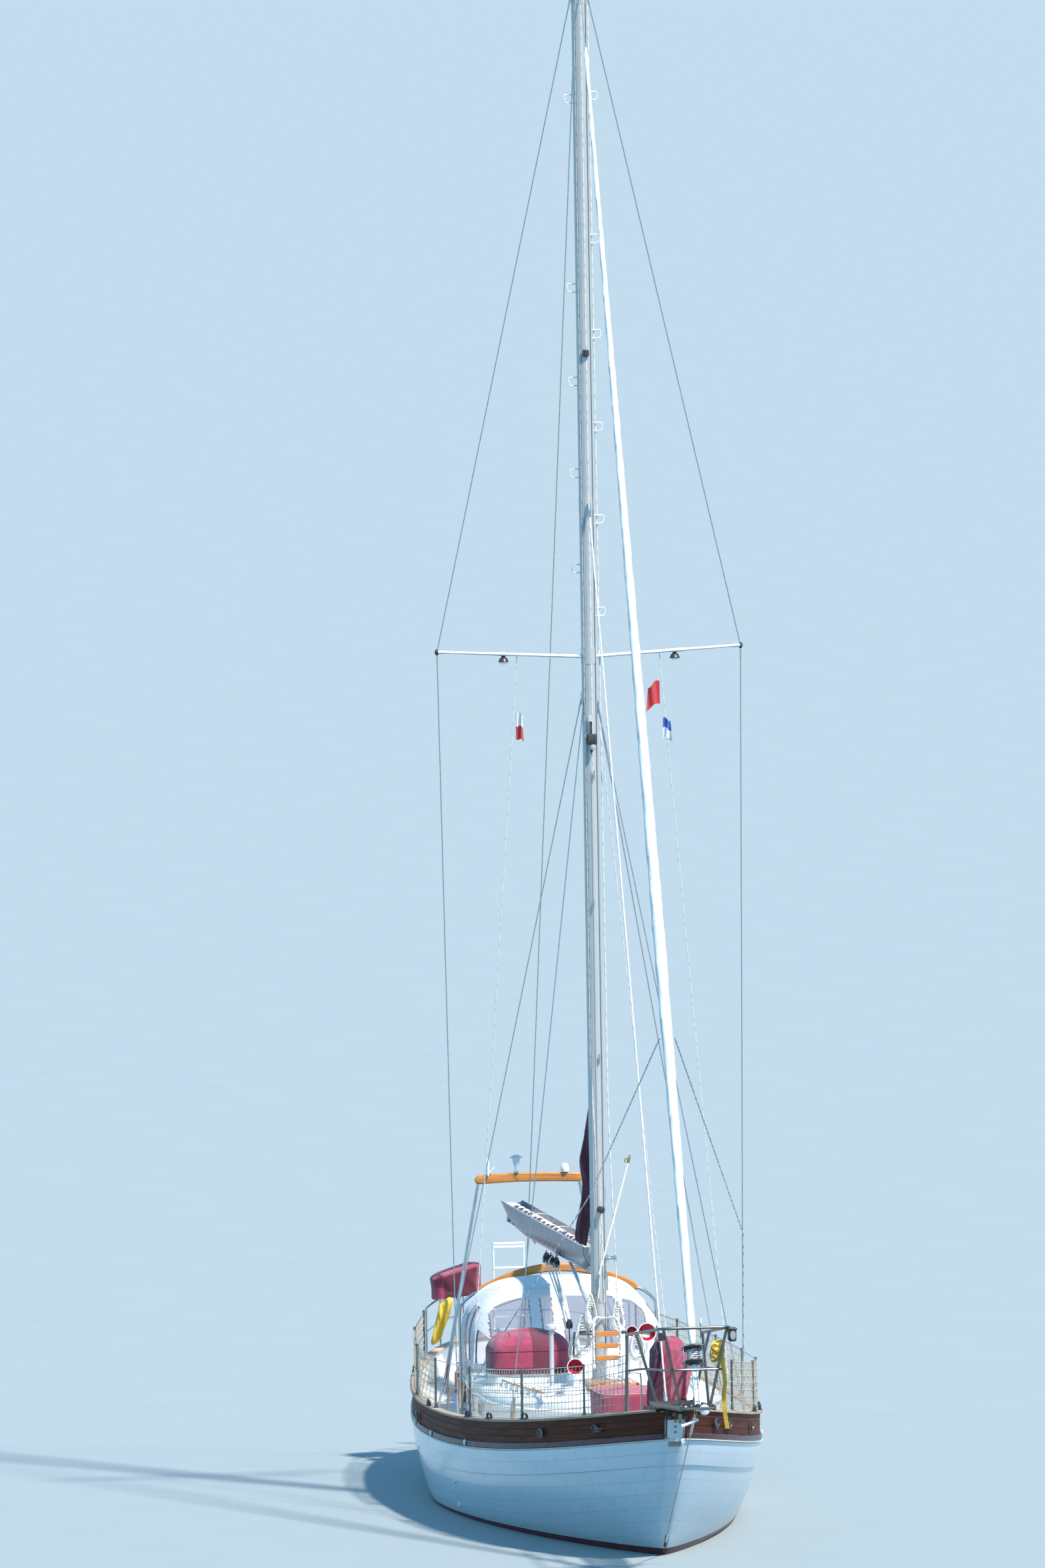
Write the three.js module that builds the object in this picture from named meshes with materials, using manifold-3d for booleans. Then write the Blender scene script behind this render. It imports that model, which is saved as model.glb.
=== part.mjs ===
// A long-keeled cutter with a canoe stern: hull, deck, spars, standing rigging,
// covers, steering gear and propeller.
// Millimetres, +X to the bow, +Y to port, +Z up.
// The origin is on the centreline, at the waterline, amidships.
import * as THREE from 'three';
import { mergeVertices } from 'three/addons/utils/BufferGeometryUtils.js';
import Module from 'manifold-3d';

const wasm = await Module();
wasm.setup();

const GAP = 0.3;             // between pieces that rest on each other
const SIDE_STEPS = 24;       // points along one side of the boat
const STEM_HALF = 45;        // half the thickness of the stem and sternpost

// Sheer: the lowest point, and how fast it rises towards each end (per metre squared).
const SHEER = { x: -900, rise_fore: 12.1, rise_aft: 9.8 };
const BULWARK = { thick: 40 };
const CAP = { thick: 32, out: 25, in: 80 };
const DECK = { thick: 18, camber: 70 };

// The hull's levels from the keel up. 'share' is how much of the sheer's rise a level
// takes, 'aft' and 'fore' are where it ends, 'half' is its greatest half-breadth at
// x 'wide', and the powers make its ends fine or full.
const LEVELS = [
  { z: -1750, share: 0.0, aft: -3720, fore: 900, wide: -1200, half: 95, ap: 2.0, aq: 0.60, fp: 2.0, fq: 0.60 },
  { z: -1550, share: 0.0, aft: -3830, fore: 2100, wide: -1100, half: 130, ap: 2.0, aq: 0.60, fp: 2.0, fq: 0.60 },
  { z: -1350, share: 0.0, aft: -3930, fore: 2850, wide: -1000, half: 170, ap: 1.8, aq: 0.80, fp: 1.8, fq: 0.80 },
  { z: -1100, share: 0.0, aft: -4050, fore: 3400, wide: -900, half: 340, ap: 1.5, aq: 1.10, fp: 1.5, fq: 1.10 },
  { z: -850, share: 0.0, aft: -4170, fore: 3800, wide: -800, half: 720, ap: 1.4, aq: 1.20, fp: 1.5, fq: 1.10 },
  { z: -600, share: 0.0, aft: -4290, fore: 4110, wide: -700, half: 1140, ap: 1.5, aq: 1.05, fp: 1.6, fq: 1.00 },
  { z: -300, share: 0.0, aft: -4640, fore: 4540, wide: -700, half: 1490, ap: 1.7, aq: 0.95, fp: 1.7, fq: 0.95 },
  { z: 0, share: 0.0, aft: -5230, fore: 4905, wide: -700, half: 1660, ap: 1.8, aq: 0.75, fp: 1.8, fq: 0.90 },
  { z: 350, share: 0.3, aft: -5570, fore: 5265, wide: -800, half: 1755, ap: 1.7, aq: 0.58, fp: 2.0, fq: 0.82 },
  { z: 600, share: 0.7, aft: -5730, fore: 5575, wide: -850, half: 1790, ap: 1.65, aq: 0.48, fp: 2.1, fq: 0.78 },
  { z: 830, share: 1.0, aft: -5830, fore: 5790, wide: -900, half: 1800, ap: 1.6, aq: 0.43, fp: 2.2, fq: 0.75 },
  { z: 1130, share: 1.0, aft: -5880, fore: 5880, wide: -900, half: 1800, ap: 1.6, aq: 0.42, fp: 2.2, fq: 0.75 },
];
const BALLAST_TOP = 2;                       // index of the ballast keel's top level
const SHEER_LEVEL = LEVELS[LEVELS.length - 2];
const RAIL_LEVEL = LEVELS[LEVELS.length - 1];

// Deckhouse, cockpit and cabin.
const HOUSE = {
  aft: -1900, wide: 600, fore: 2600, half_aft: 1130, half: 1310,
  edge: 1330, slope: 0.01, crown: 60, wall: 50, roof: 45,
};
const SHOULDER = [{ in: 0, up: 0 }, { in: 35, up: 55 }, { in: 100, up: 85 }];
const COCKPIT = { aft: -4450, fore: -1950, half: 880, seat: 600 };
const FOOTWELL = { aft: -4050, fore: -2150, half: 360, sole: 250 };
const CABIN = { aft: -1850, fore: 1600, half: 1050, low: 100 };
const FOREPEAK = { fore: 2250, half: 600 };
const BILGE = { aft: -2900, half: 500, low: -750 };
const COAMING = { aft: -4600, thick: 32, low: 700, high: 1180 };

// Spars and rigging.
const MAST = { x: 700, across: 170, along: 250, top: 17300 };
const SPREADER = { root: 9680, tip: 9765, reach: 1715, chord: 120, thick: 40 };
const GOOSENECK = { x: 490, low: 2690, high: 2970, lug: 14, pin: 9 };
const BOOM = { long: 4640, width: 250, deep: 285, wall: 7, swing: 3.4, lift: 2.0, foot: 90 };
const VANG = { along: 1350, radius: 26, foot: 2150 };
const WIRE = 5;
const STAY_TACK = new THREE.Vector3(7320, 0, 1930);
const STAY_HEAD = new THREE.Vector3(850, 0, 17120);
const DRUM = { low: 440, high: 620, flange: 125, core: 60 };

const COLOURS = {
  hull_white: [0xeef1f4, 0.35, 0.0], antifoul: [0x4a1c20, 0.8, 0.0], deck_white: [0xe6e6e2, 0.7, 0.0],
  plank: [0x5a2e22, 0.5, 0.0], cap: [0xa8825a, 0.55, 0.0], varnish: [0xc4702c, 0.3, 0.0],
  steel: [0xc8ccd0, 0.25, 1.0], spar: [0xb9c4c8, 0.45, 0.6], wire: [0x9a9ea2, 0.4, 1.0],
  canvas: [0xf2f2f0, 0.8, 0.0], burgundy: [0x8a2440, 0.85, 0.0], sail: [0xf5f5f2, 0.8, 0.0],
  black: [0x1c1c20, 0.5, 0.0], bronze: [0xa07c40, 0.35, 1.0], yellow: [0xe8b820, 0.6, 0.0],
  engine: [0x4c5a50, 0.6, 0.3],
};

const boat = new THREE.Group();
const v = (x, y, z) => new THREE.Vector3(x, y, z);
const mix = THREE.MathUtils.lerp;

// Put a named piece of the boat in place.
function piece(name, geometry, colour, parent = boat) {
  const [color, roughness, metalness] = COLOURS[colour];
  geometry.computeVertexNormals();
  const mesh = new THREE.Mesh(geometry, new THREE.MeshStandardMaterial({ color, roughness, metalness }));
  mesh.name = name;
  parent.add(mesh);
  return mesh;
}

// Join and cut.
function solid(geometry) {
  const bare = geometry.index ? geometry.toNonIndexed() : geometry.clone();
  for (const key of Object.keys(bare.attributes)) {
    if (key !== 'position') bare.deleteAttribute(key);
  }
  const merged = mergeVertices(bare, 1e-3);
  return new wasm.Manifold(new wasm.Mesh({
    numProp: 3,
    vertProperties: new Float32Array(merged.attributes.position.array),
    triVerts: new Uint32Array(merged.index.array),
  }));
}

function shapeOf(body) {
  const mesh = body.getMesh();
  const geometry = new THREE.BufferGeometry();
  geometry.setAttribute('position', new THREE.BufferAttribute(new Float32Array(mesh.vertProperties), 3));
  geometry.setIndex(new THREE.BufferAttribute(new Uint32Array(mesh.triVerts), 1));
  return geometry.toNonIndexed();
}

const join = (bodies) => bodies.reduce((sum, body) => sum.add(body));
const cut = (body, tools) => tools.reduce((rest, tool) => rest.subtract(tool), body);

function box(low, high) {
  const size = [0, 1, 2].map((i) => high[i] - low[i]);
  const geometry = new THREE.BoxGeometry(...size);
  geometry.translate(...[0, 1, 2].map((i) => (high[i] + low[i]) / 2));
  return solid(geometry);
}

// A straight round bar between two points.
function bar(from, to, radius, sides = 6) {
  const along = to.clone().sub(from);
  const geometry = new THREE.CylinderGeometry(radius, radius, along.length(), sides);
  geometry.applyQuaternion(new THREE.Quaternion().setFromUnitVectors(v(0, 1, 0), along.normalize()));
  const middle = from.clone().add(to).multiplyScalar(0.5);
  geometry.translate(middle.x, middle.y, middle.z);
  return solid(geometry);
}

// A bent tube through some points.
function tube(points, radius, steps = 16, sides = 8) {
  const ring = new THREE.Shape(Array.from({ length: sides }, (_, i) => {
    const turn = (i / sides) * 2 * Math.PI;
    return new THREE.Vector2(radius * Math.cos(turn), radius * Math.sin(turn));
  }));
  const path = new THREE.CatmullRomCurve3(points, false, 'centripetal');
  return solid(new THREE.ExtrudeGeometry(ring, { steps, bevelEnabled: false, extrudePath: path }));
}

// A solid of revolution about the line from a point along a direction.
function turned(profile, from, direction, sides = 14) {
  const geometry = new THREE.LatheGeometry(profile.map(([r, s]) => new THREE.Vector2(r, s)), sides);
  geometry.applyQuaternion(new THREE.Quaternion().setFromUnitVectors(v(0, 1, 0), direction));
  geometry.translate(from.x, from.y, from.z);
  return outward(geometry);
}

// A flat outline in a plane, with a thickness along Z, Y or X.
function slab(outline, low, high, axis = 'z') {
  const shape = new THREE.Shape(outline.map(([a, b]) => new THREE.Vector2(a, b)));
  const geometry = new THREE.ExtrudeGeometry(shape, { depth: high - low, bevelEnabled: false });
  geometry.translate(0, 0, low);
  if (axis === 'y') {
    geometry.rotateX(Math.PI / 2);
    geometry.scale(1, -1, 1);
  }
  if (axis === 'x') {
    geometry.applyMatrix4(new THREE.Matrix4().set(0, 0, 1, 0, 1, 0, 0, 0, 0, 1, 0, 0, 0, 0, 0, 1));
  }
  return outward(geometry);
}

// Turn a closed set of triangles so that its faces point out.
function outward(geometry) {
  const bare = geometry.index ? geometry.toNonIndexed() : geometry;
  const p = bare.attributes.position;
  let volume = 0;
  const [a, b, c] = [v(0, 0, 0), v(0, 0, 0), v(0, 0, 0)];
  for (let i = 0; i < p.count; i += 3) {
    a.fromBufferAttribute(p, i);
    b.fromBufferAttribute(p, i + 1);
    c.fromBufferAttribute(p, i + 2);
    volume += a.dot(b.cross(c));
  }
  if (volume < 0) {
    for (let i = 0; i < p.count; i += 3) {
      a.fromBufferAttribute(p, i);
      b.fromBufferAttribute(p, i + 1);
      p.setXYZ(i, b.x, b.y, b.z);
      p.setXYZ(i + 1, a.x, a.y, a.z);
    }
  }
  return solid(bare);
}

// A closed body through rings of points, with a flat foot and a crowned or flat top. A ring
// runs up the starboard side and back down the port side: point i faces point (last - i).
function stacked(rings, crown = null, across = 1) {
  const corners = [];
  const triangle = (...points) => points.forEach((q) => corners.push(q[0], q[1], q[2]));
  const quad = (a, b, c, d) => {
    triangle(a, b, c);
    triangle(a, c, d);
  };
  const rungsOf = (ring, height) => ring.slice(0, ring.length / 2).map((from, i) => {
    const to = ring[ring.length - 1 - i];
    return Array.from({ length: across + 1 }, (_, k) => {
      const at = [0, 1, 2].map((axis) => mix(from[axis], to[axis], k / across));
      if (height && k > 0 && k < across) at[2] += height(at[0], at[1]);
      return at;
    });
  });
  const ladders = rings.map((ring, j) => rungsOf(ring, j === rings.length - 1 ? crown : null));
  const outlines = ladders.map((rungs) => [
    ...rungs.map((rung) => rung[0]),
    ...rungs[rungs.length - 1].slice(1, -1),
    ...rungs.map((rung) => rung[across]).reverse(),
    ...rungs[0].slice(1, -1).reverse(),
  ]);
  for (let j = 0; j + 1 < outlines.length; j += 1) {
    const [low, high] = [outlines[j], outlines[j + 1]];
    for (let i = 0; i < low.length; i += 1) {
      const next = (i + 1) % low.length;
      quad(low[i], low[next], high[next], high[i]);
    }
  }
  for (const [rungs, top] of [[ladders[0], false], [ladders[ladders.length - 1], true]]) {
    for (let i = 0; i + 1 < rungs.length; i += 1) {
      for (let k = 0; k < across; k += 1) {
        const [a, b, c, d] = [rungs[i][k], rungs[i + 1][k], rungs[i + 1][k + 1], rungs[i][k + 1]];
        if (top) quad(a, b, c, d);
        else quad(a, d, c, b);
      }
    }
  }
  return closed(corners);
}

function closed(corners) {
  const geometry = new THREE.BufferGeometry();
  geometry.setAttribute('position', new THREE.BufferAttribute(new Float32Array(corners), 3));
  return outward(geometry);
}

// Hull form.
function sheerRise(x) {
  const metres = (x - SHEER.x) / 1000;
  return (metres > 0 ? SHEER.rise_fore : SHEER.rise_aft) * metres * metres;
}
const railTop = (x) => RAIL_LEVEL.z + sheerRise(x);

function halfBreadth(level, x) {
  const end = x > level.wide ? level.fore : level.aft;
  const share = Math.min(1, Math.abs((x - level.wide) / (end - level.wide)));
  const [power, full] = x > level.wide ? [level.fp, level.fq] : [level.ap, level.aq];
  const thin = Math.min(STEM_HALF, level.half);
  return thin + (level.half - thin) * (1 - share ** power) ** full;
}

// The same level, drawn in by a wall's thickness (or out, where it is negative).
const drawnIn = (level, wall) => ({
  ...level, half: level.half - wall, aft: level.aft + wall, fore: level.fore - wall * 2.4,
});

function ringOf(level, height = (x) => level.z + level.share * sheerRise(x)) {
  const side = Array.from({ length: SIDE_STEPS + 1 }, (_, i) => {
    const turn = (i / SIDE_STEPS - 0.5) * Math.PI;
    const share = Math.sin(turn);
    const x = share > 0 ? mix(level.wide, level.fore, share) : mix(level.wide, level.aft, -share);
    return [x, -halfBreadth(level, x), height(x)];
  });
  const port = side.map(([x, y, z]) => [x, -y, z]).reverse();
  return [...side, ...port];
}

const camberOf = (x, y) => DECK.camber * (1 - (y / Math.max(200, halfBreadth(SHEER_LEVEL, x))) ** 2)
  * (halfBreadth(SHEER_LEVEL, x) / SHEER_LEVEL.half);
const onDeck = (x, y) => SHEER_LEVEL.z + sheerRise(x) + camberOf(x, y);

// Everything under the hull's cambered top, for cutting the feet of what stands on it.
const underDeck = stacked([ringOf(SHEER_LEVEL, () => -200), ringOf(SHEER_LEVEL)], camberOf, 4);
const raised = (body, by) => body.translate([0, 0, by]);

function houseRing(inset, height) {
  const side = Array.from({ length: SIDE_STEPS + 1 }, (_, i) => {
    const t = i / SIDE_STEPS;
    const fore = HOUSE.fore - inset;
    const aft = HOUSE.aft + inset;
    const x = t < 0.35 ? mix(aft, HOUSE.wide, t / 0.35)
      : mix(HOUSE.wide, fore, Math.sin(((t - 0.35) / 0.65) * Math.PI / 2));
    const back = Math.max(0, (HOUSE.wide - x) / (HOUSE.wide - HOUSE.aft));
    const front = Math.max(0, (x - HOUSE.wide) / (fore - HOUSE.wide));
    const half = x < HOUSE.wide ? mix(HOUSE.half, HOUSE.half_aft, back * back) - inset
      : 20 + (HOUSE.half - inset - 20) * (1 - front ** 2.6) ** 0.62;
    return [x, -half, height(x)];
  });
  return [...side, ...side.map(([x, y, z]) => [x, -y, z]).reverse()];
}
const houseEdge = (x) => HOUSE.edge + HOUSE.slope * x;
const houseCrown = (x, y) => HOUSE.crown * (1 - (y / HOUSE.half) ** 2);
const onHouse = (x, y) => houseEdge(x) + SHOULDER[2].up + HOUSE.crown * (1 - (y / HOUSE.half) ** 2);

function houseBody(inset, drop, foot) {
  const rings = [houseRing(inset, () => foot)];
  for (const step of SHOULDER) {
    rings.push(houseRing(inset + step.in, (x) => houseEdge(x) + step.up - drop));
  }
  return stacked(rings, houseCrown, 4);
}

// Hull with its cockpit, cabin space, propeller opening, shaft and rudder stock bores.
const POST = { low: v(-3740, 0, -1750), high: v(-4310, 0, -600) };
const POST_LINE = POST.high.clone().sub(POST.low).normalize();
const postAt = (z) => POST.low.clone().addScaledVector(POST_LINE, (z - POST.low.z) / POST_LINE.z);
const RUDDER_BACK = 56;                      // the stock's axis lies this far behind the sternpost
const axisAt = (z) => postAt(z).add(new THREE.Vector3(-RUDDER_BACK, 0, 0));
const PROP = { x: -4030, z: -860, radius: 195, hub: 45, shaft: 18, bore: 30 };

const hullRings = LEVELS.slice(BALLAST_TOP, -1).map((level) => ringOf(level));
const cabinSpace = () => join([
  box([CABIN.aft, -CABIN.half, CABIN.low], [CABIN.fore, CABIN.half, 1200]),
  box([CABIN.fore - 5, -FOREPEAK.half, CABIN.low], [FOREPEAK.fore, FOREPEAK.half, 1200]),
  box([BILGE.aft, -BILGE.half, BILGE.low], [CABIN.fore, BILGE.half, CABIN.low + 5]),
]);
const cockpitSpace = () => join([
  box([COCKPIT.aft, -COCKPIT.half, COCKPIT.seat], [COCKPIT.fore, COCKPIT.half, 1400]),
  box([FOOTWELL.aft, -FOOTWELL.half, FOOTWELL.sole], [FOOTWELL.fore, FOOTWELL.half, COCKPIT.seat + 5]),
]);
const companionway = box([COCKPIT.fore - 5, -310, 640], [CABIN.aft + 5, 310, 1200]);
const hullBody = cut(stacked(hullRings, camberOf, 4), [
  cabinSpace(),
  cockpitSpace(),
  companionway,
  box([-4500, -400, -1110], [-3880, 400, -610]),
  bar(v(-3900, 0, PROP.z), v(-3500, 0, PROP.z), PROP.bore, 16),
  bar(axisAt(-800), axisAt(-180), 42, 16),
]);

const ballastRings = LEVELS.slice(0, BALLAST_TOP + 1).map((level, i) => (
  ringOf(level, () => (i === BALLAST_TOP ? level.z - GAP : level.z))));
piece('ballast_keel', shapeOf(stacked(ballastRings)), 'antifoul');

// Deck plate inside the bulwarks.
const deckLine = drawnIn(SHEER_LEVEL, BULWARK.thick + 2);
const deckHoles = [raised(underDeck, GAP), cabinSpace(), cockpitSpace(), companionway];
const deckBody = cut(raised(underDeck, DECK.thick), deckHoles)
  .intersect(stacked([ringOf(deckLine, () => 500), ringOf(deckLine, () => 2000)]));

const standsOnDeck = raised(underDeck, DECK.thick + GAP);

// Bulwarks, stem head and cap rails.
const STEM_HEAD_X = 5500;
const bulwarkBody = cut(stacked([
  ringOf(SHEER_LEVEL, (x) => SHEER_LEVEL.z + sheerRise(x) + GAP),
  ringOf(RAIL_LEVEL),
]), [raised(underDeck, GAP)]);
const insideBulwark = stacked([
  ringOf(drawnIn(SHEER_LEVEL, BULWARK.thick), (x) => SHEER_LEVEL.z + sheerRise(x) - 100),
  ringOf(drawnIn(RAIL_LEVEL, BULWARK.thick), (x) => railTop(x) + 100),
]);
const farBox = (low, high) => box([low[0], low[1], -2500], [high[0], high[1], 4000]);
const capBodies = [];
for (const [side, sign] of [['port', 1], ['starboard', -1]]) {
  const other = sign > 0 ? [[-7000, -3000], [7000, 0.2]] : [[-7000, -0.2], [7000, 3000]];
  piece(`bulwark_${side}`, shapeOf(cut(bulwarkBody, [
    insideBulwark, farBox(...other), farBox([STEM_HEAD_X, -3000], [7000, 3000]),
  ])), 'plank');
  const capOut = drawnIn(RAIL_LEVEL, -CAP.out);
  const capIn = drawnIn(RAIL_LEVEL, CAP.in);
  const capBody = cut(stacked([
    ringOf(capOut, (x) => railTop(x) + GAP), ringOf(capOut, (x) => railTop(x) + CAP.thick),
  ]), [
    stacked([ringOf(capIn, (x) => railTop(x) - 50), ringOf(capIn, (x) => railTop(x) + 90)]),
    farBox(...other), farBox([STEM_HEAD_X, -3000], [7000, 3000]),
  ]);
  capBodies.push(raised(capBody, GAP));
  piece(`caprail_${side}`, shapeOf(capBody), 'cap');
}
const capTop = (x) => railTop(x) + CAP.thick;

// The stem head fills the bulwarks' fore end up to the bow platform, which runs forward from it.
const PLATFORM = { aft: 5560, fore: 7400, half_aft: 235, half_fore: 200, thick: 60, low: 1712, rise: 0.07 };
const platformTop = (x) => PLATFORM.low + PLATFORM.thick + (x - PLATFORM.aft) * PLATFORM.rise;
const platformOf = (grow) => {
  const [aft, fore] = [PLATFORM.aft - grow, PLATFORM.fore + grow];
  const shape = shapeOf(slab([
    [aft, -PLATFORM.half_aft - grow], [fore - 80, -PLATFORM.half_fore - grow], [fore, -120],
    [fore, 120], [fore - 80, PLATFORM.half_fore + grow], [aft, PLATFORM.half_aft + grow],
  ], -PLATFORM.thick - grow, grow));
  shape.translate(-PLATFORM.aft, 0, 0);
  shape.rotateY(-Math.atan(PLATFORM.rise));
  shape.translate(PLATFORM.aft, 0, platformTop(PLATFORM.aft));
  return solid(shape);
};
piece('bow_platform', shapeOf(platformOf(0)), 'varnish');
const platformSlot = platformOf(GAP);
const stemHead = cut(stacked([
  ringOf(SHEER_LEVEL, (x) => SHEER_LEVEL.z + sheerRise(x) - 40),
  ringOf(RAIL_LEVEL), ringOf(RAIL_LEVEL, (x) => railTop(x) + 90),
]), [
  farBox([-7000, -3000], [STEM_HEAD_X + GAP, 3000]), platformSlot, raised(platformSlot, 50),
  box([5400, -600, capTop(5550)], [PLATFORM.aft + 5, 600, 1900]),
]);
piece('hull', shapeOf(hullBody.add(stemHead)), 'hull_white');
piece('deck', shapeOf(cut(deckBody, [farBox([STEM_HEAD_X - GAP, -3000], [7000, 3000])])), 'deck_white');

// Deckhouse, hollow, with its companionway.
const HATCH = { aft: -1930, fore: -1200, half: 330, thick: 28, lift: 22, travel: 640 };
const houseOuter = houseBody(0, 0, 700);
const houseLid = houseOuter.translate([0, 0, GAP]);

// Sliding hatch and the garage it slides into.
const roofPlane = onHouse(-1500, 0);
const hatchBody = box([HATCH.aft, -HATCH.half, roofPlane + HATCH.lift],
  [HATCH.fore, HATCH.half, roofPlane + HATCH.lift + HATCH.thick]);
piece('sliding_hatch', shapeOf(hatchBody), 'varnish');
const garageOuter = box([HATCH.fore + 8, -HATCH.half - 60, 1300],
  [HATCH.fore + 720, HATCH.half + 60, roofPlane + 95]);
const garageInner = box([HATCH.fore - 50, -HATCH.half - 12, roofPlane + HATCH.lift - 11],
  [HATCH.fore + 680, HATCH.half + 12, roofPlane + HATCH.lift + HATCH.thick + 14]);

// Fore hatch on the deckhouse: a lid hinged at its fore edge over a low frame.
const FORE_HATCH = { x: 1500, half: 260, hole: 215, frame: 40, lid: 28, lift: 5.5 };
const hatchPlane = onHouse(FORE_HATCH.x, 0) + 12;
const lidLow = hatchPlane + FORE_HATCH.frame + FORE_HATCH.lift;
const hatchFrame = box([FORE_HATCH.x - FORE_HATCH.half, -FORE_HATCH.half, 1410],
  [FORE_HATCH.x + FORE_HATCH.half, FORE_HATCH.half, hatchPlane + FORE_HATCH.frame]);
const hatchHole = box([FORE_HATCH.x - FORE_HATCH.hole, -FORE_HATCH.hole, 1100],
  [FORE_HATCH.x + FORE_HATCH.hole, FORE_HATCH.hole, 2000]);
piece('deckhouse', shapeOf(cut(join([houseOuter, garageOuter, hatchFrame]), [
  houseBody(HOUSE.wall, HOUSE.roof, 600),
  standsOnDeck,
  box([HOUSE.aft - 50, -300, 640], [HATCH.fore - 40, 300, roofPlane + 5]),
  garageInner,
  hatchHole,
])), 'hull_white');
const lidReach = FORE_HATCH.half + 15;
piece('fore_hatch_lid', shapeOf(box([FORE_HATCH.x - lidReach, -lidReach, lidLow],
  [FORE_HATCH.x + lidReach, lidReach, lidLow + FORE_HATCH.lid])), 'varnish');

// Cockpit coaming: two boards that lean on the deckhouse and a curved one across the stern.
const coamingRing = (inset) => {
  const half = COCKPIT.half + 70 - inset;
  const end = COAMING.aft + inset;
  return [
    [HOUSE.aft - GAP * 2, -half], [-3300, -half + 20], [-4200, -half + 130], [end + 60, -half + 330],
    [end, -half + 560], [end, half - 560], [end + 60, half - 330], [-4200, half - 130], [-3300, half - 20],
    [HOUSE.aft - GAP * 2, half],
  ];
};
const coamingOutline = [...coamingRing(0), ...coamingRing(COAMING.thick).reverse()];
const coamingBody = cut(slab(coamingOutline, COAMING.low, COAMING.high), [standsOnDeck]);
piece('cockpit_coaming', shapeOf(coamingBody), 'varnish');

// Steering pedestal, wheel, and the engine block under the cockpit.
const WHEEL = { x: -3830, z: 1130, radius: 370, rim: 16, spokes: 6, shaft: 38, clear: 6 };
const PEDESTAL_X = -3700;
piece('steering_pedestal', shapeOf(join([
  turned([[0, 0], [110, 0], [95, 60], [62, 220], [62, 760], [85, 800], [85, 900], [60, 930], [0, 935]],
    v(PEDESTAL_X, 0, FOOTWELL.sole + GAP), v(0, 0, 1), 12),
  bar(v(PEDESTAL_X, 0, WHEEL.z), v(WHEEL.x + WHEEL.shaft + WHEEL.clear, 0, WHEEL.z), 34, 12),
])), 'hull_white');
const wheelParts = [
  solid(new THREE.TorusGeometry(WHEEL.radius, WHEEL.rim, 5, 20).rotateY(Math.PI / 2)),
  bar(v(-26, 0, 0), v(30, 0, 0), 46, 12),
  bar(v(0, 0, 0), v(WHEEL.shaft, 0, 0), 20, 12),
];
for (let i = 0; i < WHEEL.spokes; i += 1) {
  const turn = (i / WHEEL.spokes) * 2 * Math.PI;
  wheelParts.push(bar(v(0, 0, 0), v(0, Math.cos(turn) * WHEEL.radius, Math.sin(turn) * WHEEL.radius), 11, 6));
}
piece('steering_wheel', shapeOf(join(wheelParts)), 'varnish').position.set(WHEEL.x, 0, WHEEL.z);
piece('engine_block', shapeOf(box([-2780, -270, BILGE.low + GAP], [-1950, 270, -170])), 'engine');

// Rudder and propeller.
const BLADE = { gap: 22, half: 34 };
const bladeLine = (z, back) => [postAt(z).x - BLADE.gap - back, z];
piece('rudder_blade', shapeOf(slab([
  bladeLine(-1710, 0), bladeLine(-720, 0), bladeLine(-720, 400), [-4830, -1050], [-4740, -1500], [-4560, -1710],
], -BLADE.half, BLADE.half, 'y')), 'antifoul');
piece('rudder_stock', shapeOf(cut(
  bar(axisAt(-780), axisAt(-230), 26, 12), [box([-5500, -100, -1500], [-3500, 100, -720 + GAP])],
)), 'bronze');
const propParts = [
  turned([[0, -55], [PROP.hub * 0.8, -50], [PROP.hub, -10], [PROP.hub, 40], [PROP.shaft, 60], [PROP.shaft, 400],
    [0, 400]], v(PROP.x, 0, PROP.z), v(1, 0, 0), 14),
];
for (let i = 0; i < 3; i += 1) {
  const blade = new THREE.CylinderGeometry(62, 62, 9, 12).rotateZ(Math.PI / 2).scale(1, 1, 1.25);
  blade.applyMatrix4(new THREE.Matrix4().makeRotationZ(0.5));
  blade.translate(0, 0, PROP.radius - 78);
  blade.rotateX((i / 3) * 2 * Math.PI);
  blade.translate(PROP.x, 0, PROP.z);
  propParts.push(solid(blade));
}
piece('propeller', shapeOf(join(propParts)), 'bronze');

// Pulpit, guardrails and pushpit.
const sides = [['port', 1], ['starboard', -1]];
const PULPIT = { tube: 14, mid: 11, aft: 5180, fore: 7265, low: 2468, high: 2732 };
const pulpitTop = (x) => mix(PULPIT.low, PULPIT.high, (x - PULPIT.aft) / (PULPIT.fore - PULPIT.aft));
// Half of each rail, from its aft end to the centreline: x, half-breadth and height.
const TOP_HALF = [[PULPIT.aft, 420], [6200, 400], [7120, 385], [7250, 340], [PULPIT.fore, 0]]
  .map(([x, y]) => [x, y, pulpitTop(x)]);
const MID_HALF = [[5255, 431, 2078], [5800, 308, 2150], [7130, 290, 2262], [7270, 240, 2276], [7285, 0, 2280]];
const railOf = (rows, radius, steps, sides) => tube([
  ...rows.map(([x, y, z]) => v(x, -y, z)), ...rows.slice(0, -1).reverse().map(([x, y, z]) => v(x, y, z)),
], radius, steps, sides);
const pulpitParts = [railOf(TOP_HALF, PULPIT.tube, 26, 6), railOf(MID_HALF, PULPIT.mid, 22, 5)];
const PULPIT_POSTS = [
  { foot: [5330, 462], top: [5213, 419] },
  { foot: [5850, 205], top: [5750, 408] },
  { foot: [7180, 165], top: [7236, 349] },
];
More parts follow.
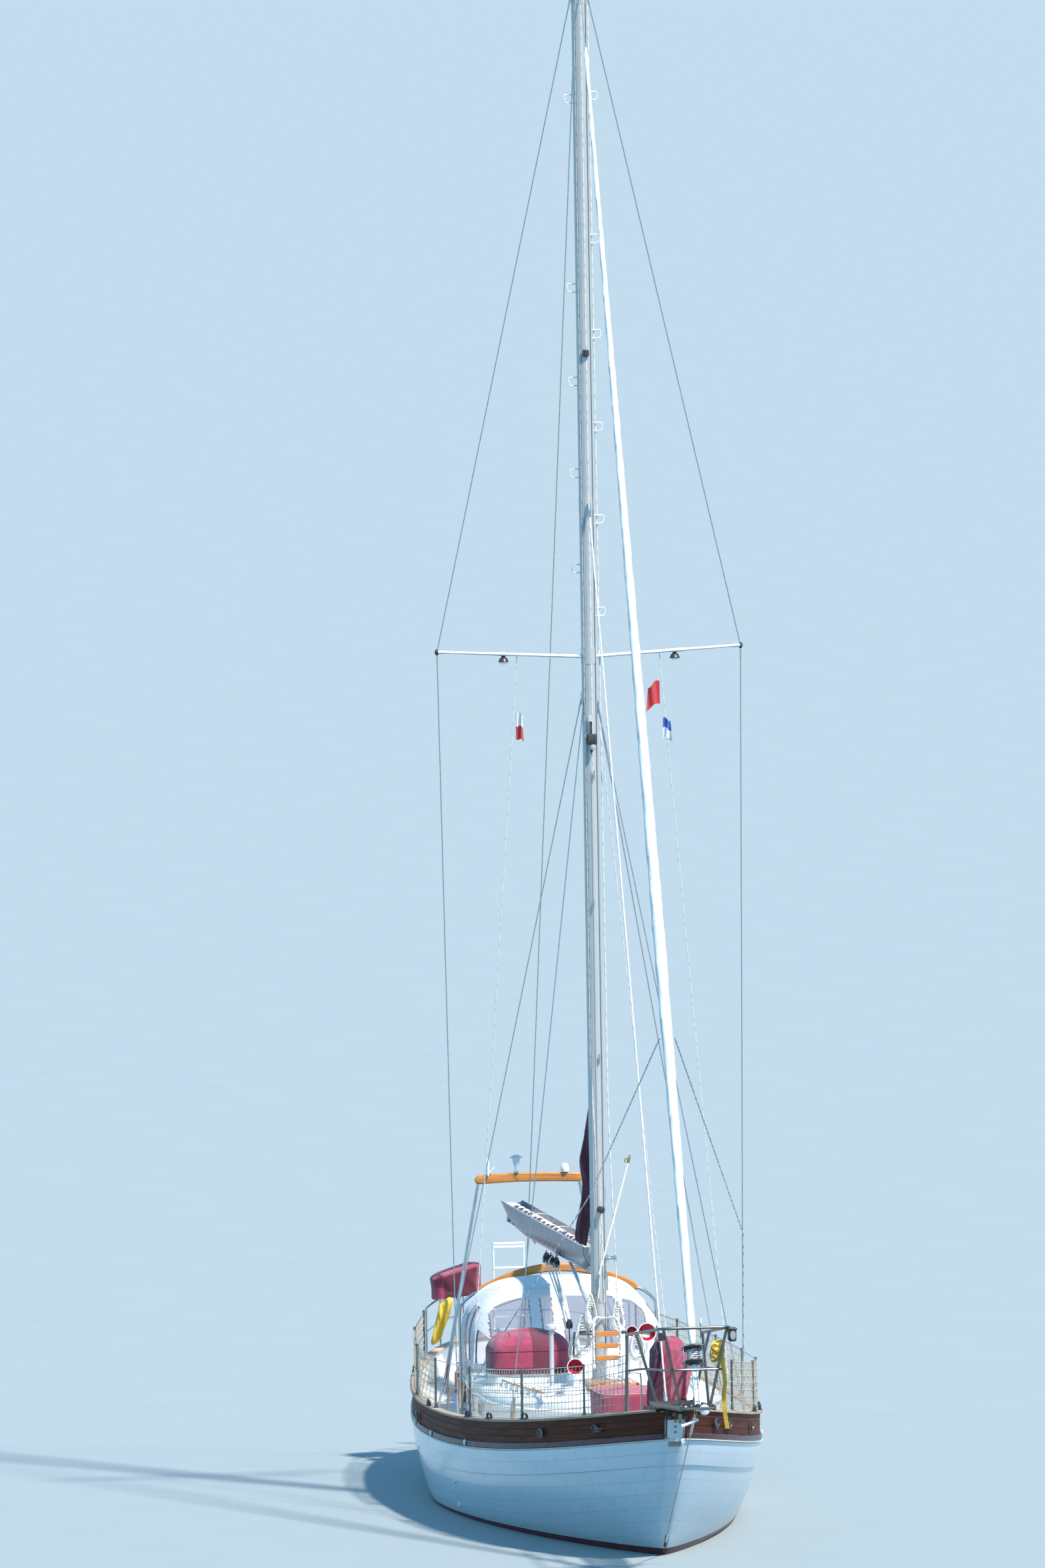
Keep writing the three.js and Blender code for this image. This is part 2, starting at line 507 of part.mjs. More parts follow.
for (const [, sign] of sides) {
  for (const { foot, top } of PULPIT_POSTS) {
    const base = (foot[0] < PLATFORM.aft ? capTop(foot[0]) : platformTop(foot[0])) - 14;
    const head = v(top[0], sign * top[1], pulpitTop(top[0]) + 3);
    pulpitParts.push(bar(v(foot[0], sign * foot[1], base), head, PULPIT.tube - 1, 7));
  }
}
piece('pulpit', shapeOf(cut(join(pulpitParts), [...capBodies, platformSlot])), 'steel');

const RAILING = { high: 560, mid: 285, post: 13, wire: 5, inset: 30 };
const STANCHIONS = [4700, 3300, 1600, -100, -1700, -3200, -4400];
const railSide = (x, sign) => sign * (halfBreadth(RAIL_LEVEL, x) - RAILING.inset);
for (const [side, sign] of sides) {
  const parts = [];
  STANCHIONS.forEach((x) => {
    const y = railSide(x, sign);
    parts.push(bar(v(x, y, capTop(x) - 10), v(x, y, capTop(x) + RAILING.high), RAILING.post, 6));
  });
  for (let i = 0; i + 1 < STANCHIONS.length; i += 1) {
    const [fore, aft] = [STANCHIONS[i], STANCHIONS[i + 1]];
    for (const high of [RAILING.high - 12, RAILING.mid]) {
      const [from, to] = [fore, aft].map((x) => v(x, railSide(x, sign), capTop(x) + high));
      parts.push(bar(from, to, RAILING.wire, 5));
    }
  }
  piece(`guardrail_${side}`, shapeOf(cut(join(parts), capBodies)), 'steel');
}

// Stern rail round the canoe stern.
const pushpitCurve = (up) => {
  const points = [];
  for (let i = 0; i <= 12; i += 1) {
    const turn = (i / 12) * Math.PI;
    const x = -4560 - 1230 * Math.sin(turn);
    const y = (halfBreadth(RAIL_LEVEL, -4560) - RAILING.inset) * Math.cos(turn);
    const inside = Math.min(Math.abs(y), halfBreadth(RAIL_LEVEL, x) - RAILING.inset) * Math.sign(y || 1);
    points.push(v(x, inside, capTop(x) + up));
  }
  return points;
};
const pushpitPoints = pushpitCurve(RAILING.high);
const pushpitParts = [tube(pushpitPoints, 13, 22, 6), tube(pushpitCurve(RAILING.mid), 10, 22, 5)];
for (const i of [0, 2, 4, 8, 10, 12]) {
  const top = pushpitPoints[i];
  pushpitParts.push(bar(v(top.x, top.y, capTop(top.x) - 10), top, 13, 6));
}
piece('pushpit', shapeOf(cut(join(pushpitParts), capBodies)), 'steel');

// Mast, spreaders and standing rigging.
const mastOutline = Array.from({ length: 16 }, (_, i) => {
  const turn = (i / 16) * 2 * Math.PI;
  return [MAST.x + MAST.along / 2 * Math.cos(turn), MAST.across / 2 * Math.sin(turn)];
});
const mastFoot = onHouse(MAST.x, 0);
const lug = (z, fore, aft, half) => cut(box([aft, -half, z], [fore, half, z + GOOSENECK.lug]), [
  bar(v(GOOSENECK.x, 0, z - 5), v(GOOSENECK.x, 0, z + 30), GOOSENECK.pin + 1.2, 16),
]);
const mastBody = cut(join([
  slab(mastOutline, mastFoot - 60, MAST.top),
  box([MAST.x - 190, -35, MAST.top - 60], [MAST.x + 200, 35, MAST.top + 10]),
  lug(GOOSENECK.low - GOOSENECK.lug, MAST.x - 60, GOOSENECK.x - 30, 32),
  lug(GOOSENECK.high, MAST.x - 60, GOOSENECK.x - 30, 32),
  lug(VANG.foot - 66, MAST.x - 60, GOOSENECK.x - 30, 32),
]), [houseLid]);
piece('mast', shapeOf(mastBody), 'spar');

const INNER_STAY = [v(MAST.x + 140, 0, 11400), v(5390, 0, onDeck(5390, 0) + 40)];
// A wire between two points, with a bottle screw at its foot.
const SCREW = { long: 330, radius: 13, taper: 25 };
const wireTo = (head, foot, screwed = true) => {
  const way = head.clone().sub(foot);
  const long = way.length();
  const screw = [[SCREW.radius, 0], [SCREW.radius, SCREW.long], [WIRE, SCREW.long + SCREW.taper]];
  return turned([[0, 0], ...(screwed ? screw : [[WIRE, 0]]), [WIRE, long], [0, long]], foot, way.normalize(), 8);
};
const rig = (name, body) => piece(name, shapeOf(body), 'wire');
const CHAINPLATE_IN = 120;                   // from the rail's outer edge
const SHROUD_IN = 91;                        // at the mast
const SHROUD_CLEAR = 8;                      // beyond the spreader's tip
for (const [side, sign] of sides) {
  const from = v(MAST.x, sign * (MAST.across / 2 + 1), SPREADER.root);
  const to = v(MAST.x, sign * SPREADER.reach, SPREADER.tip);
  const spreader = bar(from, to, 0.5, 10);
  const shape = shapeOf(spreader);
  shape.translate(-MAST.x, 0, 0).scale(SPREADER.chord, 1, 1).translate(MAST.x, 0, 0);
  const lean = (to.z - from.z) / (to.y - from.y);
  const p = shape.attributes.position;
  for (let i = 0; i < p.count; i += 1) {
    const middle = from.z + (p.getY(i) - from.y) * lean;
    p.setZ(i, middle + (p.getZ(i) - middle) * SPREADER.thick);
  }
  piece(`spreader_${side}`, shapeOf(outward(shape)), 'spar');

  const foot = (x) => {
    const y = halfBreadth(RAIL_LEVEL, x) - CHAINPLATE_IN;
    return v(x, sign * y, onDeck(x, y) + DECK.thick + 6);
  };
  const tip = v(MAST.x, sign * (SPREADER.reach + WIRE + SHROUD_CLEAR), SPREADER.tip);
  rig(`cap_shroud_${side}`, join([
    wireTo(v(MAST.x, sign * SHROUD_IN, MAST.top - 200), tip, false), wireTo(tip, foot(MAST.x)),
    bar(tip.clone().add(v(0, 0, -30)), tip.clone().add(v(0, 0, 30)), WIRE + 3, 10),
  ]));
  rig(`aft_lower_${side}`, wireTo(v(MAST.x - 60, sign * (SHROUD_IN - 6), 9200), foot(-750)));
  rig(`fore_lower_${side}`, wireTo(v(MAST.x + 60, sign * (SHROUD_IN - 6), 9100), foot(2650)));
}
rig('backstay', wireTo(v(MAST.x - 200, 0, MAST.top - 40), v(-5000, 0, onDeck(-5000, 0) + 40)));
rig('inner_forestay', wireTo(...INNER_STAY));
rig('bobstay', wireTo(v(7200, 0, platformTop(7200) - 75), v(5045, 0, 150)));
rig('forestay', wireTo(STAY_HEAD, STAY_TACK, false));

// Furled headsail and its drum, both turning about the forestay.
const stayLine = STAY_HEAD.clone().sub(STAY_TACK).normalize();
const ROLL = [
  { s: 660, r: 30 }, { s: 800, r: 42 }, { s: 2400, r: 52 }, { s: 5200, r: 67 }, { s: 8100, r: 54 },
  { s: 11300, r: 38 }, { s: 14500, r: 24 }, { s: 15850, r: 18 },
];
const ROLL_BORE = WIRE + 6;
const rollProfile = [...ROLL.map(({ s, r }) => [r, s]), [ROLL_BORE, 15850], [ROLL_BORE, 660], [30, 660]];
piece('furled_headsail', shapeOf(turned(rollProfile, STAY_TACK, stayLine, 12)), 'sail');
piece('furler_drum', shapeOf(turned([
  [DRUM.flange, DRUM.low], [DRUM.flange, DRUM.low + 14], [DRUM.core, DRUM.low + 22], [DRUM.core, DRUM.high - 22],
  [DRUM.flange, DRUM.high - 14], [DRUM.flange, DRUM.high], [28, DRUM.high + 34],
  [ROLL_BORE, DRUM.high + 34], [ROLL_BORE, DRUM.low], [DRUM.flange, DRUM.low],
], STAY_TACK, stayLine, 18)), 'black');

// Boom: an open trough with the flaked mainsail in it, and its strut.
const boomGroup = new THREE.Group();
boomGroup.position.set(GOOSENECK.x, 0, 0);
boomGroup.rotation.z = THREE.MathUtils.degToRad(BOOM.swing);
boat.add(boomGroup);
const BOOM_TOP = 2960;
const half = BOOM.width / 2;
const troughOuter = [[-half, 0], [-BOOM.foot / 2 - 20, -BOOM.deep + 60], [-BOOM.foot / 2 + 12, -BOOM.deep + 12],
  [0, -BOOM.deep], [BOOM.foot / 2 - 12, -BOOM.deep + 12], [BOOM.foot / 2 + 20, -BOOM.deep + 60], [half, 0]];
const troughInner = troughOuter.map(([y, z]) => (
  [y * (1 - 2 * BOOM.wall / BOOM.width), z + (z < -10 ? BOOM.wall * 1.6 : 20)]));
const tilt = (body) => {
  const shape = shapeOf(body);
  shape.rotateY(THREE.MathUtils.degToRad(BOOM.lift));
  shape.translate(0, 0, BOOM_TOP);
  return solid(shape);
};
const boomEnd = -BOOM.long;
const sideLine = [[-60, 20], [-60, -190], [-330, -BOOM.deep - 1], [boomEnd + 900, -BOOM.deep - 1],
  [boomEnd + 420, -BOOM.deep + 55], [boomEnd + 150, -BOOM.deep + 130], [boomEnd + 35, -110], [boomEnd, 20]];
const hollowLine = [[-120, 60], [-140, -120], [-380, -BOOM.deep + 14], [boomEnd + 900, -BOOM.deep + 14],
  [boomEnd + 430, -BOOM.deep + 72], [boomEnd + 165, -BOOM.deep + 145], [boomEnd + 50, -105], [boomEnd + 16, 60]];
const long = (outline) => slab(outline, boomEnd - 50, 50, 'x');
const wideSlab = (outline) => slab(outline, -300, 300, 'y');
const boomOuter = long(troughOuter).intersect(wideSlab(sideLine));
const trough = cut(boomOuter, [long(troughInner).intersect(wideSlab(hollowLine))]);
const toggle = join([
  box([-75, -24, GOOSENECK.low + 8], [22, 24, GOOSENECK.high - 8]),
  bar(v(0, 0, GOOSENECK.low - 12), v(0, 0, GOOSENECK.high + 12), GOOSENECK.pin, 16),
]);
piece('boom', shapeOf(join([tilt(trough), toggle])), 'spar', boomGroup);
const sailOutline = troughInner.map(([y, z]) => [y * 0.89, Math.min(z + 9, -20)]);
const sailSide = hollowLine.map(([x, z]) => [THREE.MathUtils.clamp(x, boomEnd + 40, -180), Math.min(z + 9, -14)]);
piece('flaked_mainsail', shapeOf(tilt(long(sailOutline).intersect(wideSlab(sailSide)))), 'sail', boomGroup);
const vangTop = BOOM_TOP + VANG.along * Math.sin(THREE.MathUtils.degToRad(BOOM.lift)) - BOOM.deep;
const boomWhole = raised(tilt(boomOuter), -GAP);
piece('boom_strut', shapeOf(cut(join([
  bar(v(0, 0, VANG.foot), v(-VANG.along, 0, vangTop + 20), VANG.radius, 10),
  bar(v(0, 0, VANG.foot), v(0, 0, VANG.foot - 72), GOOSENECK.pin, 16),
]), [boomWhole])), 'spar', boomGroup);

// Luff cover on the mast's aft side, above the boom.
piece('luff_cover', shapeOf(slab([
  [MAST.x - 136, 3020], [MAST.x - 300, 3020], [MAST.x - 330, 3250], [MAST.x - 230, 3900], [MAST.x - 160, 4420],
  [MAST.x - 136, 4450],
], -95, 60, 'y')), 'burgundy');

// Boom gallows and stern arch.
const GALLOWS = { x: -2300, half: 930, end: 2300, crown: 260, deep: 100, thick: 55, foot: 1140 };
const archLine = (drop) => Array.from({ length: 13 }, (_, i) => {
  const y = mix(-GALLOWS.half, GALLOWS.half, i / 12);
  return [y, GALLOWS.end + GALLOWS.crown * (1 - (y / GALLOWS.half) ** 2) - drop];
});
piece('gallows_arch', shapeOf(slab([...archLine(0), ...archLine(GALLOWS.deep).reverse()],
  GALLOWS.x - GALLOWS.thick / 2, GALLOWS.x + GALLOWS.thick / 2, 'x')), 'varnish');
for (const [side, sign] of sides) {
  const deckZ = onDeck(GALLOWS.x, GALLOWS.foot) + DECK.thick + 3;
  piece(`gallows_leg_${side}`, shapeOf(cut(tube([
    v(GALLOWS.x, sign * (GALLOWS.half + 16), GALLOWS.end - 62),
    v(GALLOWS.x, sign * (GALLOWS.half + 90), GALLOWS.end - 100),
    v(GALLOWS.x, sign * GALLOWS.foot, GALLOWS.end - 260), v(GALLOWS.x, sign * GALLOWS.foot, 1500),
    v(GALLOWS.x, sign * GALLOWS.foot, deckZ),
  ], 18, 14, 6), [standsOnDeck])), 'steel');
}
const ARCH = { x: -4330, half: 635, top: 3430, deep: 110, thick: 60, foot: 1030 };
piece('stern_arch_beam', shapeOf(slab([
  [-ARCH.half, ARCH.top - 22], [-ARCH.half + 30, ARCH.top], [ARCH.half - 30, ARCH.top], [ARCH.half, ARCH.top - 22],
  [ARCH.half, ARCH.top - ARCH.deep], [-ARCH.half, ARCH.top - ARCH.deep],
], ARCH.x - ARCH.thick / 2, ARCH.x + ARCH.thick / 2, 'x')), 'varnish');
for (const [side, sign] of sides) {
  piece(`stern_arch_leg_${side}`, shapeOf(cut(bar(
    v(ARCH.x, sign * (ARCH.half - 40), ARCH.top - ARCH.deep - 6),
    v(ARCH.x, sign * ARCH.foot, onDeck(ARCH.x, ARCH.foot)), 19, 8,
  ), [standsOnDeck, box([-5000, -2000, ARCH.top - ARCH.deep - GAP], [-3500, 2000, 4000])])), 'steel');
}

// Stern boarding ladder, folded up.
const LADDER = { x: -5975, hinge: 1440, top: 2470, half: 180, tube: 12, rung: 17, pin: 8 };
const ladderParts = [];
for (const sign of [1, -1]) {
  const y = sign * LADDER.half;
  ladderParts.push(bar(v(0, y, 0), v(0, y, LADDER.top - LADDER.hinge), LADDER.tube, 6));
}
for (let i = 0; i < 5; i += 1) {
  const z = 150 + i * 215;
  ladderParts.push(bar(v(0, -LADDER.half - 10, z), v(0, LADDER.half + 10, z), LADDER.rung, 6));
}
ladderParts.push(bar(v(0, -LADDER.half, 0), v(0, LADDER.half, 0), LADDER.pin, 12));
piece('boarding_ladder', shapeOf(join(ladderParts)), 'hull_white').position.set(LADDER.x, 0, LADDER.hinge);
const bracketSide = LADDER.half - LADDER.tube - 8;
const BRACKET = { aft: -5915, fore: -5850, low: LADDER.hinge - 32, plate: 18, lug: 24 };
const bracketParts = [
  box([BRACKET.aft, -bracketSide, BRACKET.low], [BRACKET.fore, bracketSide, BRACKET.low + BRACKET.plate]),
];
for (const sign of [1, -1]) {
  const [inner, outer] = [bracketSide - 20, bracketSide].map((y) => y * sign).sort((a, b) => a - b);
  bracketParts.push(box([LADDER.x - BRACKET.lug, inner, BRACKET.low],
    [BRACKET.fore, outer, LADDER.hinge + BRACKET.lug]));
}
const pinHole = bar(v(LADDER.x, -200, LADDER.hinge), v(LADDER.x, 200, LADDER.hinge), LADDER.pin + 5.5, 16);
piece('ladder_bracket', shapeOf(cut(join(bracketParts), [pinHole])), 'steel');

// Sprayhood, open at its aft end.
const HOOD = [
  { x: -1020, top: 1620, half: 900 }, { x: -1250, top: 1980, half: 1000 }, { x: -1550, top: 2330, half: 1070 },
  { x: -1850, top: 2420, half: 1100 }, { x: -2180, top: 2430, half: 1100 },
];
const hoodSection = ({ x, top, half: wide }, inset) => {
  const low = 1100;
  const points = Array.from({ length: 13 }, (_, i) => {
    const turn = (i / 12) * Math.PI;
    const [c, s] = [Math.cos(turn), Math.sin(turn)];
    return [x, -(wide - inset) * Math.sign(c) * Math.abs(c) ** 0.55, low + (top - low - inset) * s ** 0.62];
  });
  return points;
};
function hoodBody(inset, stretch) {
  const corners = [];
  const sections = HOOD.map((section, i) => {
    const shift = i === 0 ? -inset * 1.2 : (i === HOOD.length - 1 ? -stretch : 0);
    return hoodSection({ ...section, x: section.x + shift }, inset);
  });
  const push = (...points) => points.forEach((q) => corners.push(...q));
  for (let j = 0; j + 1 < sections.length; j += 1) {
    const [a, b] = [sections[j], sections[j + 1]];
    for (let i = 0; i < a.length; i += 1) {
      const next = (i + 1) % a.length;
      push(a[i], a[next], b[next], a[i], b[next], b[i]);
    }
  }
  for (const [section, flip] of [[sections[0], true], [sections[sections.length - 1], false]]) {
    for (let i = 1; i + 1 < section.length; i += 1) {
      if (flip) push(section[0], section[i + 1], section[i]);
      else push(section[0], section[i], section[i + 1]);
    }
  }
  return closed(corners);
}
piece('sprayhood', shapeOf(cut(hoodBody(0, 0), [
  hoodBody(14, 60),
  houseLid,
  box([-3000, -2000, 0], [HOUSE.aft - GAP, 2000, 1190]),
  box([HATCH.aft - 40, -HATCH.half - 62, 1000], [HATCH.fore + 724, HATCH.half + 62, roofPlane + 96]),
])), 'canvas');

// Covers and bags.
const soft = (low, high, round, rise) => {
  const [x, y] = [(low[0] + high[0]) / 2, (low[1] + high[1]) / 2];
  const rows = [[0, 0], [0.55, 0], [0.85, 0.35], [1, 1]];
  const rings = rows.map(([up, pull]) => Array.from({ length: 16 }, (_, i) => {
    const turn = (i + 0.5) / 16 * 2 * Math.PI - Math.PI;
    const [c, s] = [Math.cos(turn), Math.sin(turn)];
    const wide = (high[0] - low[0]) / 2 - pull * round;
    const deep = (high[1] - low[1]) / 2 - pull * round;
    return [x + wide * Math.sign(c) * Math.abs(c) ** 0.5, y + deep * Math.sign(s) * Math.abs(s) ** 0.5,
      mix(low[2], high[2], up)];
  }));
  return stacked(rings, () => rise, 2);
};
const hatchHood = soft([-350, -1180, 1200], [350, -260, 2060], 150, 30);
piece('hatch_hood', shapeOf(cut(hatchHood, [houseLid])), 'burgundy');
const foredeckCover = soft([2720, -480, 900], [3650, 250, 1700], 110, 20);
piece('foredeck_cover', shapeOf(cut(foredeckCover, [standsOnDeck])), 'burgundy');
piece('sail_bag', shapeOf(cut(soft([4560, -300, 1100], [5080, 300, 2400], 170, 20), [
  standsOnDeck, bar(...INNER_STAY, SCREW.radius + 4, 8),
])), 'burgundy');
piece('quarter_cover', shapeOf(soft([-5200, -1090, 1919], [-4740, -470, 2380], 90, 25)), 'burgundy');
piece('rescue_sling', shapeOf(box([-4720, -1122, 1420], [-4560, -912, 1960])), 'yellow');

// Cowl vents: a white tube bent forward, red inside.
const cowl = (name, x, y, foot, high, radius) => {
  const body = cut(join([
    tube([
      v(x, y, foot), v(x, y, foot + high * 0.5), v(x + 30, y, foot + high * 0.82), v(x + 130, y, foot + high),
    ], radius * 0.62, 8, 8),
    turned([
      [0, 0], [radius * 0.62, 0], [radius, 70], [radius, 95], [radius - 8, 95], [radius * 0.55, 12], [0, 12],
    ], v(x + 105, y, foot + high - 6), v(0.995, 0, 0.1).normalize(), 12),
  ]), [houseLid]);
  piece(name, shapeOf(body), 'hull_white');
};
cowl('cowl_vent_fore', 1750, -480, onHouse(1750, -480) - 20, 330, 95);
cowl('cowl_vent_port', 150, 470, onHouse(150, 470) - 20, 520, 75);

export default boat;
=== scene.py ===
"""A long-keeled cutter with a canoe stern, afloat, seen from ahead and to starboard.

Metres, +X to the bow, +Y to port, +Z up. The floor is the water's surface, at z 0.
The script makes the camera and the light, the finishes, and then the boat's pieces
from the keel up. Lengths that the CAD model fixes are repeated from its source.
"""
import math
from collections import namedtuple

import bmesh
import bpy
import numpy as np
from mathutils import Matrix, Vector


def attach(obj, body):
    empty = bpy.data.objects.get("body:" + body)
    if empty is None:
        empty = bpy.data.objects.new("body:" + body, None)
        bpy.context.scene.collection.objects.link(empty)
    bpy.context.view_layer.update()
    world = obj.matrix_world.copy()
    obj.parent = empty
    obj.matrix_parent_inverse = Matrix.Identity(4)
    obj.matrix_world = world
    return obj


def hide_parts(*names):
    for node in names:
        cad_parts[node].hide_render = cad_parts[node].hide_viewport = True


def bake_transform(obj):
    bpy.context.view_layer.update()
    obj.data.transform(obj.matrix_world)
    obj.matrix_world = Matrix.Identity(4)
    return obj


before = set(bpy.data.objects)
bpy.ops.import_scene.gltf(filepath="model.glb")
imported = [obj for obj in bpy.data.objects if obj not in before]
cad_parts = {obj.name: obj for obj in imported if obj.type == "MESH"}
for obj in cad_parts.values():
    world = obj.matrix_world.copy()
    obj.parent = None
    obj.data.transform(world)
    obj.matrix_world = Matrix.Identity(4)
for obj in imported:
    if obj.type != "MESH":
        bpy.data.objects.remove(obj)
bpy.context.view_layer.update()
scene = bpy.context.scene

SIDES = (("port", 1), ("starboard", -1))


# Camera, floor and light.

CAMERA = Vector((160.804, -25.642, 18.353))
CAMERA_AIM = Vector((0.7, -0.77985, 8.26076))
CAMERA_ROLL = math.radians(-0.908)
LENS = 331.74                     # millimetres, on a 36 mm sensor
FLOOR_REACH = 8000
SUN_FROM = Vector((0.44, 0.33, 0.83))


def make_camera():
    """A very long lens, far off the bow and a little above the deck."""
    camera = bpy.data.objects.new("camera", bpy.data.cameras.new("camera"))
    camera.data.lens, camera.data.sensor_width = LENS, 36
    camera.data.clip_start, camera.data.clip_end = 1, 2 * FLOOR_REACH
    look = (CAMERA_AIM - CAMERA).to_track_quat("-Z", "Y").to_matrix()
    camera.matrix_world = (Matrix.Translation(CAMERA) @ look.to_4x4()
                           @ Matrix.Rotation(CAMERA_ROLL, 4, "Z"))
    scene.collection.objects.link(camera)
    scene.camera = camera


def make_floor(paint):
    """A plain pale floor at the waterline."""
    mesh = bpy.data.meshes.new("floor")
    r = FLOOR_REACH
    mesh.from_pydata([(-r, -r, 0), (r, -r, 0), (r, r, 0), (-r, r, 0)], [], [(0, 1, 2, 3)])
    mesh.materials.append(paint)
    floor = bpy.data.objects.new("floor", mesh)
    scene.collection.objects.link(floor)


def make_light():
    """A soft high key from the port bow, and a pale cool surround."""
    lamp = bpy.data.lights.new("key", "SUN")
    lamp.energy, lamp.angle, lamp.color = 6.4, math.radians(3), (1.0, 0.955, 0.89)
    key = bpy.data.objects.new("key", lamp)
    key.rotation_euler = SUN_FROM.to_track_quat("Z", "Y").to_euler()
    scene.collection.objects.link(key)
    world = bpy.data.worlds.new("surround")
    scene.world = world
    world.use_nodes = True
    tree = world.node_tree
    sky = tree.nodes["Background"]
    place = add(tree, "TexCoord")
    height = add(tree, "SeparateXYZ", {"Vector": place.outputs["Generated"]})
    tint = ramp(tree, height.outputs["Z"], (0.0, (0.36, 0.74, 1.0)), (0.35, (0.27, 0.64, 1.0)),
                (1.0, (0.22, 0.54, 1.0)))
    seen = add(tree, "LightPath").outputs["Is Camera Ray"]
    tree.links.new(mixed(tree, seen, tint, (0.60, 0.72, 0.84)), sky.inputs["Color"])
    sky.inputs["Strength"].default_value = 1.0
    scene.view_settings.view_transform = "Standard"


# Shader building blocks.

def fill(tree, socket, value):
    """Link an input to another node's output, or set it."""
    if isinstance(value, bpy.types.NodeSocket):
        tree.links.new(value, socket)
    else:
        socket.default_value = value


def add(tree, kind, inputs=None, prefix="ShaderNode", **settings):
    """A new node, with its settings, and its inputs filled or linked by name."""
    node = tree.nodes.new(prefix + kind)
    for key, value in settings.items():
        setattr(node, key, value)
    for key, value in (inputs or {}).items():
        fill(tree, node.inputs[key], value)
    return node


def calc(tree, operation, *terms):
    """A sum on numbers that vary over the surface."""
    return add(tree, "Math", dict(enumerate(terms)), operation=operation).outputs[0]


def colour(value):
    """A colour with its alpha."""
    return (*value, 1.0)


def ramp(tree, factor, *stops):
    """Colours along a scale from 0 to 1; each stop is a place and a colour or a grey."""
    node = add(tree, "ValToRGB", {"Fac": factor})
    marks = node.color_ramp.elements
    while len(marks) < len(stops):
        marks.new(0.5)
    for mark, (place, value) in zip(marks, stops):
        mark.position = place
        mark.color = colour(value if hasattr(value, "__len__") else (value,) * 3)
    return node.outputs["Color"]


def mixed(tree, factor, first, second, blend="MIX"):
    """One colour laid over another by a mask."""
    node = add(tree, "Mix", data_type="RGBA", blend_type=blend)
    for index, value in ((0, factor), (6, first), (7, second)):
        if isinstance(value, bpy.types.NodeSocket):
            tree.links.new(value, node.inputs[index])
        else:
            node.inputs[index].default_value = colour(value) if index else value
    return node.outputs[2]


def between(tree, value, low, high, to_low=0.0, to_high=1.0):
    """A number brought from one range into another, held at its ends."""
    return add(tree, "MapRange", {"Value": value, "From Min": low, "From Max": high,
                                  "To Min": to_low, "To Max": to_high}).outputs["Result"]


def group(name, inputs, outputs):
    """An empty shader group with named sockets, and its two ends."""
    tree = bpy.data.node_groups.new(name, "ShaderNodeTree")
    for label, value in inputs.items():
        kind = "NodeSocketVector" if value is None else "NodeSocketFloat"
        socket = tree.interface.new_socket(label, in_out="INPUT", socket_type=kind)
        if value is not None:
            socket.default_value = value
    for label in outputs:
        tree.interface.new_socket(label, in_out="OUTPUT", socket_type="NodeSocketFloat")
    return tree, tree.nodes.new("NodeGroupInput").outputs, tree.nodes.new("NodeGroupOutput").inputs


def use(tree, effect, **inputs):
    """A group placed in a material, with its inputs filled by name."""
    node = tree.nodes.new("ShaderNodeGroup")
    node.node_tree = effect
    for label, value in inputs.items():
        fill(tree, node.inputs[label.replace("_", " ")], value)
    return node.outputs


def make_grain():
    """Wood grain that runs along X: long streaks and fine pores."""
    tree, given, out = group("wood grain", {"Vector": None, "Scale": 1.0}, ["Shade", "Height"])
    stretch = add(tree, "Mapping", {"Vector": given["Vector"], "Scale": (1.0, 16.0, 16.0)})
    scaled = add(tree, "VectorMath", {0: stretch.outputs[0], 3: given["Scale"]}, operation="SCALE")
    broad = add(tree, "TexNoise", {"Vector": scaled.outputs[0], "Scale": 1.6, "Detail": 5.0,
                                   "Distortion": 0.8})
    fine = add(tree, "TexNoise", {"Vector": scaled.outputs[0], "Scale": 9.0, "Detail": 3.0})
    shade = calc(tree, "ADD", calc(tree, "MULTIPLY", broad.outputs["Fac"], 0.65),
                 calc(tree, "MULTIPLY", fine.outputs["Fac"], 0.35))
    tree.links.new(between(tree, shade, 0.34, 0.66), out["Shade"])
    tree.links.new(fine.outputs["Fac"], out["Height"])
    return tree


def make_boards():
    """Boards along X: the gaps between them, and a tone of its own for each."""
    tree, given, out = group("boards", {"Vector": None, "Width": 0.1, "Length": 2.0, "Gap": 0.003},
                             ["Seam", "Tone"])
    place = add(tree, "SeparateXYZ", {"Vector": given["Vector"]})
    row = calc(tree, "DIVIDE", place.outputs["Y"], given["Width"])
    index = calc(tree, "FLOOR", row)
    shift = calc(tree, "MULTIPLY", index, 0.37)
    run = calc(tree, "ADD", calc(tree, "DIVIDE", place.outputs["X"], given["Length"]), shift)
    seams = []
    for value, size in ((row, given["Width"]), (run, given["Length"])):
        near = calc(tree, "PINGPONG", value, 0.5)
        seams.append(calc(tree, "LESS_THAN", calc(tree, "MULTIPLY", near, size),
                          calc(tree, "MULTIPLY", given["Gap"], 0.5)))
    tree.links.new(calc(tree, "MAXIMUM", *seams), out["Seam"])
    board = add(tree, "CombineXYZ", {"X": index, "Y": calc(tree, "FLOOR", run)})
    tone = add(tree, "TexWhiteNoise", {"Vector": board.outputs[0]}, noise_dimensions="3D")
    tree.links.new(tone.outputs["Value"], out["Tone"])
    return tree


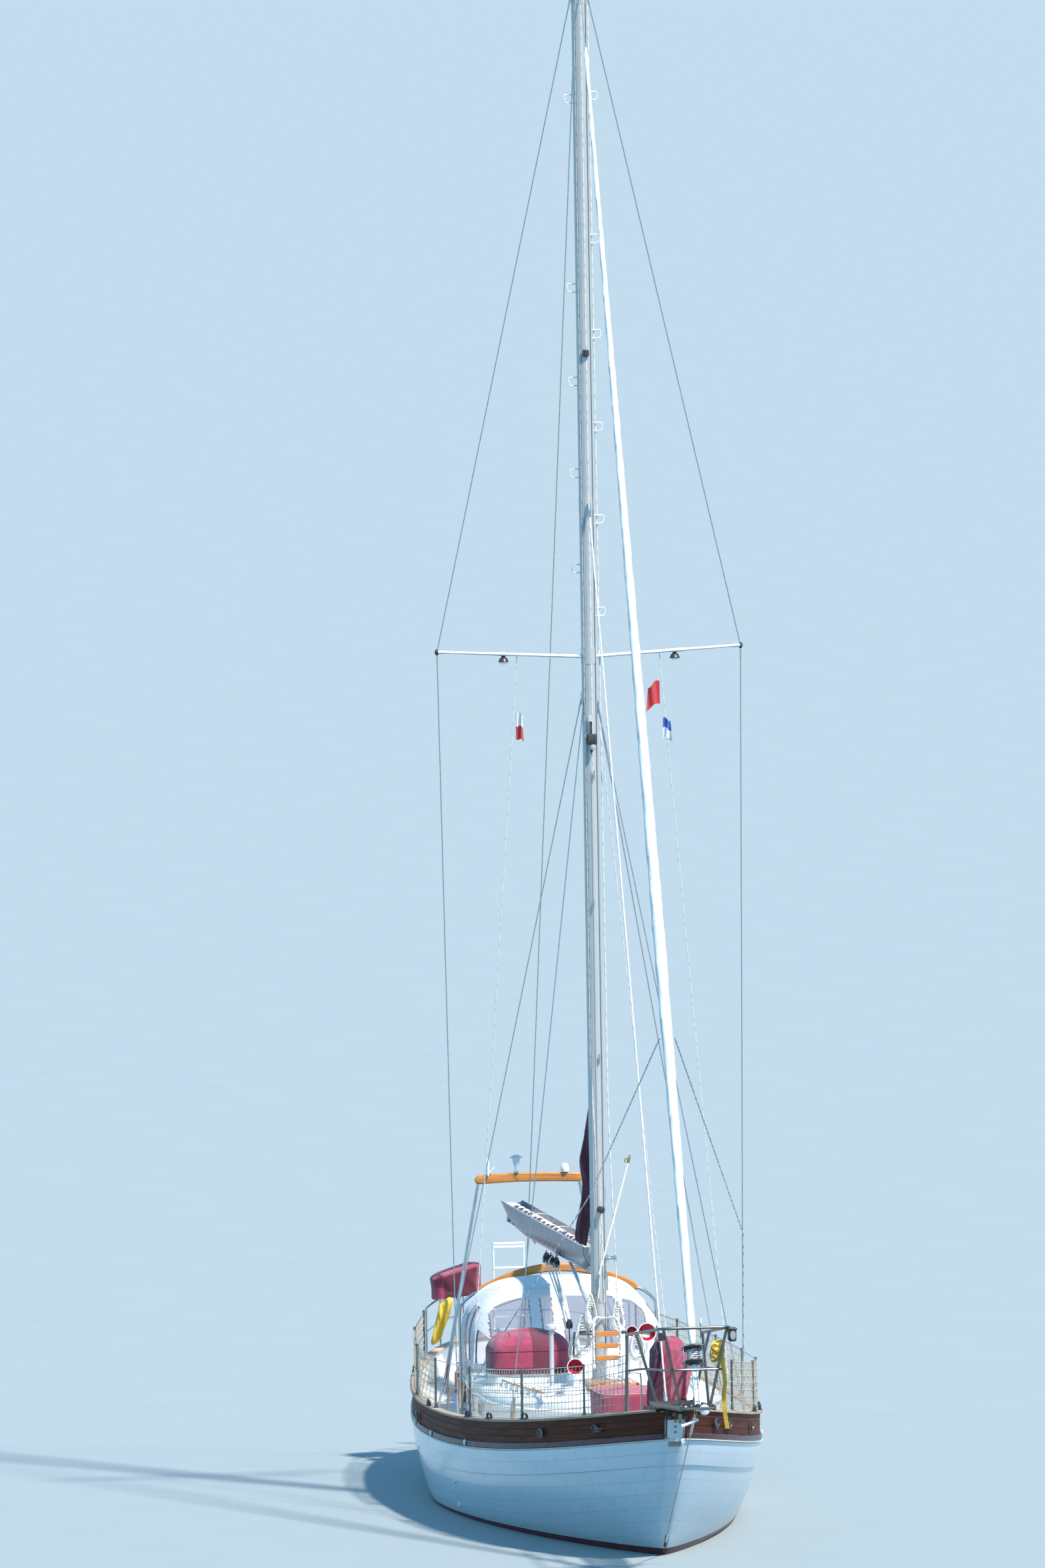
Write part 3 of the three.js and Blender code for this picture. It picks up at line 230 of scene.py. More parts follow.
def make_weather():
    """Patches, and streaks that run down Z."""
    tree, given, out = group("weather", {"Vector": None, "Scale": 1.0}, ["Patch", "Streak"])
    scaled = add(tree, "VectorMath", {0: given["Vector"], 3: given["Scale"]}, operation="SCALE")
    patch = add(tree, "TexNoise", {"Vector": scaled.outputs[0], "Scale": 2.2, "Detail": 6.0,
                                   "Roughness": 0.6})
    tree.links.new(between(tree, patch.outputs["Fac"], 0.38, 0.66), out["Patch"])
    down = add(tree, "Mapping", {"Vector": scaled.outputs[0], "Scale": (9.0, 9.0, 0.7)})
    streak = add(tree, "TexNoise", {"Vector": down.outputs[0], "Scale": 1.3, "Detail": 4.0})
    tree.links.new(between(tree, streak.outputs["Fac"], 0.5, 0.74), out["Streak"])
    return tree


def make_weave():
    """Cloth: two crossing sets of threads, and slow creases."""
    tree, given, out = group("weave", {"Vector": None, "Threads": 450.0}, ["Thread", "Crease"])
    threads = []
    for way in ("X", "Y", "Z"):
        bands = add(tree, "TexWave", {"Vector": given["Vector"], "Scale": given["Threads"]},
                    bands_direction=way)
        threads.append(bands.outputs["Fac"])
    thread = calc(tree, "MULTIPLY", calc(tree, "MAXIMUM", *threads[:2]), threads[2])
    tree.links.new(thread, out["Thread"])
    slow = add(tree, "TexNoise", {"Vector": given["Vector"], "Scale": 7.0, "Detail": 3.0,
                                  "Distortion": 1.4})
    tree.links.new(slow.outputs["Fac"], out["Crease"])
    return tree


def make_twist():
    """Strands laid round a line: the map's X runs along it and its Y round it."""
    tree, given, out = group("laid strands", {"Vector": None, "Pitch": 0.04, "Girth": 0.03,
                                              "Strands": 3.0}, ["Height", "Fleck"])
    place = add(tree, "SeparateXYZ", {"Vector": given["Vector"]})
    turns = calc(tree, "ADD", calc(tree, "DIVIDE", place.outputs["X"], given["Pitch"]),
                 calc(tree, "MULTIPLY", calc(tree, "DIVIDE", place.outputs["Y"], given["Girth"]),
                      given["Strands"]))
    tree.links.new(calc(tree, "PINGPONG", turns, 0.5), out["Height"])
    strand = calc(tree, "FLOOR", turns)
    tree.links.new(calc(tree, "FRACT", calc(tree, "MULTIPLY", strand, 0.618)), out["Fleck"])
    return tree


def make_brushed():
    """Fine lines along Z, and smears, on polished metal."""
    tree, given, out = group("brushed metal", {"Vector": None}, ["Line", "Smear"])
    along = add(tree, "Mapping", {"Vector": given["Vector"], "Scale": (90.0, 90.0, 2.5)})
    line = add(tree, "TexNoise", {"Vector": along.outputs[0], "Scale": 3.0, "Detail": 2.0})
    tree.links.new(line.outputs["Fac"], out["Line"])
    smear = add(tree, "TexNoise", {"Vector": given["Vector"], "Scale": 5.0, "Detail": 5.0})
    tree.links.new(between(tree, smear.outputs["Fac"], 0.35, 0.7), out["Smear"])
    return tree


GRAIN, BOARDS, WEATHER = make_grain(), make_boards(), make_weather()
WEAVE, TWIST, BRUSHED = make_weave(), make_twist(), make_brushed()


class Finish:
    """A material under construction: its tree, its shader and where its pattern lies."""

    def __init__(self, name, base, roughness, mapped=False, **plain):
        self.material = bpy.data.materials.new(name)
        self.material.use_nodes = True
        self.material.diffuse_color = colour(base)
        self.tree = self.material.node_tree
        self.shader = self.tree.nodes["Principled BSDF"]
        self.set("Base Color", colour(base))
        self.set("Roughness", roughness)
        for label, value in plain.items():
            self.set(label.replace("_", " ").title().replace("Ior", "IOR"), value)
        place = add(self.tree, "TexCoord")
        self.place = place.outputs["UV" if mapped else "Object"]
        self.object_place = place.outputs["Object"]

    def set(self, label, value):
        """Fill or link one of the shader's own inputs."""
        fill(self.tree, self.shader.inputs[label], value)
        return self

    def bump(self, height, depth):
        """Raise the surface by a height that varies from 0 to 1."""
        node = add(self.tree, "Bump", {"Height": height, "Distance": depth, "Strength": 1.0})
        return self.set("Normal", node.outputs[0])

    def wear(self, base, dirt, amount, scale=1.0, streaks=0.0):
        """A colour with patches and streaks of dirt on it."""
        mask = use(self.tree, WEATHER, Vector=self.object_place, Scale=scale)
        spots = calc(self.tree, "MULTIPLY", mask["Patch"], amount)
        if streaks:
            spots = calc(self.tree, "MAXIMUM", spots,
                         calc(self.tree, "MULTIPLY", mask["Streak"], streaks))
        return mixed(self.tree, spots, base, dirt)


def grey(tree, tone):
    """A colour with the same tone in all three channels."""
    return add(tree, "CombineColor", {0: tone, 1: tone, 2: tone}).outputs[0]


def paint(name, base, dirt, roughness=0.3, amount=0.25, scale=1.0, streaks=0.0, **plain):
    """Gloss or matt paint with faint dirt and an uneven polish."""
    f = Finish(name, base, roughness, **plain)
    f.set("Base Color", f.wear(base, dirt, amount, scale, streaks))
    mask = use(f.tree, WEATHER, Vector=f.object_place, Scale=scale * 2.3)
    f.set("Roughness", between(f.tree, mask["Patch"], 0, 1, roughness, min(1, roughness + 0.15)))
    return f.material


def wood(name, dark, light, roughness, boards=None, mapped=False, coat=0.0, bleach=None,
         specular=0.5):
    """Timber with its grain along X or along the map, perhaps in boards."""
    f = Finish(name, light, roughness, mapped, coat_weight=coat, coat_roughness=0.12,
               specular_ior_level=specular)
    grain = use(f.tree, GRAIN, Vector=f.place, Scale=1.0)
    tint = mixed(f.tree, grain["Shade"], dark, light)
    height = grain["Height"]
    if bleach:
        tint = f.wear(tint, bleach, 0.45, 1.6)
    if boards:
        width, length = boards
        plank = use(f.tree, BOARDS, Vector=f.place, Width=width, Length=length, Gap=0.004)
        tone = between(f.tree, plank["Tone"], 0, 1, 0.72, 1.12)
        tint = mixed(f.tree, 1.0, tint, grey(f.tree, tone), "MULTIPLY")
        tint = mixed(f.tree, plank["Seam"], tint, (0.02, 0.015, 0.012))
        height = calc(f.tree, "SUBTRACT", height, calc(f.tree, "MULTIPLY", plank["Seam"], 3.0))
    f.set("Base Color", tint)
    f.set("Roughness", between(f.tree, grain["Shade"], 0, 1, roughness + 0.1, roughness))
    return f.bump(height, 0.0006).material


def metal(name, base, roughness, tarnish, amount=0.4, metallic=1.0, **plain):
    """Polished or anodised metal with fine lines and smears."""
    f = Finish(name, base, roughness, metallic=metallic, **plain)
    marks = use(f.tree, BRUSHED, Vector=f.object_place)
    f.set("Base Color", mixed(f.tree, calc(f.tree, "MULTIPLY", marks["Smear"], amount), base,
                              tarnish))
    f.set("Roughness", between(f.tree, marks["Line"], 0.3, 0.7, roughness, roughness + 0.14))
    return f.bump(marks["Line"], 0.0002).material


def cloth(name, base, faded, threads=450.0, creases=0.004, roughness=0.85, sheen=0.25,
          amount=0.4, **plain):
    """Woven cloth that has faded in patches."""
    f = Finish(name, base, roughness, sheen_weight=sheen, **plain)
    weave = use(f.tree, WEAVE, Vector=f.object_place, Threads=threads)
    tint = f.wear(base, faded, amount, 1.3)
    f.set("Base Color", mixed(f.tree, calc(f.tree, "MULTIPLY", weave["Thread"], 0.10), tint,
                              faded))
    height = calc(f.tree, "ADD", calc(f.tree, "MULTIPLY", weave["Crease"], 1.0),
                  calc(f.tree, "MULTIPLY", weave["Thread"], 0.06))
    return f.bump(height, creases * 4).material


def cordage(name, base, fleck, pitch, girth, strands=3.0, roughness=0.7, depth=0.002, **plain):
    """Rope or wire laid up of strands, on a tube's own map."""
    f = Finish(name, base, roughness, mapped=True, **plain)
    lay = use(f.tree, TWIST, Vector=f.place, Pitch=pitch, Girth=girth, Strands=strands)
    mark = calc(f.tree, "LESS_THAN", lay["Fleck"], 0.22)
    f.set("Base Color", mixed(f.tree, mark, base, fleck))
    return f.bump(lay["Height"], depth).material


def hull_paint():
    """White topsides with faint planks and stains, over a dark red bottom."""
    white, red = (0.76, 0.84, 0.90), (0.085, 0.012, 0.022)
    f = Finish("topsides", white, 0.22, mapped=True, coat_weight=0.35, coat_roughness=0.08)
    plank = use(f.tree, BOARDS, Vector=f.place, Width=0.145, Length=5.5, Gap=0.004)
    tone = between(f.tree, plank["Tone"], 0, 1, 0.965, 1.0)
    tint = f.wear(white, (0.52, 0.53, 0.42), 0.10, 1.4, 0.30)
    tint = mixed(f.tree, 1.0, tint, grey(f.tree, tone), "MULTIPLY")
    tint = mixed(f.tree, calc(f.tree, "MULTIPLY", plank["Seam"], 0.28), tint, (0.38, 0.45, 0.5))
    place = add(f.tree, "SeparateXYZ", {"Vector": f.object_place})
    trim = calc(f.tree, "MULTIPLY", place.outputs["X"], 0.008)
    wobble = use(f.tree, WEATHER, Vector=f.object_place, Scale=2.0)
    line = calc(f.tree, "ADD", calc(f.tree, "SUBTRACT", place.outputs["Z"], trim),
                calc(f.tree, "MULTIPLY", wobble["Patch"], 0.002))
    slime = between(f.tree, line, 0.05, 0.16)
    tint = mixed(f.tree, slime, mixed(f.tree, 0.35, tint, (0.40, 0.42, 0.30)), tint)
    above = calc(f.tree, "GREATER_THAN", line, 0.042)
    bottom = mixed(f.tree, wobble["Patch"], red, (0.15, 0.03, 0.035))
    f.set("Base Color", mixed(f.tree, above, bottom, tint))
    f.set("Roughness", between(f.tree, above, 0, 1, 0.75, 0.24))
    return f.bump(calc(f.tree, "SUBTRACT", 1.0, plank["Seam"]), 0.0015).material


def deck_paint():
    """Matt non-slip paint: fine grit, worn where people walk."""
    f = Finish("deck paint", (0.70, 0.71, 0.70), 0.7)
    grit = add(f.tree, "TexVoronoi", {"Vector": f.place, "Scale": 260.0})
    f.set("Base Color", f.wear((0.70, 0.71, 0.70), (0.50, 0.50, 0.47), 0.5, 1.2))
    return f.bump(grit.outputs["Distance"], 0.0012).material


def window_cloth():
    """Clear sheet let into cloth: it shines, and shows what is behind it, a little dulled."""
    f = Finish("clear sheet", (0.66, 0.64, 0.70), 0.08, transmission_weight=0.86, ior=1.04)
    slow = add(f.tree, "TexNoise", {"Vector": f.place, "Scale": 6.0, "Detail": 2.0})
    return f.bump(slow.outputs["Fac"], 0.01).material


def glass(name, base):
    """A lamp's or a light's lens."""
    f = Finish(name, base, 0.04, transmission_weight=0.6, coat_weight=0.5)
    ribs = add(f.tree, "TexWave", {"Vector": f.place, "Scale": 40.0}, bands_direction="Z")
    return f.bump(ribs.outputs["Fac"], 0.001).material


def floor_paint():
    """A pale matt floor that throws back less light than it shows."""
    f = Finish("pale floor", (0.27, 0.31, 0.32), 0.9)
    path = add(f.tree, "LightPath")
    grit = use(f.tree, WEATHER, Vector=f.object_place, Scale=0.4)
    seen = mixed(f.tree, grit["Patch"], (0.268, 0.308, 0.318), (0.276, 0.316, 0.326))
    f.set("Base Color", mixed(f.tree, path.outputs["Is Diffuse Ray"], seen, (0.07, 0.13, 0.17)))
    return f.material


PAINT = {
    "topsides": hull_paint(),
    "deck": deck_paint(),
    "gelcoat": paint("gelcoat", (0.82, 0.83, 0.84), (0.62, 0.62, 0.58), 0.22, 0.22, 1.5, 0.16,
                     coat_weight=0.4, coat_roughness=0.1),
    "white": paint("white enamel", (0.84, 0.84, 0.83), (0.60, 0.58, 0.52), 0.28, 0.2, 4.0),
    "maroon": paint("maroon enamel", (0.050, 0.012, 0.026), (0.10, 0.04, 0.05), 0.45, 0.4, 3.0,
                    coat_weight=0.3),
    "cream": paint("cream enamel", (0.74, 0.72, 0.60), (0.5, 0.45, 0.35), 0.35, 0.3, 5.0),
    "antifoul": paint("antifouling", (0.10, 0.018, 0.024), (0.19, 0.06, 0.06), 0.75, 0.6, 2.0),
    "red": paint("red enamel", (0.42, 0.012, 0.035), (0.24, 0.01, 0.03), 0.3, 0.4, 6.0),
    "yellow": paint("yellow enamel", (0.80, 0.44, 0.03), (0.6, 0.3, 0.03), 0.45, 0.4, 6.0),
    "black": paint("black fittings", (0.022, 0.023, 0.026), (0.09, 0.09, 0.09), 0.34, 0.5, 8.0),
    "rubber": paint("rubber", (0.03, 0.03, 0.032), (0.10, 0.10, 0.095), 0.7, 0.5, 8.0),
    "engine": paint("engine paint", (0.10, 0.15, 0.12), (0.05, 0.04, 0.03), 0.5, 0.5, 5.0),
    "planks": wood("bulwark planks", (0.055, 0.012, 0.006), (0.16, 0.042, 0.016), 0.55,
                   boards=(0.5, 2.9), mapped=True, specular=0.18, bleach=(0.08, 0.028, 0.018)),
    "cap": wood("weathered cap", (0.30, 0.19, 0.12), (0.52, 0.37, 0.25), 0.6,
                boards=(0.5, 2.4), mapped=True, bleach=(0.58, 0.48, 0.38)),
    "varnish": wood("varnished beam", (0.42, 0.13, 0.022), (0.74, 0.30, 0.055), 0.2,
                    mapped=True, coat=0.7),
    "trim": wood("varnished trim", (0.16, 0.035, 0.018), (0.33, 0.085, 0.035), 0.28,
                 mapped=True, coat=0.5),
    "dark teak": wood("dark teak", (0.035, 0.022, 0.016), (0.075, 0.050, 0.038), 0.7,
                      specular=0.3),
    "teak": wood("scrubbed teak", (0.34, 0.23, 0.14), (0.56, 0.42, 0.27), 0.65, mapped=True),
    "grey teak": wood("weathered teak", (0.19, 0.14, 0.10), (0.36, 0.27, 0.19), 0.7, mapped=True,
                      bleach=(0.40, 0.36, 0.31)),
    "steel": metal("polished steel", (0.62, 0.63, 0.64), 0.16, (0.34, 0.32, 0.29)),
    "dull steel": metal("dulled steel", (0.20, 0.195, 0.18), 0.28, (0.09, 0.08, 0.065), 0.6),
    "spar": metal("anodised spar", (0.55, 0.55, 0.54), 0.42, (0.44, 0.45, 0.45), 0.3, 0.35),
    "bronze": metal("bronze", (0.42, 0.27, 0.10), 0.32, (0.16, 0.16, 0.10), 0.6),
    "sail": cloth("sailcloth", (0.84, 0.84, 0.82), (0.74, 0.72, 0.66), 500.0, 0.002, 0.7, 0.1,
                  0.25),
    "canvas": cloth("white canvas", (0.80, 0.81, 0.83), (0.66, 0.66, 0.66), 450.0, 0.004, 0.8,
                    0.15, 0.3),
    "burgundy": cloth("burgundy canvas", (0.40, 0.026, 0.085), (0.50, 0.070, 0.14), 450.0,
                      0.006, 0.82, 0.35, 0.5),
    # A darker burgundy: the real binding on piping, straps and ties, and also painted shade on
    # parts of the hatch hood and the quarter cover.
    "burgundy for binding and shade": cloth("dark burgundy for binding and painted shade", (0.11, 0.008, 0.028), (0.18, 0.03, 0.055), 450.0,
                           0.002, 0.8, 0.3, 0.5),
    "tan webbing": cloth("tan webbing", (0.45, 0.27, 0.15), (0.56, 0.40, 0.26), 300.0, 0.002, 0.8,
                         0.2, 0.5),
    # Burgundy painted as it looks in shade: the sail bag's starboard side and the whole luff
    # cover.
    "burgundy painted shade": cloth("burgundy in shade", (0.085, 0.006, 0.028), (0.14, 0.012, 0.05), 450.0,
                           0.005, 0.85, 0.3, 0.5),
    "links": metal("polished links", (0.86, 0.86, 0.84), 0.34, (0.66, 0.65, 0.60), 0.4, 0.3),
    "boom spar": metal("boom spar", (0.15, 0.18, 0.24), 0.19, (0.12, 0.14, 0.19), 0.3, 0.6),
    "sail shade": cloth("folded sail in shade", (0.12, 0.08, 0.11), (0.18, 0.13, 0.16), 500.0),
    "flag white": cloth("white flag cloth", (0.80, 0.80, 0.80), (0.66, 0.66, 0.68), 600.0, 0.001),
    "red cloth": cloth("red flag cloth", (0.55, 0.03, 0.04), (0.45, 0.05, 0.06), 600.0, 0.001),
    "blue cloth": cloth("blue flag cloth", (0.03, 0.10, 0.42), (0.06, 0.15, 0.45), 600.0, 0.001),
    "clear": window_cloth(),
    "webbing": cloth("yellow webbing", (0.92, 0.53, 0.02), (0.96, 0.68, 0.16), 260.0, 0.001,
                     0.6, 0.2, 0.3),
    "wire": cordage("stranded wire", (0.46, 0.47, 0.48), (0.30, 0.30, 0.30), 0.02, 0.031, 6.0,
                    0.35, 0.001, metallic=1.0),
    "rope": cordage("white rope", (0.74, 0.73, 0.69), (0.52, 0.50, 0.46), 0.035, 0.038, 3.0,
                    0.85),
    "fleck rope": cordage("flecked rope", (0.72, 0.72, 0.70), (0.10, 0.13, 0.25), 0.03, 0.038,
                          4.0, 0.85),
    "cream cord": cordage("cream cord", (0.66, 0.61, 0.50), (0.48, 0.43, 0.34), 0.03, 0.02, 3.0,
                          0.85, 0.001),
    "dark glass": glass("smoked glass", (0.02, 0.025, 0.03)),
    "lens": glass("clear lens", (0.85, 0.88, 0.9)),
    "floor": floor_paint(),
}


# Mesh building blocks.

def unit(way):
    """The same direction, at length 1."""
    way = np.asarray(way, float)
    return way / np.linalg.norm(way)


def square_to(way):
    """Two directions square to a way and to each other."""
    side = np.cross(way, (0, 0, 1) if abs(way[2]) < 0.9 else (1, 0, 0))
    side = unit(side)
    return side, np.cross(way, side)


def mix(a, b, share):
    """The value that lies a share of the way from a to b."""
    return a + (b - a) * share


def smooth_line(points, steps=8):
    """A curve through points, or through rows of points."""
    points = np.asarray(points, float)
    ends = np.concatenate([2 * points[:1] - points[1:2], points, 2 * points[-1:] - points[-2:-1]])
    out = []
    for a, b, c, d in zip(ends, ends[1:], ends[2:], ends[3:]):
        for t in np.arange(steps) / steps:
            out.append(0.5 * (2 * b + (c - a) * t + (2 * a - 5 * b + 4 * c - d) * t ** 2
                              + (3 * b - a - 3 * c + d) * t ** 3))
    return np.array(out + [points[-1]])


def run_along(points):
    """The distance along a path at each of its points."""
    return np.concatenate([[0], np.cumsum(np.linalg.norm(np.diff(points, axis=0), axis=1))])


def evenly(start, end, count, first=0.0):
    """Places spread evenly over a straight line."""
    start, end = np.array(start, float), np.array(end, float)
    return [mix(start, end, share) for share in np.linspace(first, 1, count)]


def rounded(half_a, half_b, corner, steps=4):
    """A rectangle with round corners, as points (a, b)."""
    points = []
    for quarter, (sa, sb) in enumerate(((1, 1), (-1, 1), (-1, -1), (1, -1))):
        for i in range(steps + 1):
            turn = (quarter + i / steps) * math.pi / 2
            points.append((sa * (half_a - corner) + corner * math.cos(turn),
                           sb * (half_b - corner) + corner * math.sin(turn)))
    return points


class Shape:
    """The parts of one piece: points, faces, each face's paint, and a map along and across."""

    def __init__(self):
        self.points, self.faces, self.paints, self.maps = [], [], [], []

    def add(self, points, faces, paint=0, maps=None):
        first = len(self.points)
        self.points += [tuple(p) for p in points]
        self.faces += [[first + i for i in face] for face in faces]
        self.paints += [paint] * len(faces) if isinstance(paint, int) else list(paint)
        self.maps += maps or [[(0.0, 0.0)] * len(face) for face in faces]
        return self

    def loft(self, rings, paint=0, closed=True, ends=True):
        """Skin over rows of points. Closed rows are rings, and ends closes the first and last."""
        rings = np.asarray(rings, float)
        rows, count = rings.shape[:2]
        steps = np.linalg.norm(np.diff(rings, axis=0), axis=2).mean(1)
        along = np.concatenate([[0], np.cumsum(steps)])
        middle = rings[rows // 2]
        round_it = np.concatenate([middle, middle[:1]])
        across = run_along(round_it)
        faces, maps, paints = [], [], []
        for j in range(rows - 1):
            for i in range(count if closed else count - 1):
                k = (i + 1) % count
                faces.append((j * count + i, j * count + k, (j + 1) * count + k,
                              (j + 1) * count + i))
                maps.append([(along[j], across[i]), (along[j], across[i + 1]),
                             (along[j + 1], across[i + 1]), (along[j + 1], across[i])])
                paints.append(paint(j, i) if callable(paint) else paint)
        if ends and closed:
            for j, order in ((0, -1), (rows - 1, 1)):
                ring = list(range(j * count, (j + 1) * count))[::order]
                faces.append(ring)
                maps.append([(along[j], across[i % count]) for i in ring])
                paints.append(paint(j, 0) if callable(paint) else paint)
        return self.add(rings.reshape(-1, 3), faces, paints, maps)

    def tube(self, path, radius, sides=8, paint=0):
        """A round bar along a path; the radius may vary."""
        path = np.asarray(path, float)
        ways = np.gradient(path, axis=0)
        side = square_to(unit(ways[0]))[0]
        turns = np.arange(sides) / sides * 2 * math.pi
        rings = []
        for p, way, r in zip(path, ways, np.broadcast_to(radius, len(path))):
            way = unit(way)
            side = unit(side - way * np.dot(side, way))
            up = np.cross(way, side)
            rings.append([p + r * (math.cos(t) * side + math.sin(t) * up) for t in turns])
        return self.loft(rings, paint)

    def bar(self, start, end, radius, sides=8, paint=0):
        """A straight round bar."""
        return self.tube([start, mix(np.asarray(start, float), np.asarray(end, float), 0.5), end],
                         radius, sides, paint)

    def lathe(self, profile, foot, way=(0, 0, 1), steps=20, paint=0):
        """A turned form: the profile gives a radius and a distance along the axis."""
        way = unit(way)
        side, up = square_to(way)
        turns = np.arange(steps) / steps * 2 * math.pi
        foot = np.asarray(foot, float)
        rings = [[foot + way * s + r * (math.cos(t) * side + math.sin(t) * up) for t in turns]
                 for r, s in profile]
        return self.loft(rings, paint, ends=False)

    def block(self, low, high, edge=0.004, paint=0):
        """A box with softened edges, with its map along its longest side."""
        low, high = np.minimum(low, high).astype(float), np.maximum(low, high).astype(float)
        size = high - low
        axis = int(np.argmax(size))
        others = [(axis + 1) % 3, (axis + 2) % 3]
        edge = min(edge, size.min() * 0.45)
        middle = (low + high) / 2
        rings = []
        for place, inset in ((low[axis], edge), (low[axis] + edge, 0), (high[axis] - edge, 0),
                             (high[axis], edge)):
            ring = []
            for a, b in rounded(size[others[0]] / 2 - inset, size[others[1]] / 2 - inset,
                                edge, 2):
                point = np.zeros(3)
                point[axis] = place
                point[others[0]], point[others[1]] = middle[others[0]] + a, middle[others[1]] + b
                ring.append(point)
            rings.append(ring)
        return self.loft(rings, paint)

    def board(self, start, end, width, thick, up=(0, 0, 1), edge=0.004, paint=0):
        """A straight board between two points, its width square to 'up'."""
        start, end = np.asarray(start, float), np.asarray(end, float)
        way = unit(end - start)
        across = unit(np.cross(up, way))
        over = np.cross(way, across)
        rings = []
        for place, inset in ((start, edge), (start + way * edge, 0), (end - way * edge, 0),
                             (end, edge)):
            rings.append([place + a * across + b * over
                          for a, b in rounded(width / 2 - inset, thick / 2 - inset, edge, 2)])
        return self.loft(rings, paint)

    def ball(self, centre, radius, steps=14, paint=0, stretch=1.0):
        """A ball, perhaps stretched upward."""
        profile = [(radius * math.sin(t), -radius * stretch * math.cos(t))
                   for t in np.linspace(0, math.pi, steps // 2 + 2)]
        return self.lathe(profile, centre, (0, 0, 1), steps, paint)

    def turn(self, first, matrix):
        """Move the points added since the first one by a matrix."""
        self.points[first:] = [tuple(matrix @ Vector(p)) for p in self.points[first:]]
        return self

    def mesh(self, name, crease=35):
        mesh = bpy.data.meshes.new(name)
        mesh.from_pydata(self.points, [], self.faces)
        layer = mesh.uv_layers.new(name="UVMap")
        layer.data.foreach_set("uv", np.array([c for m in self.maps for c in m], float).ravel())
        mesh.polygons.foreach_set("material_index", self.paints)
        tidy(mesh, crease)
        return mesh

    def place(self, name, body, slot, *paints, replaces=(), crease=35):
        """Make the piece, and say what carries it and what it stands for."""
        return put(self.mesh(name, crease), name, body, slot, paints, replaces)


WELD = 2e-5                       # points closer than this are one


def tidy(mesh, crease):
    """Join doubled points, turn the faces outward, and shade smoothly up to an angle."""
    bm = bmesh.new()
    bm.from_mesh(mesh)
    bmesh.ops.remove_doubles(bm, verts=bm.verts, dist=WELD)
    bmesh.ops.dissolve_degenerate(bm, edges=bm.edges, dist=WELD / 2)
    bmesh.ops.recalc_face_normals(bm, faces=bm.faces)
    bm.to_mesh(mesh)
    bm.free()
    mesh.shade_smooth()
    mesh.set_sharp_from_angle(angle=math.radians(crease))


def put(mesh, name, body, slot, paints, replaces=()):
    """An object for a finished mesh, riding on a body."""
    for label in paints:
        mesh.materials.append(PAINT[label])
    piece = bpy.data.objects.new(name, mesh)
    scene.collection.objects.link(piece)
    if body:
        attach(piece, body)
    if replaces:
        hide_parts(*replaces)
    return piece


def baked(rough, crease, *tools):
    """The mesh that an object's modifiers make of it; the object and its tools go."""
    bpy.context.view_layer.update()
    done = bpy.data.meshes.new_from_object(
        rough.evaluated_get(bpy.context.evaluated_depsgraph_get()))
    for extra in (rough, *tools):
        bpy.data.objects.remove(extra)
    done.shade_smooth()
    done.set_sharp_from_angle(angle=math.radians(crease))
    return done


def carved(shape, cutters, name, body, slot, *paints, replaces=(), crease=35):
    """A piece with the cutters' shapes taken out of it."""
    solid = bpy.data.objects.new(name, shape.mesh(name, crease))
    scene.collection.objects.link(solid)
    tools = []
    for i, cutter in enumerate(cutters):
        tool = bpy.data.objects.new(f"{name}_cutter_{i}", cutter.mesh("cutter"))
        scene.collection.objects.link(tool)
        modifier = solid.modifiers.new("cut", "BOOLEAN")
        modifier.operation, modifier.object, modifier.solver = "DIFFERENCE", tool, "EXACT"
        tools.append(tool)
    done = baked(solid, crease, *tools)
    done.materials.clear()
    return put(done, name, body, slot, paints, replaces)


def box_shape(low, high, edge=0.004):
    """A plain box, mostly to cut with."""
    return Shape().block(low, high, edge)


# The hull's form.

Level = namedtuple("Level", "z share aft fore wide half ap aq fp fq")
LEVELS = [Level(*row) for row in (
    (-1.75, 0.0, -3.72, 0.90, -1.2, 0.095, 2.0, 0.60, 2.0, 0.60),
    (-1.55, 0.0, -3.83, 2.10, -1.1, 0.130, 2.0, 0.60, 2.0, 0.60),
    (-1.35, 0.0, -3.93, 2.85, -1.0, 0.170, 1.8, 0.80, 1.8, 0.80),
    (-1.10, 0.0, -4.05, 3.40, -0.9, 0.340, 1.5, 1.10, 1.5, 1.10),
    (-0.85, 0.0, -4.17, 3.80, -0.8, 0.720, 1.4, 1.20, 1.5, 1.10),
    (-0.60, 0.0, -4.29, 4.11, -0.7, 1.140, 1.5, 1.05, 1.6, 1.00),
    (-0.30, 0.0, -4.64, 4.54, -0.7, 1.490, 1.7, 0.95, 1.7, 0.95),
    (0.00, 0.0, -5.23, 4.905, -0.7, 1.660, 1.8, 0.75, 1.8, 0.90),
    (0.35, 0.3, -5.57, 5.265, -0.8, 1.755, 1.7, 0.58, 2.0, 0.82),
    (0.60, 0.7, -5.73, 5.575, -0.85, 1.790, 1.65, 0.48, 2.1, 0.78),
    (0.83, 1.0, -5.83, 5.79, -0.9, 1.800, 1.6, 0.43, 2.2, 0.75),
    (1.13, 1.0, -5.88, 5.88, -0.9, 1.800, 1.6, 0.42, 2.2, 0.75),
)]
SHEER, RAIL = LEVELS[-2], LEVELS[-1]
SHEER_LOW = -0.9                  # x of the sheer's lowest point
BULWARK_HIGH = RAIL.z - SHEER.z
CAP = 0.032                       # thickness of the cap rail
CAMBER, DECK_THICK = 0.070, 0.018
STERN_HALF = 0.045
STEM_TOP_HALF, STEM_FOOT_HALF = 0.085, 0.030
COLUMNS = 120
SHEER_END, RAIL_END = 5.776, 5.862       # x where both stop, at the stem


def rise(x):
    """How far the sheer has risen from its lowest point."""
    return np.where(np.asarray(x) > SHEER_LOW, 0.0121, 0.0098) * (np.asarray(x) - SHEER_LOW) ** 2


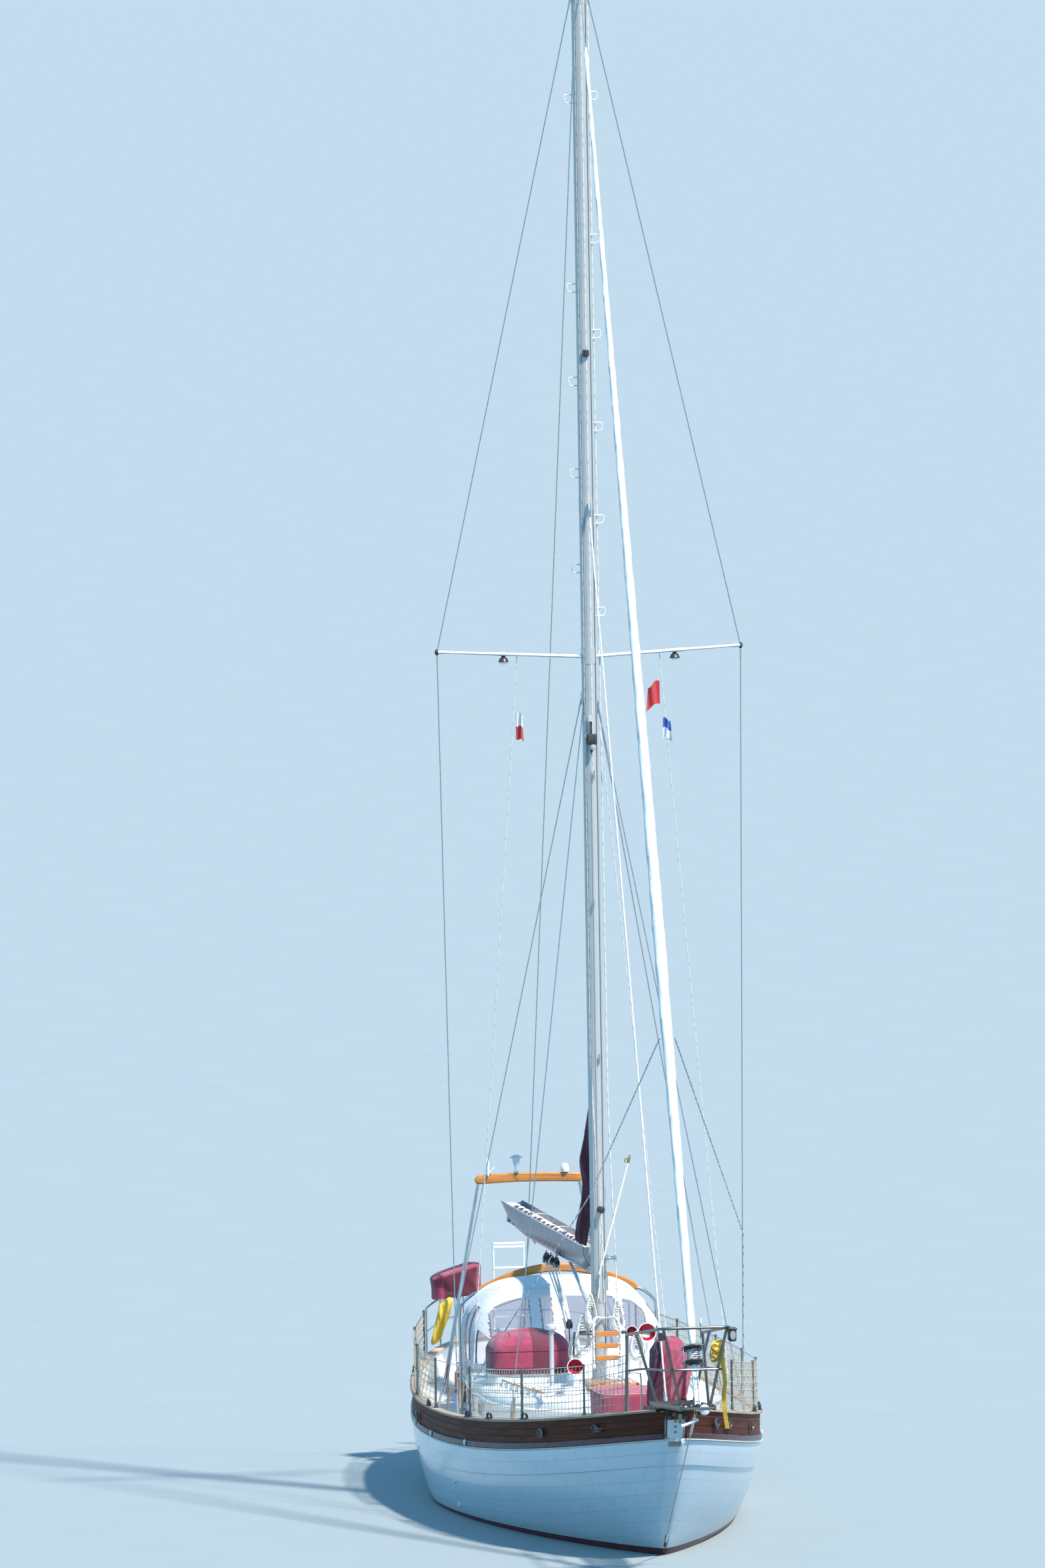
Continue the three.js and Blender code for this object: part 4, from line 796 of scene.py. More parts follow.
def half_breadth(level, x):
    """Half the hull's width at a level."""
    x = np.asarray(x, float)
    ahead = x > level.wide
    end = np.where(ahead, level.fore, level.aft)
    share = np.clip(np.abs((x - level.wide) / (end - level.wide)), 0, 1)
    stem = np.interp(level.z, [-0.3, 0.0, SHEER.z], [STERN_HALF, STEM_FOOT_HALF, STEM_TOP_HALF])
    thin = np.minimum(np.where(ahead, stem, STERN_HALF), level.half)
    power, full = np.where(ahead, level.fp, level.ap), np.where(ahead, level.fq, level.aq)
    return thin + (level.half - thin) * (1 - share ** power) ** full


def side_line(level, fore=None):
    """The starboard edge of a level, from aft to fore, close-set towards the ends."""
    last = math.pi / 2 if fore is None else math.asin(
        (fore - level.wide) / (level.fore - level.wide))
    share = np.sin(np.linspace(-math.pi / 2, last, COLUMNS + 1))
    x = np.where(share > 0, mix(level.wide, level.fore, share), mix(level.wide, level.aft, -share))
    return np.stack([x, -half_breadth(level, x), level.z + level.share * rise(x)], 1)


def deck_z(x, y):
    """The top of the deck."""
    half = float(half_breadth(SHEER, x))
    camber = CAMBER * (1 - (y / max(0.2, half)) ** 2) * half / SHEER.half
    return SHEER.z + float(rise(x)) + camber + DECK_THICK


def cap_z(x):
    """The top of the cap rail."""
    return RAIL.z + float(rise(x)) + CAP


def rail_line(height, out=0.0, fore=RAIL_END):
    """A line round the boat, a height above the deck's edge and a distance out from it.

    It runs from the starboard bow round the stern to the port bow.
    """
    share = min(max(height / BULWARK_HIGH, 0), 1)
    side = mix(side_line(SHEER, min(fore, SHEER_END)), side_line(RAIL, fore), share)
    side[:, 2] = SHEER.z + rise(side[:, 0]) + height
    path = np.concatenate([side[::-1], side * (1, -1, 1)])
    way = np.gradient(path[:, :2], axis=0)
    way /= np.maximum(np.linalg.norm(way, axis=1), 1e-9)[:, None]
    path[:, 0] -= way[:, 1] * out
    path[:, 1] += way[:, 0] * out
    path[:, 1][:len(side)] = np.minimum(path[:, 1][:len(side)], -0.001)
    path[:, 1][len(side):] = np.maximum(path[:, 1][len(side):], 0.001)
    return path


# Hull, planking and rails.

CREASE = 0.30                     # below the deck's edge
STRAKE_OUT = 0.012                # how far the top strake stands proud
APERTURE = ((-4.5, -1.11), (-3.88, -0.61))       # x and z of the propeller's opening
SHELL = 0.015


def hull_side():
    """Rows of points up the starboard side, with the top strake standing proud."""
    controls = np.array([side_line(level) for level in LEVELS])
    columns = smooth_line(controls, 8)[:8 * (len(LEVELS) - 2) + 1]
    sheer = columns[-1, :, 2]
    drops = [0.45, 0.41, 0.37, 0.335, CREASE + 0.006, CREASE, 0.25, 0.20, 0.15, 0.10, 0.05, 0.0]
    shares = np.linspace(0, 1, 36)[:-1]
    heights = [mix(LEVELS[0].z, sheer - drops[0], share) for share in shares]
    heights += [sheer - drop for drop in drops]
    rows = []
    for number, z in enumerate(heights):
        row = np.array([[np.interp(z[i], columns[:, i, 2], columns[:, i, axis])
                         for axis in (0, 1)] + [z[i]] for i in range(columns.shape[1])])
        if number >= len(heights) - 7:
            way = np.gradient(row[:, :2], axis=0)
            way /= np.linalg.norm(way, axis=1)[:, None]
            row[:, 0] += way[:, 1] * STRAKE_OUT
            row[:, 1] -= way[:, 0] * STRAKE_OUT
        aft = row[:1] * (1, 0.6, 1) - (0.010, 0, 0)
        fore = row[-1:] * (1, 0.6, 1) + (0.010, 0, 0)
        rows.append(np.concatenate([aft, row, fore]))
    return np.array(rows)


def cut_opening(bm):
    """Cut the propeller's opening out of one side."""
    (aft, low), (fore, high) = APERTURE
    for point, way in (((fore, 0, 0), (1, 0, 0)), ((0, 0, low), (0, 0, 1)),
                       ((0, 0, high), (0, 0, 1))):
        near = [f for f in bm.faces if aft < f.calc_center_median().x < fore + 0.3
                and low - 0.2 < f.calc_center_median().z < high + 0.2]
        parts = {*near, *(e for f in near for e in f.edges), *(v for f in near for v in f.verts)}
        bmesh.ops.bisect_plane(bm, geom=list(parts), plane_co=point, plane_no=way)
    gone = [f for f in bm.faces if aft < f.calc_center_median().x < fore
            and low < f.calc_center_median().z < high]
    bmesh.ops.delete(bm, geom=gone, context="FACES")


def at_sheer(vert):
    """Whether a vertex lies on the hull's top edge."""
    return abs(vert.co.z - SHEER.z - float(rise(vert.co.x))) < 0.012


def join_to_twin(bm):
    """Mirror one side and bridge its edges to the other, all but the top."""
    half = bm.verts[:]
    twin = {v: bm.verts.new((v.co.x, -v.co.y, v.co.z)) for v in half}
    faces = bm.faces[:]
    edges = [e for e in bm.edges if len(e.link_faces) == 1 and not all(map(at_sheer, e.verts))]
    for face in faces:
        bm.faces.new([twin[v] for v in reversed(face.verts)])
    for edge in edges:
        a, b = edge.verts
        bm.faces.new((a, b, twin[b], twin[a]))


def make_hull():
    """The planked shell from the keel to the deck's edge."""
    rows = hull_side()
    shape = Shape().loft(rows, closed=False)
    bm = bmesh.new()
    points = [bm.verts.new(p) for p in shape.points]
    for face in shape.faces:
        bm.faces.new([points[i] for i in face])
    cut_opening(bm)
    join_to_twin(bm)
    bmesh.ops.recalc_face_normals(bm, faces=bm.faces)
    layer = bm.loops.layers.uv.new("UVMap")
    for face in bm.faces:
        for loop in face.loops:
            x, _, z = loop.vert.co
            loop[layer].uv = (x, SHEER.z + float(rise(x)) - z)
    mesh = bpy.data.meshes.new("hull_shell")
    bm.to_mesh(mesh)
    bm.free()
    mesh.shade_smooth()
    mesh.set_sharp_from_angle(angle=math.radians(28))
    hull = put(mesh, "hull_shell", "hull", "hull_white", ["topsides"], ["hull", "ballast_keel"])
    wall = hull.modifiers.new("shell", "SOLIDIFY")
    wall.thickness, wall.offset = SHELL, -1


def band(section, fore=RAIL_END):
    """A closed section swept round the rail; its points are a height and a distance out."""
    lines = np.array([rail_line(height, out, fore) for height, out in section])
    return Shape().loft(lines.transpose(1, 0, 2))


STRAKE_HIGH = 0.066               # the painted strake at the bulwark's foot
PLANKS = 3


def make_bulwarks():
    """Dark planks outside and white ones inside, over a painted strake and a pale bead."""
    thick, groove = 0.040, 0.005
    section = [(BULWARK_HIGH, -0.008), (BULWARK_HIGH, 0)]
    joints = np.linspace(BULWARK_HIGH, STRAKE_HIGH, PLANKS + 1)[1:-1]
    for joint in joints:
        section += [(joint + 0.006, 0.0), (joint, -groove), (joint - 0.006, 0.0)]
    section += [(STRAKE_HIGH, 0), (0.005, 0), (0.005, -0.008)]
    band(section).place("bulwark_planking", "hull", "plank", "planks",
                        replaces=("bulwark_port", "bulwark_starboard"), crease=20)
    lining = [(0.005, -thick), (BULWARK_HIGH, -thick), (BULWARK_HIGH, -0.010), (0.005, -0.010)]
    band(lining).place("bulwark_lining", "hull", "deck_white", "white", crease=20)
    strake = [(0.002, 0.0), (0.002, 0.016), (0.012, 0.024), (STRAKE_HIGH - 0.010, 0.024),
              (STRAKE_HIGH, 0.014), (STRAKE_HIGH, 0.0)]
    band(strake).place("rubbing_strake", "hull", "hull_white", "maroon")
    bead = [(-0.012, 0.010), (-0.012, 0.022), (-0.007, 0.028), (-0.001, 0.028), (0.002, 0.022),
            (0.002, 0.010)]
    band(bead).place("sheer_bead", "hull", "hull_white", "cream")


def make_cap_rail():
    """The broad cap on the bulwarks, with rounded edges."""
    low, high, out, inner, r = BULWARK_HIGH, BULWARK_HIGH + CAP, 0.025, -0.080, 0.007
    section = [(low, out - r), (low + r, out), (high - r, out), (high - 0.002, out - 0.004),
               (high, out - r - 0.004), (high, inner + r), (high - 0.002, inner + 0.003),
               (high - r, inner), (low + r, inner), (low, inner + r)]
    band(section, fore=5.80).place("cap_rail", "hull", "cap", "cap",
                                   replaces=("caprail_port", "caprail_starboard"))


PLATFORM = {"aft": 5.56, "fore": 7.40, "half_aft": 0.235, "half_fore": 0.200, "thick": 0.060,
            "low": 1.712, "rise": 0.07}


def platform_z(x):
    """The top of the bow platform."""
    return PLATFORM["low"] + PLATFORM["thick"] + (x - PLATFORM["aft"]) * PLATFORM["rise"]


def make_stem_head():
    """The stem's head between the bulwarks' ends, its steel band and the block behind it."""
    shape, steel = Shape(), Shape()
    rings = []
    for height in (0.0, 0.10, 0.20, 0.30):
        x = mix(SHEER.fore, RAIL.fore, height / BULWARK_HIGH) + 0.010
        z = SHEER.z + float(rise(x)) + height
        half = STEM_TOP_HALF
        rings.append([(x - 0.12, -half, z), (x - 0.012, -half, z), (x + 0.004, -half * 0.6, z),
                      (x + 0.006, 0, z), (x + 0.004, half * 0.6, z), (x - 0.012, half, z),
                      (x - 0.12, half, z)])
    shape.loft(rings)
    aft, fore, front = 5.50, 5.80, 0.07
    top = platform_z(5.7) - PLATFORM["thick"] - 0.004
    base = SHEER.z + float(rise(5.6)) - 0.05
    steel.loft([[(aft, -0.30, z), (fore - 0.06, -front, z), (fore, -front, z),
                 (fore, front, z), (fore - 0.06, front, z), (aft, 0.30, z)]
                for z in (base, top)])
    x = np.linspace(5.50, SHEER.fore, 16)
    half = np.maximum([float(half_breadth(SHEER, v)) for v in x], 0.004) + 0.010
    lift = SHEER.z + np.array([float(rise(v)) for v in x])
    steel.loft([[(a + 0.006, s * b, c + up) for s, line in ((-1, 1), (1, -1))
                 for a, b, c in list(zip(x, half, lift))[::line]] for up in (-0.014, 0.030)])
    for z in (0.07, 0.13, 0.19, 0.25):
        steel.lathe([(0, 0.012), (0.010, 0.011), (0.013, 0.006), (0.014, -0.002)],
                    (SHEER.fore + 0.015 + z * (RAIL.fore - SHEER.fore) / BULWARK_HIGH, 0,
                     SHEER.z + float(rise(5.85)) + z), (1, 0, 0), 12)
    shape.place("stem_head", "hull", "hull_white", "gelcoat", crease=25)
    steel.place("stem_band", "hull", "steel", "dull steel", crease=25)


# Deckhouse and hatches.

HOUSE = {"aft": -1.90, "wide": 0.60, "fore": 2.60, "half_aft": 1.13, "half": 1.31,
         "edge": 1.33, "slope": 0.01, "crown": 0.060, "foot": 0.82}
SHOULDER_IN, SHOULDER_UP = 0.100, 0.085
HATCH = {"aft": -1.93, "fore": -1.20, "half": 0.33, "thick": 0.028, "lift": 0.022}
FORE_HATCH = {"x": 1.50, "half": 0.26, "hole": 0.215, "frame": 0.040, "lid": 0.028, "lift": 0.0055}


def house_side(inset, steps=64):
    """The deckhouse's edge in plan, from aft to fore: x and half-breadth."""
    aft, fore, wide = HOUSE["aft"] + inset, HOUSE["fore"] - inset, HOUSE["wide"]
    straight = np.linspace(aft, wide, steps // 3 + 1)[:-1]
    bend = mix(wide, fore, np.sin(np.linspace(0, math.pi / 2, 2 * steps // 3)))
    x = np.concatenate([straight, bend])
    back = np.clip((wide - x) / (wide - HOUSE["aft"]), 0, None)
    front = np.clip((x - wide) / (fore - wide), 0, 1)
    half = np.where(x < wide, mix(HOUSE["half"], HOUSE["half_aft"], back ** 2) - inset,
                    0.02 + (HOUSE["half"] - inset - 0.02) * (1 - front ** 2.6) ** 0.62)
    return x, half


def house_edge(x):
    """The height of the deckhouse's roof edge."""
    return HOUSE["edge"] + HOUSE["slope"] * x


def roof_z(x, y):
    """The top of the deckhouse's roof."""
    return house_edge(x) + SHOULDER_UP + HOUSE["crown"] * (1 - (y / HOUSE["half"]) ** 2)


def house_shape(wall, drop, foot):
    """The deckhouse as a closed form, drawn in by a wall's thickness."""
    turns = np.linspace(0, math.pi / 2, 8)
    sides = [(house_side(wall + SHOULDER_IN * (1 - math.cos(t))), math.sin(t)) for t in turns]
    sections = []
    for i in range(len(sides[0][0][0])):
        half_ring = [(sides[0][0][0][i], -sides[0][0][1][i], foot)]
        for (x, half), up in sides:
            crown = HOUSE["crown"] * (1 - (half[i] / HOUSE["half"]) ** 2) * up
            half_ring.append((x[i], -half[i], house_edge(x[i]) + SHOULDER_UP * up + crown - drop))
        x, half = sides[-1][0][0][i], sides[-1][0][1][i]
        roof = [(x, y, roof_z(x, y) - drop) for y in np.linspace(-half, half, 18)[1:-1]]
        sections.append(half_ring + roof + [(a, -b, c) for a, b, c in reversed(half_ring)])
    return Shape().loft(sections)


def make_deckhouse():
    """The hollow deckhouse with its companionway and the fore hatch's hole."""
    roof = roof_z(-1.5, 0)
    hole, x = FORE_HATCH["hole"], FORE_HATCH["x"]
    carved(house_shape(0, 0, HOUSE["foot"]), [
        house_shape(0.05, 0.045, 0.6),
        box_shape((-1.98, -0.30, 0.64), (-1.24, 0.30, roof + 0.2), 0.02),
        box_shape((x - hole, -hole, 1.1), (x + hole, hole, 2.0), 0.01),
    ], "deckhouse_shell", "hull", "hull_white", "gelcoat", replaces=("deckhouse",), crease=30)
    garage = box_shape((HATCH["fore"] + 0.008, -0.39, 1.36), (-0.48, 0.39, roof + 0.095), 0.018)
    slot = box_shape((-1.3, -0.342, roof + 0.011), (-0.52, 0.342, roof + 0.064), 0.002)
    carved(garage, [slot], "hatch_garage", "hull", "hull_white", "gelcoat")
    plane = roof_z(x, 0) + 0.012
    half = FORE_HATCH["half"]
    frame_shape = box_shape((x - half, -half, 1.41), (x + half, half,
                                                      plane + FORE_HATCH["frame"]), 0.008)
    carved(frame_shape, [box_shape((x - hole, -hole, 1.3), (x + hole, hole, 1.9), 0.01)],
           "fore_hatch_frame", "hull", "varnish", "varnish")


def make_house_trim():
    """A rounded white bead under the roof's edge, and a timber toe along the deck."""
    bead, toe = Shape(), Shape()
    x, half = house_side(-0.002)
    side = np.stack([x, -half, house_edge(x) - 0.020], 1)
    bead.tube(np.concatenate([side, (side * (1, -1, 1))[::-1]]), 0.022, 12)
    bead.place("deckhouse_bead", "hull", "hull_white", "gelcoat")
    x, half = house_side(-0.008)
    side = np.stack([x, -half, [deck_z(a, b) + 0.012 for a, b in zip(x, half)]], 1)
    toe.tube(np.concatenate([side, (side * (1, -1, 1))[::-1]]), 0.018, 8)
    toe.place("deckhouse_trim", "hull", "varnish", "trim")


def house_wall(x):
    """A point on the deckhouse's side and its outward way, on the port side."""
    xs, halves = house_side(0.0)
    y = float(np.interp(x, xs, halves))
    slope = float(np.interp(x + 0.02, xs, halves) - np.interp(x - 0.02, xs, halves)) / 0.04
    return y, unit((-slope, 1, 0))


PORTLIGHTS = (0.35, -0.55, -1.35)
FRAME_RINGS = ((0.205, 0.085, 0.055, -0.01), (0.205, 0.085, 0.055, 0.012),
               (0.198, 0.078, 0.050, 0.018), (0.182, 0.062, 0.040, 0.018),
               (0.176, 0.056, 0.036, 0.012), (0.176, 0.056, 0.036, -0.01))
PANE_RINGS = ((0.178, 0.058, 0.036, 0.0), (0.178, 0.058, 0.036, 0.010))


def make_portlights():
    """Framed windows along the deckhouse's sides."""
    rims, panes = Shape(), Shape()

    def rings(centre, along, n, sizes):
        return [[centre + along * a + np.array((0, 0, b)) + n * lift
                 for a, b in rounded(half_a, half_b, corner, 5)]
                for half_a, half_b, corner, lift in sizes]

    for x in PORTLIGHTS:
        y, out = house_wall(x)
        for _, sign in SIDES:
            n = out * (1, sign, 1)
            along = np.array((-n[1], n[0], 0.0))
            centre = np.array((x, sign * y, house_edge(x) - 0.15))
            rims.loft(rings(centre, along, n, FRAME_RINGS))
            panes.loft(rings(centre, along, n, PANE_RINGS))
            for a, b in rounded(0.192, 0.072, 0.050, 1):
                centre_screw = centre + along * a + np.array((0, 0, b)) + n * 0.017
                rims.lathe([(0, 0.003), (0.005, 0.002), (0.006, 0)], centre_screw, n, 6)
    rims.place("portlight_frames", "hull", "steel", "steel")
    panes.place("portlight_panes", "hull", "black", "dark glass")


def make_grab_rails():
    """Teak handrails along the roof's edges, looped over white feet."""
    rail, feet = Shape(), Shape()

    def line(low, high, count, sign):
        for x in np.linspace(low, high, count):
            y = sign * (1.075 - 0.028 * max(0.0, x + 0.6) ** 2)
            yield x, y, roof_z(x, y)

    for _, sign in SIDES:
        rail.tube([(x, y, z + 0.062) for x, y, z in line(-0.80, 2.10, 59, sign)], 0.015, 8)
        for x, y, z in line(-0.76, 2.06, 12, sign):
            feet.loft([[(x + a * w, y + b, z + h) for a, b in rounded(1.0, 0.016, 0.012, 2)]
                       for h, w in ((-0.02, 0.065), (0.020, 0.055), (0.050, 0.034),
                                    (0.060, 0.030))])
    rail.place("grab_rails", "hull", "varnish", "teak")
    feet.place("grab_rail_feet", "hull", "hull_white", "gelcoat")


def make_sliding_hatch():
    """The planked hatch over the companionway, with end cleats and a handle."""
    roof = roof_z(-1.5, 0)
    low, high = roof + HATCH["lift"], roof + HATCH["lift"] + HATCH["thick"]
    shape = Shape()
    aft, fore, half = HATCH["aft"], HATCH["fore"], HATCH["half"]
    for y in np.linspace(-half, half, 7)[:-1]:
        shape.block((aft + 0.05, y + 0.001, low + 0.002), (fore - 0.05, y + half / 3 - 0.001,
                                                           high), 0.003)
    for x in (aft, fore - 0.05):
        shape.block((x, -half, low), (x + 0.05, half, high), 0.004)
    shape.block((aft + 0.012, -0.12, high - 0.001), (aft + 0.034, 0.12, high + 0.020), 0.006)
    shape.place("sliding_hatch_planked", "sliding_hatch", "varnish", "trim",
                replaces=("sliding_hatch",))


def make_fore_hatch():
    """The fore hatch's planked lid, with its hinges and a brass catch."""
    x, reach = FORE_HATCH["x"], FORE_HATCH["half"] + 0.015
    low = roof_z(x, 0) + 0.012 + FORE_HATCH["frame"] + FORE_HATCH["lift"]
    high = low + FORE_HATCH["lid"]
    lid, metal_parts = Shape(), Shape()
    for i in range(6):
        a = -reach + 0.045 + i * (2 * reach - 0.09) / 6
        lid.block((x - reach + 0.045, a + 0.001, low + 0.003),
                  (x + reach - 0.045, a + (2 * reach - 0.09) / 6 - 0.001, high - 0.001), 0.003)
    for sign in (-1, 1):
        lid.block((x - reach, sign * reach, low), (x + reach, sign * (reach - 0.045), high), 0.006)
        lid.block((x + sign * reach, -reach, low), (x + sign * (reach - 0.045), reach, high),
                  0.006)
        metal_parts.block((x + reach - 0.09, sign * 0.15 - 0.02, high - 0.001),
                          (x + reach + 0.004, sign * 0.15 + 0.02, high + 0.004), 0.002)
    metal_parts.block((x - reach - 0.003, -0.03, low), (x - reach + 0.06, 0.03, high + 0.005),
                      0.002)
    lid.place("fore_hatch_planked", "fore_hatch", "varnish", "varnish",
              replaces=("fore_hatch_lid",))
    metal_parts.place("fore_hatch_hinges", "fore_hatch", "bronze", "bronze")


# Cockpit and steering.

COCKPIT = {"aft": -4.45, "fore": -1.95, "half": 0.88, "seat": 0.60}
FOOTWELL = {"aft": -4.05, "fore": -2.15, "half": 0.36, "sole": 0.25}


def make_cockpit():
    """The moulded well, with slatted seats and a grating underfoot."""

    def ring(well, inset, z):
        x, half_x = (well["aft"] + well["fore"]) / 2, (well["fore"] - well["aft"]) / 2 - inset
        return [(x + a, b, z if z is not None else deck_z(x + a, b) - 0.002)
                for a, b in rounded(half_x, well["half"] - inset, 0.07, 5)]

    tub = Shape().loft([
        ring(COCKPIT, -0.012, 0.80), ring(COCKPIT, -0.012, None), ring(COCKPIT, 0.0, None),
        ring(COCKPIT, 0.004, COCKPIT["seat"] + 0.02),
        ring(COCKPIT, 0.02, COCKPIT["seat"] + 0.002), ring(FOOTWELL, -0.015, COCKPIT["seat"]),
        ring(FOOTWELL, 0.0, COCKPIT["seat"] - 0.012), ring(FOOTWELL, 0.004, FOOTWELL["sole"]),
    ], ends=False)
    floor = ring(FOOTWELL, 0.004, FOOTWELL["sole"])
    tub.add(floor, [list(range(len(floor)))])
    tub.place("cockpit_well", "hull", "deck_white", "gelcoat", crease=40)
    slats = Shape()
    for _, sign in SIDES:
        for i in range(6):
            y = 0.42 + i * 0.072
            slats.block((-4.02, sign * y, 0.603), (-2.0, sign * (y + 0.062), 0.622), 0.004)
    for i in range(5):
        slats.block((-4.42 + i * 0.072, -0.80, 0.603), (-4.358 + i * 0.072, 0.80, 0.622), 0.004)
    for x in np.arange(-4.00, -2.20, 0.055):
        slats.block((x, -0.33, 0.262), (x + 0.03, 0.33, 0.286), 0.002)
    for y in np.arange(-0.30, 0.31, 0.12):
        slats.block((-4.02, y - 0.015, 0.254), (-2.18, y + 0.015, 0.272), 0.002)
    slats.place("cockpit_slats", "hull", "varnish", "grey teak")


def make_coaming():
    """Varnished boards round the cockpit, with a cap along their top."""
    half, aft, fore, thick = COCKPIT["half"] + 0.07, -4.60, HOUSE["aft"] - 0.001, 0.032
    corners = [(fore, -half), (-3.3, -half + 0.02), (-4.2, -half + 0.13),
               (aft + 0.06, -half + 0.33), (aft, -half + 0.56), (aft, half - 0.56),
               (aft + 0.06, half - 0.33),
               (-4.2, half - 0.13), (-3.3, half - 0.02), (fore, half)]
    line = smooth_line(corners, 8)
    way = np.gradient(line, axis=0)
    way /= np.linalg.norm(way, axis=1)[:, None]
    inward = np.stack([-way[:, 1], way[:, 0]], 1) * -1
    shape = Shape()
    for low, high, out, into in ((None, 1.165, 0.0, thick), (1.160, 1.184, 0.012, thick + 0.012)):
        rings = []
        for (x, y), (a, b) in zip(line, inward):
            z = deck_z(x, y) - 0.01 if low is None else low
            r = 0.004
            outline = ((r - out, z), (-out, z + r), (-out, high - r), (r - out, high),
                       (into - r, high), (into, high - r), (into, z + r), (into - r, z))
            rings.append([(x + a * off, y + b * off, level) for off, level in outline])
        shape.loft(rings)
    shape.place("coaming_boards", "hull", "varnish", "trim", replaces=("cockpit_coaming",))


WHEEL = {"x": -3.83, "z": 1.13, "radius": 0.37, "spokes": 6}
PEDESTAL_X = -3.70


def make_steering():
    """The pedestal with its compass, and the wheel on its boss."""
    stand = Shape()
    foot = (PEDESTAL_X, 0, FOOTWELL["sole"])
    stand.lathe([(0, 0), (0.112, 0), (0.112, 0.012), (0.095, 0.06), (0.066, 0.2), (0.062, 0.3),
                 (0.062, 0.75), (0.085, 0.80), (0.088, 0.82), (0.088, 0.90), (0.080, 0.912),
                 (0, 0.912)], foot, steps=32)
    stand.lathe([(0, 0), (0.034, 0), (0.034, 0.086), (0, 0.086)],
                (PEDESTAL_X, 0, WHEEL["z"]), (-1, 0, 0), 20)
    stand.place("pedestal", "hull", "hull_white", "gelcoat", replaces=("steering_pedestal",))
    guard = Shape()
    guard.tube(smooth_line([(PEDESTAL_X + 0.10, -0.13, 0.62), (PEDESTAL_X + 0.10, -0.13, 1.10),
                            (PEDESTAL_X + 0.06, -0.11, 1.25), (PEDESTAL_X + 0.06, 0.11, 1.25),
                            (PEDESTAL_X + 0.10, 0.13, 1.10), (PEDESTAL_X + 0.10, 0.13, 0.62)],
                           6), 0.012, 10)
    guard.place("pedestal_guard", "hull", "steel", "steel")
    compass = Shape()
    compass.lathe([(0, 0), (0.075, 0), (0.078, 0.02), (0.066, 0.03)],
                  (PEDESTAL_X, 0, FOOTWELL["sole"] + 0.905), steps=28)
    compass.lathe([(0.064, 0.028), (0.06, 0.05), (0.045, 0.07), (0.02, 0.082), (0, 0.084)],
                  (PEDESTAL_X, 0, FOOTWELL["sole"] + 0.905), steps=28, paint=1)
    compass.place("compass", "hull", "black", "black", "dark glass")

    wheel = Shape()
    x, z, r = WHEEL["x"], WHEEL["z"], WHEEL["radius"]
    turns = np.linspace(0, 2 * math.pi, 73)
    rim = [[(x + 0.015 * math.cos(a), (r + 0.017 * math.sin(a)) * math.cos(t),
             z + (r + 0.017 * math.sin(a)) * math.sin(t))
            for a in np.arange(10) / 10 * 2 * math.pi] for t in turns]
    wheel.loft(rim, ends=False)
    hub = Shape()
    hub.lathe([(0, -0.026), (0.03, -0.026), (0.046, -0.018), (0.046, 0.02), (0.03, 0.03),
               (0.02, 0.03), (0.02, 0.036), (0, 0.036)], (x, 0, z), (1, 0, 0), 28)
    for i in range(WHEEL["spokes"]):
        t = i / WHEEL["spokes"] * 2 * math.pi
        way = np.array((0, math.cos(t), math.sin(t)))
        hub.tube([np.array((x, 0, z)) + way * s for s in (0.04, 0.2, r - 0.005)],
                 [0.012, 0.010, 0.009], 10)
    wheel.place("wheel_rim", "wheel", "varnish", "varnish", replaces=("steering_wheel",))
    hub.place("wheel_hub", "wheel", "steel", "steel")


# Pulpit, guardrails, ladder.

PULPIT_LOW, PULPIT_HIGH = (5.18, 2.468), (7.265, 2.732)     # x and height of its top rail
PULPIT_POSTS = (((5.33, 0.462), (5.213, 0.419)), ((5.85, 0.205), (5.75, 0.408)),
                ((7.18, 0.165), (7.236, 0.349)))
RAILING = {"high": 0.560, "mid": 0.285, "inset": 0.030}
STANCHIONS = (4.7, 3.3, 1.6, -0.1, -1.7, -3.2, -4.4)


def pulpit_z(x):
    """The height of the pulpit's top rail."""
    return float(np.interp(x, *zip(PULPIT_LOW, PULPIT_HIGH)))


def both_halves(rows):
    """A path from starboard to port out of its starboard half."""
    rows = [tuple(row) for row in rows]
    return [(x, -y, z) for x, y, z in rows] + rows[-2::-1]


def make_pulpit():
    """The tall bow rail of dulled tube and its feet."""
    top = [(x, y, pulpit_z(x)) for x, y in ((5.18, 0.42), (5.7, 0.412), (6.2, 0.40), (7.05, 0.388),
                                            (7.2, 0.37), (7.255, 0.31), (7.265, 0.15), (7.265, 0))]
    mid = [(5.255, 0.431, 2.078), (5.8, 0.308, 2.15), (7.13, 0.29, 2.262), (7.25, 0.262, 2.274),
           (7.283, 0.2, 2.28), (7.285, 0, 2.28)]
    shape = Shape()
    shape.tube(smooth_line(both_halves(top), 8), 0.0165, 12)
    shape.tube(smooth_line(both_halves(mid), 8), 0.013, 10)
    for (foot_x, foot_y), (top_x, top_y) in PULPIT_POSTS:
        for _, sign in SIDES:
            base = cap_z(foot_x) if foot_x < PLATFORM["aft"] else platform_z(foot_x)
            foot = np.array((foot_x, sign * foot_y, base))
            head = np.array((top_x, sign * top_y, pulpit_z(top_x)))
            shape.tube([foot - (0, 0, 0.004), mix(foot, head, 0.5), head], 0.016, 12)
            shape.lathe([(0, 0.008), (0.030, 0.008), (0.034, 0.004), (0.034, -0.001), (0, -0.001)],
                        foot, steps=16)
    shape.place("pulpit_tubes", "hull", "steel", "dull steel", replaces=("pulpit",))


def rail_side(x, sign):
    """How far out a guardrail stands, on one side."""
    return sign * (float(half_breadth(RAIL, x)) - RAILING["inset"])


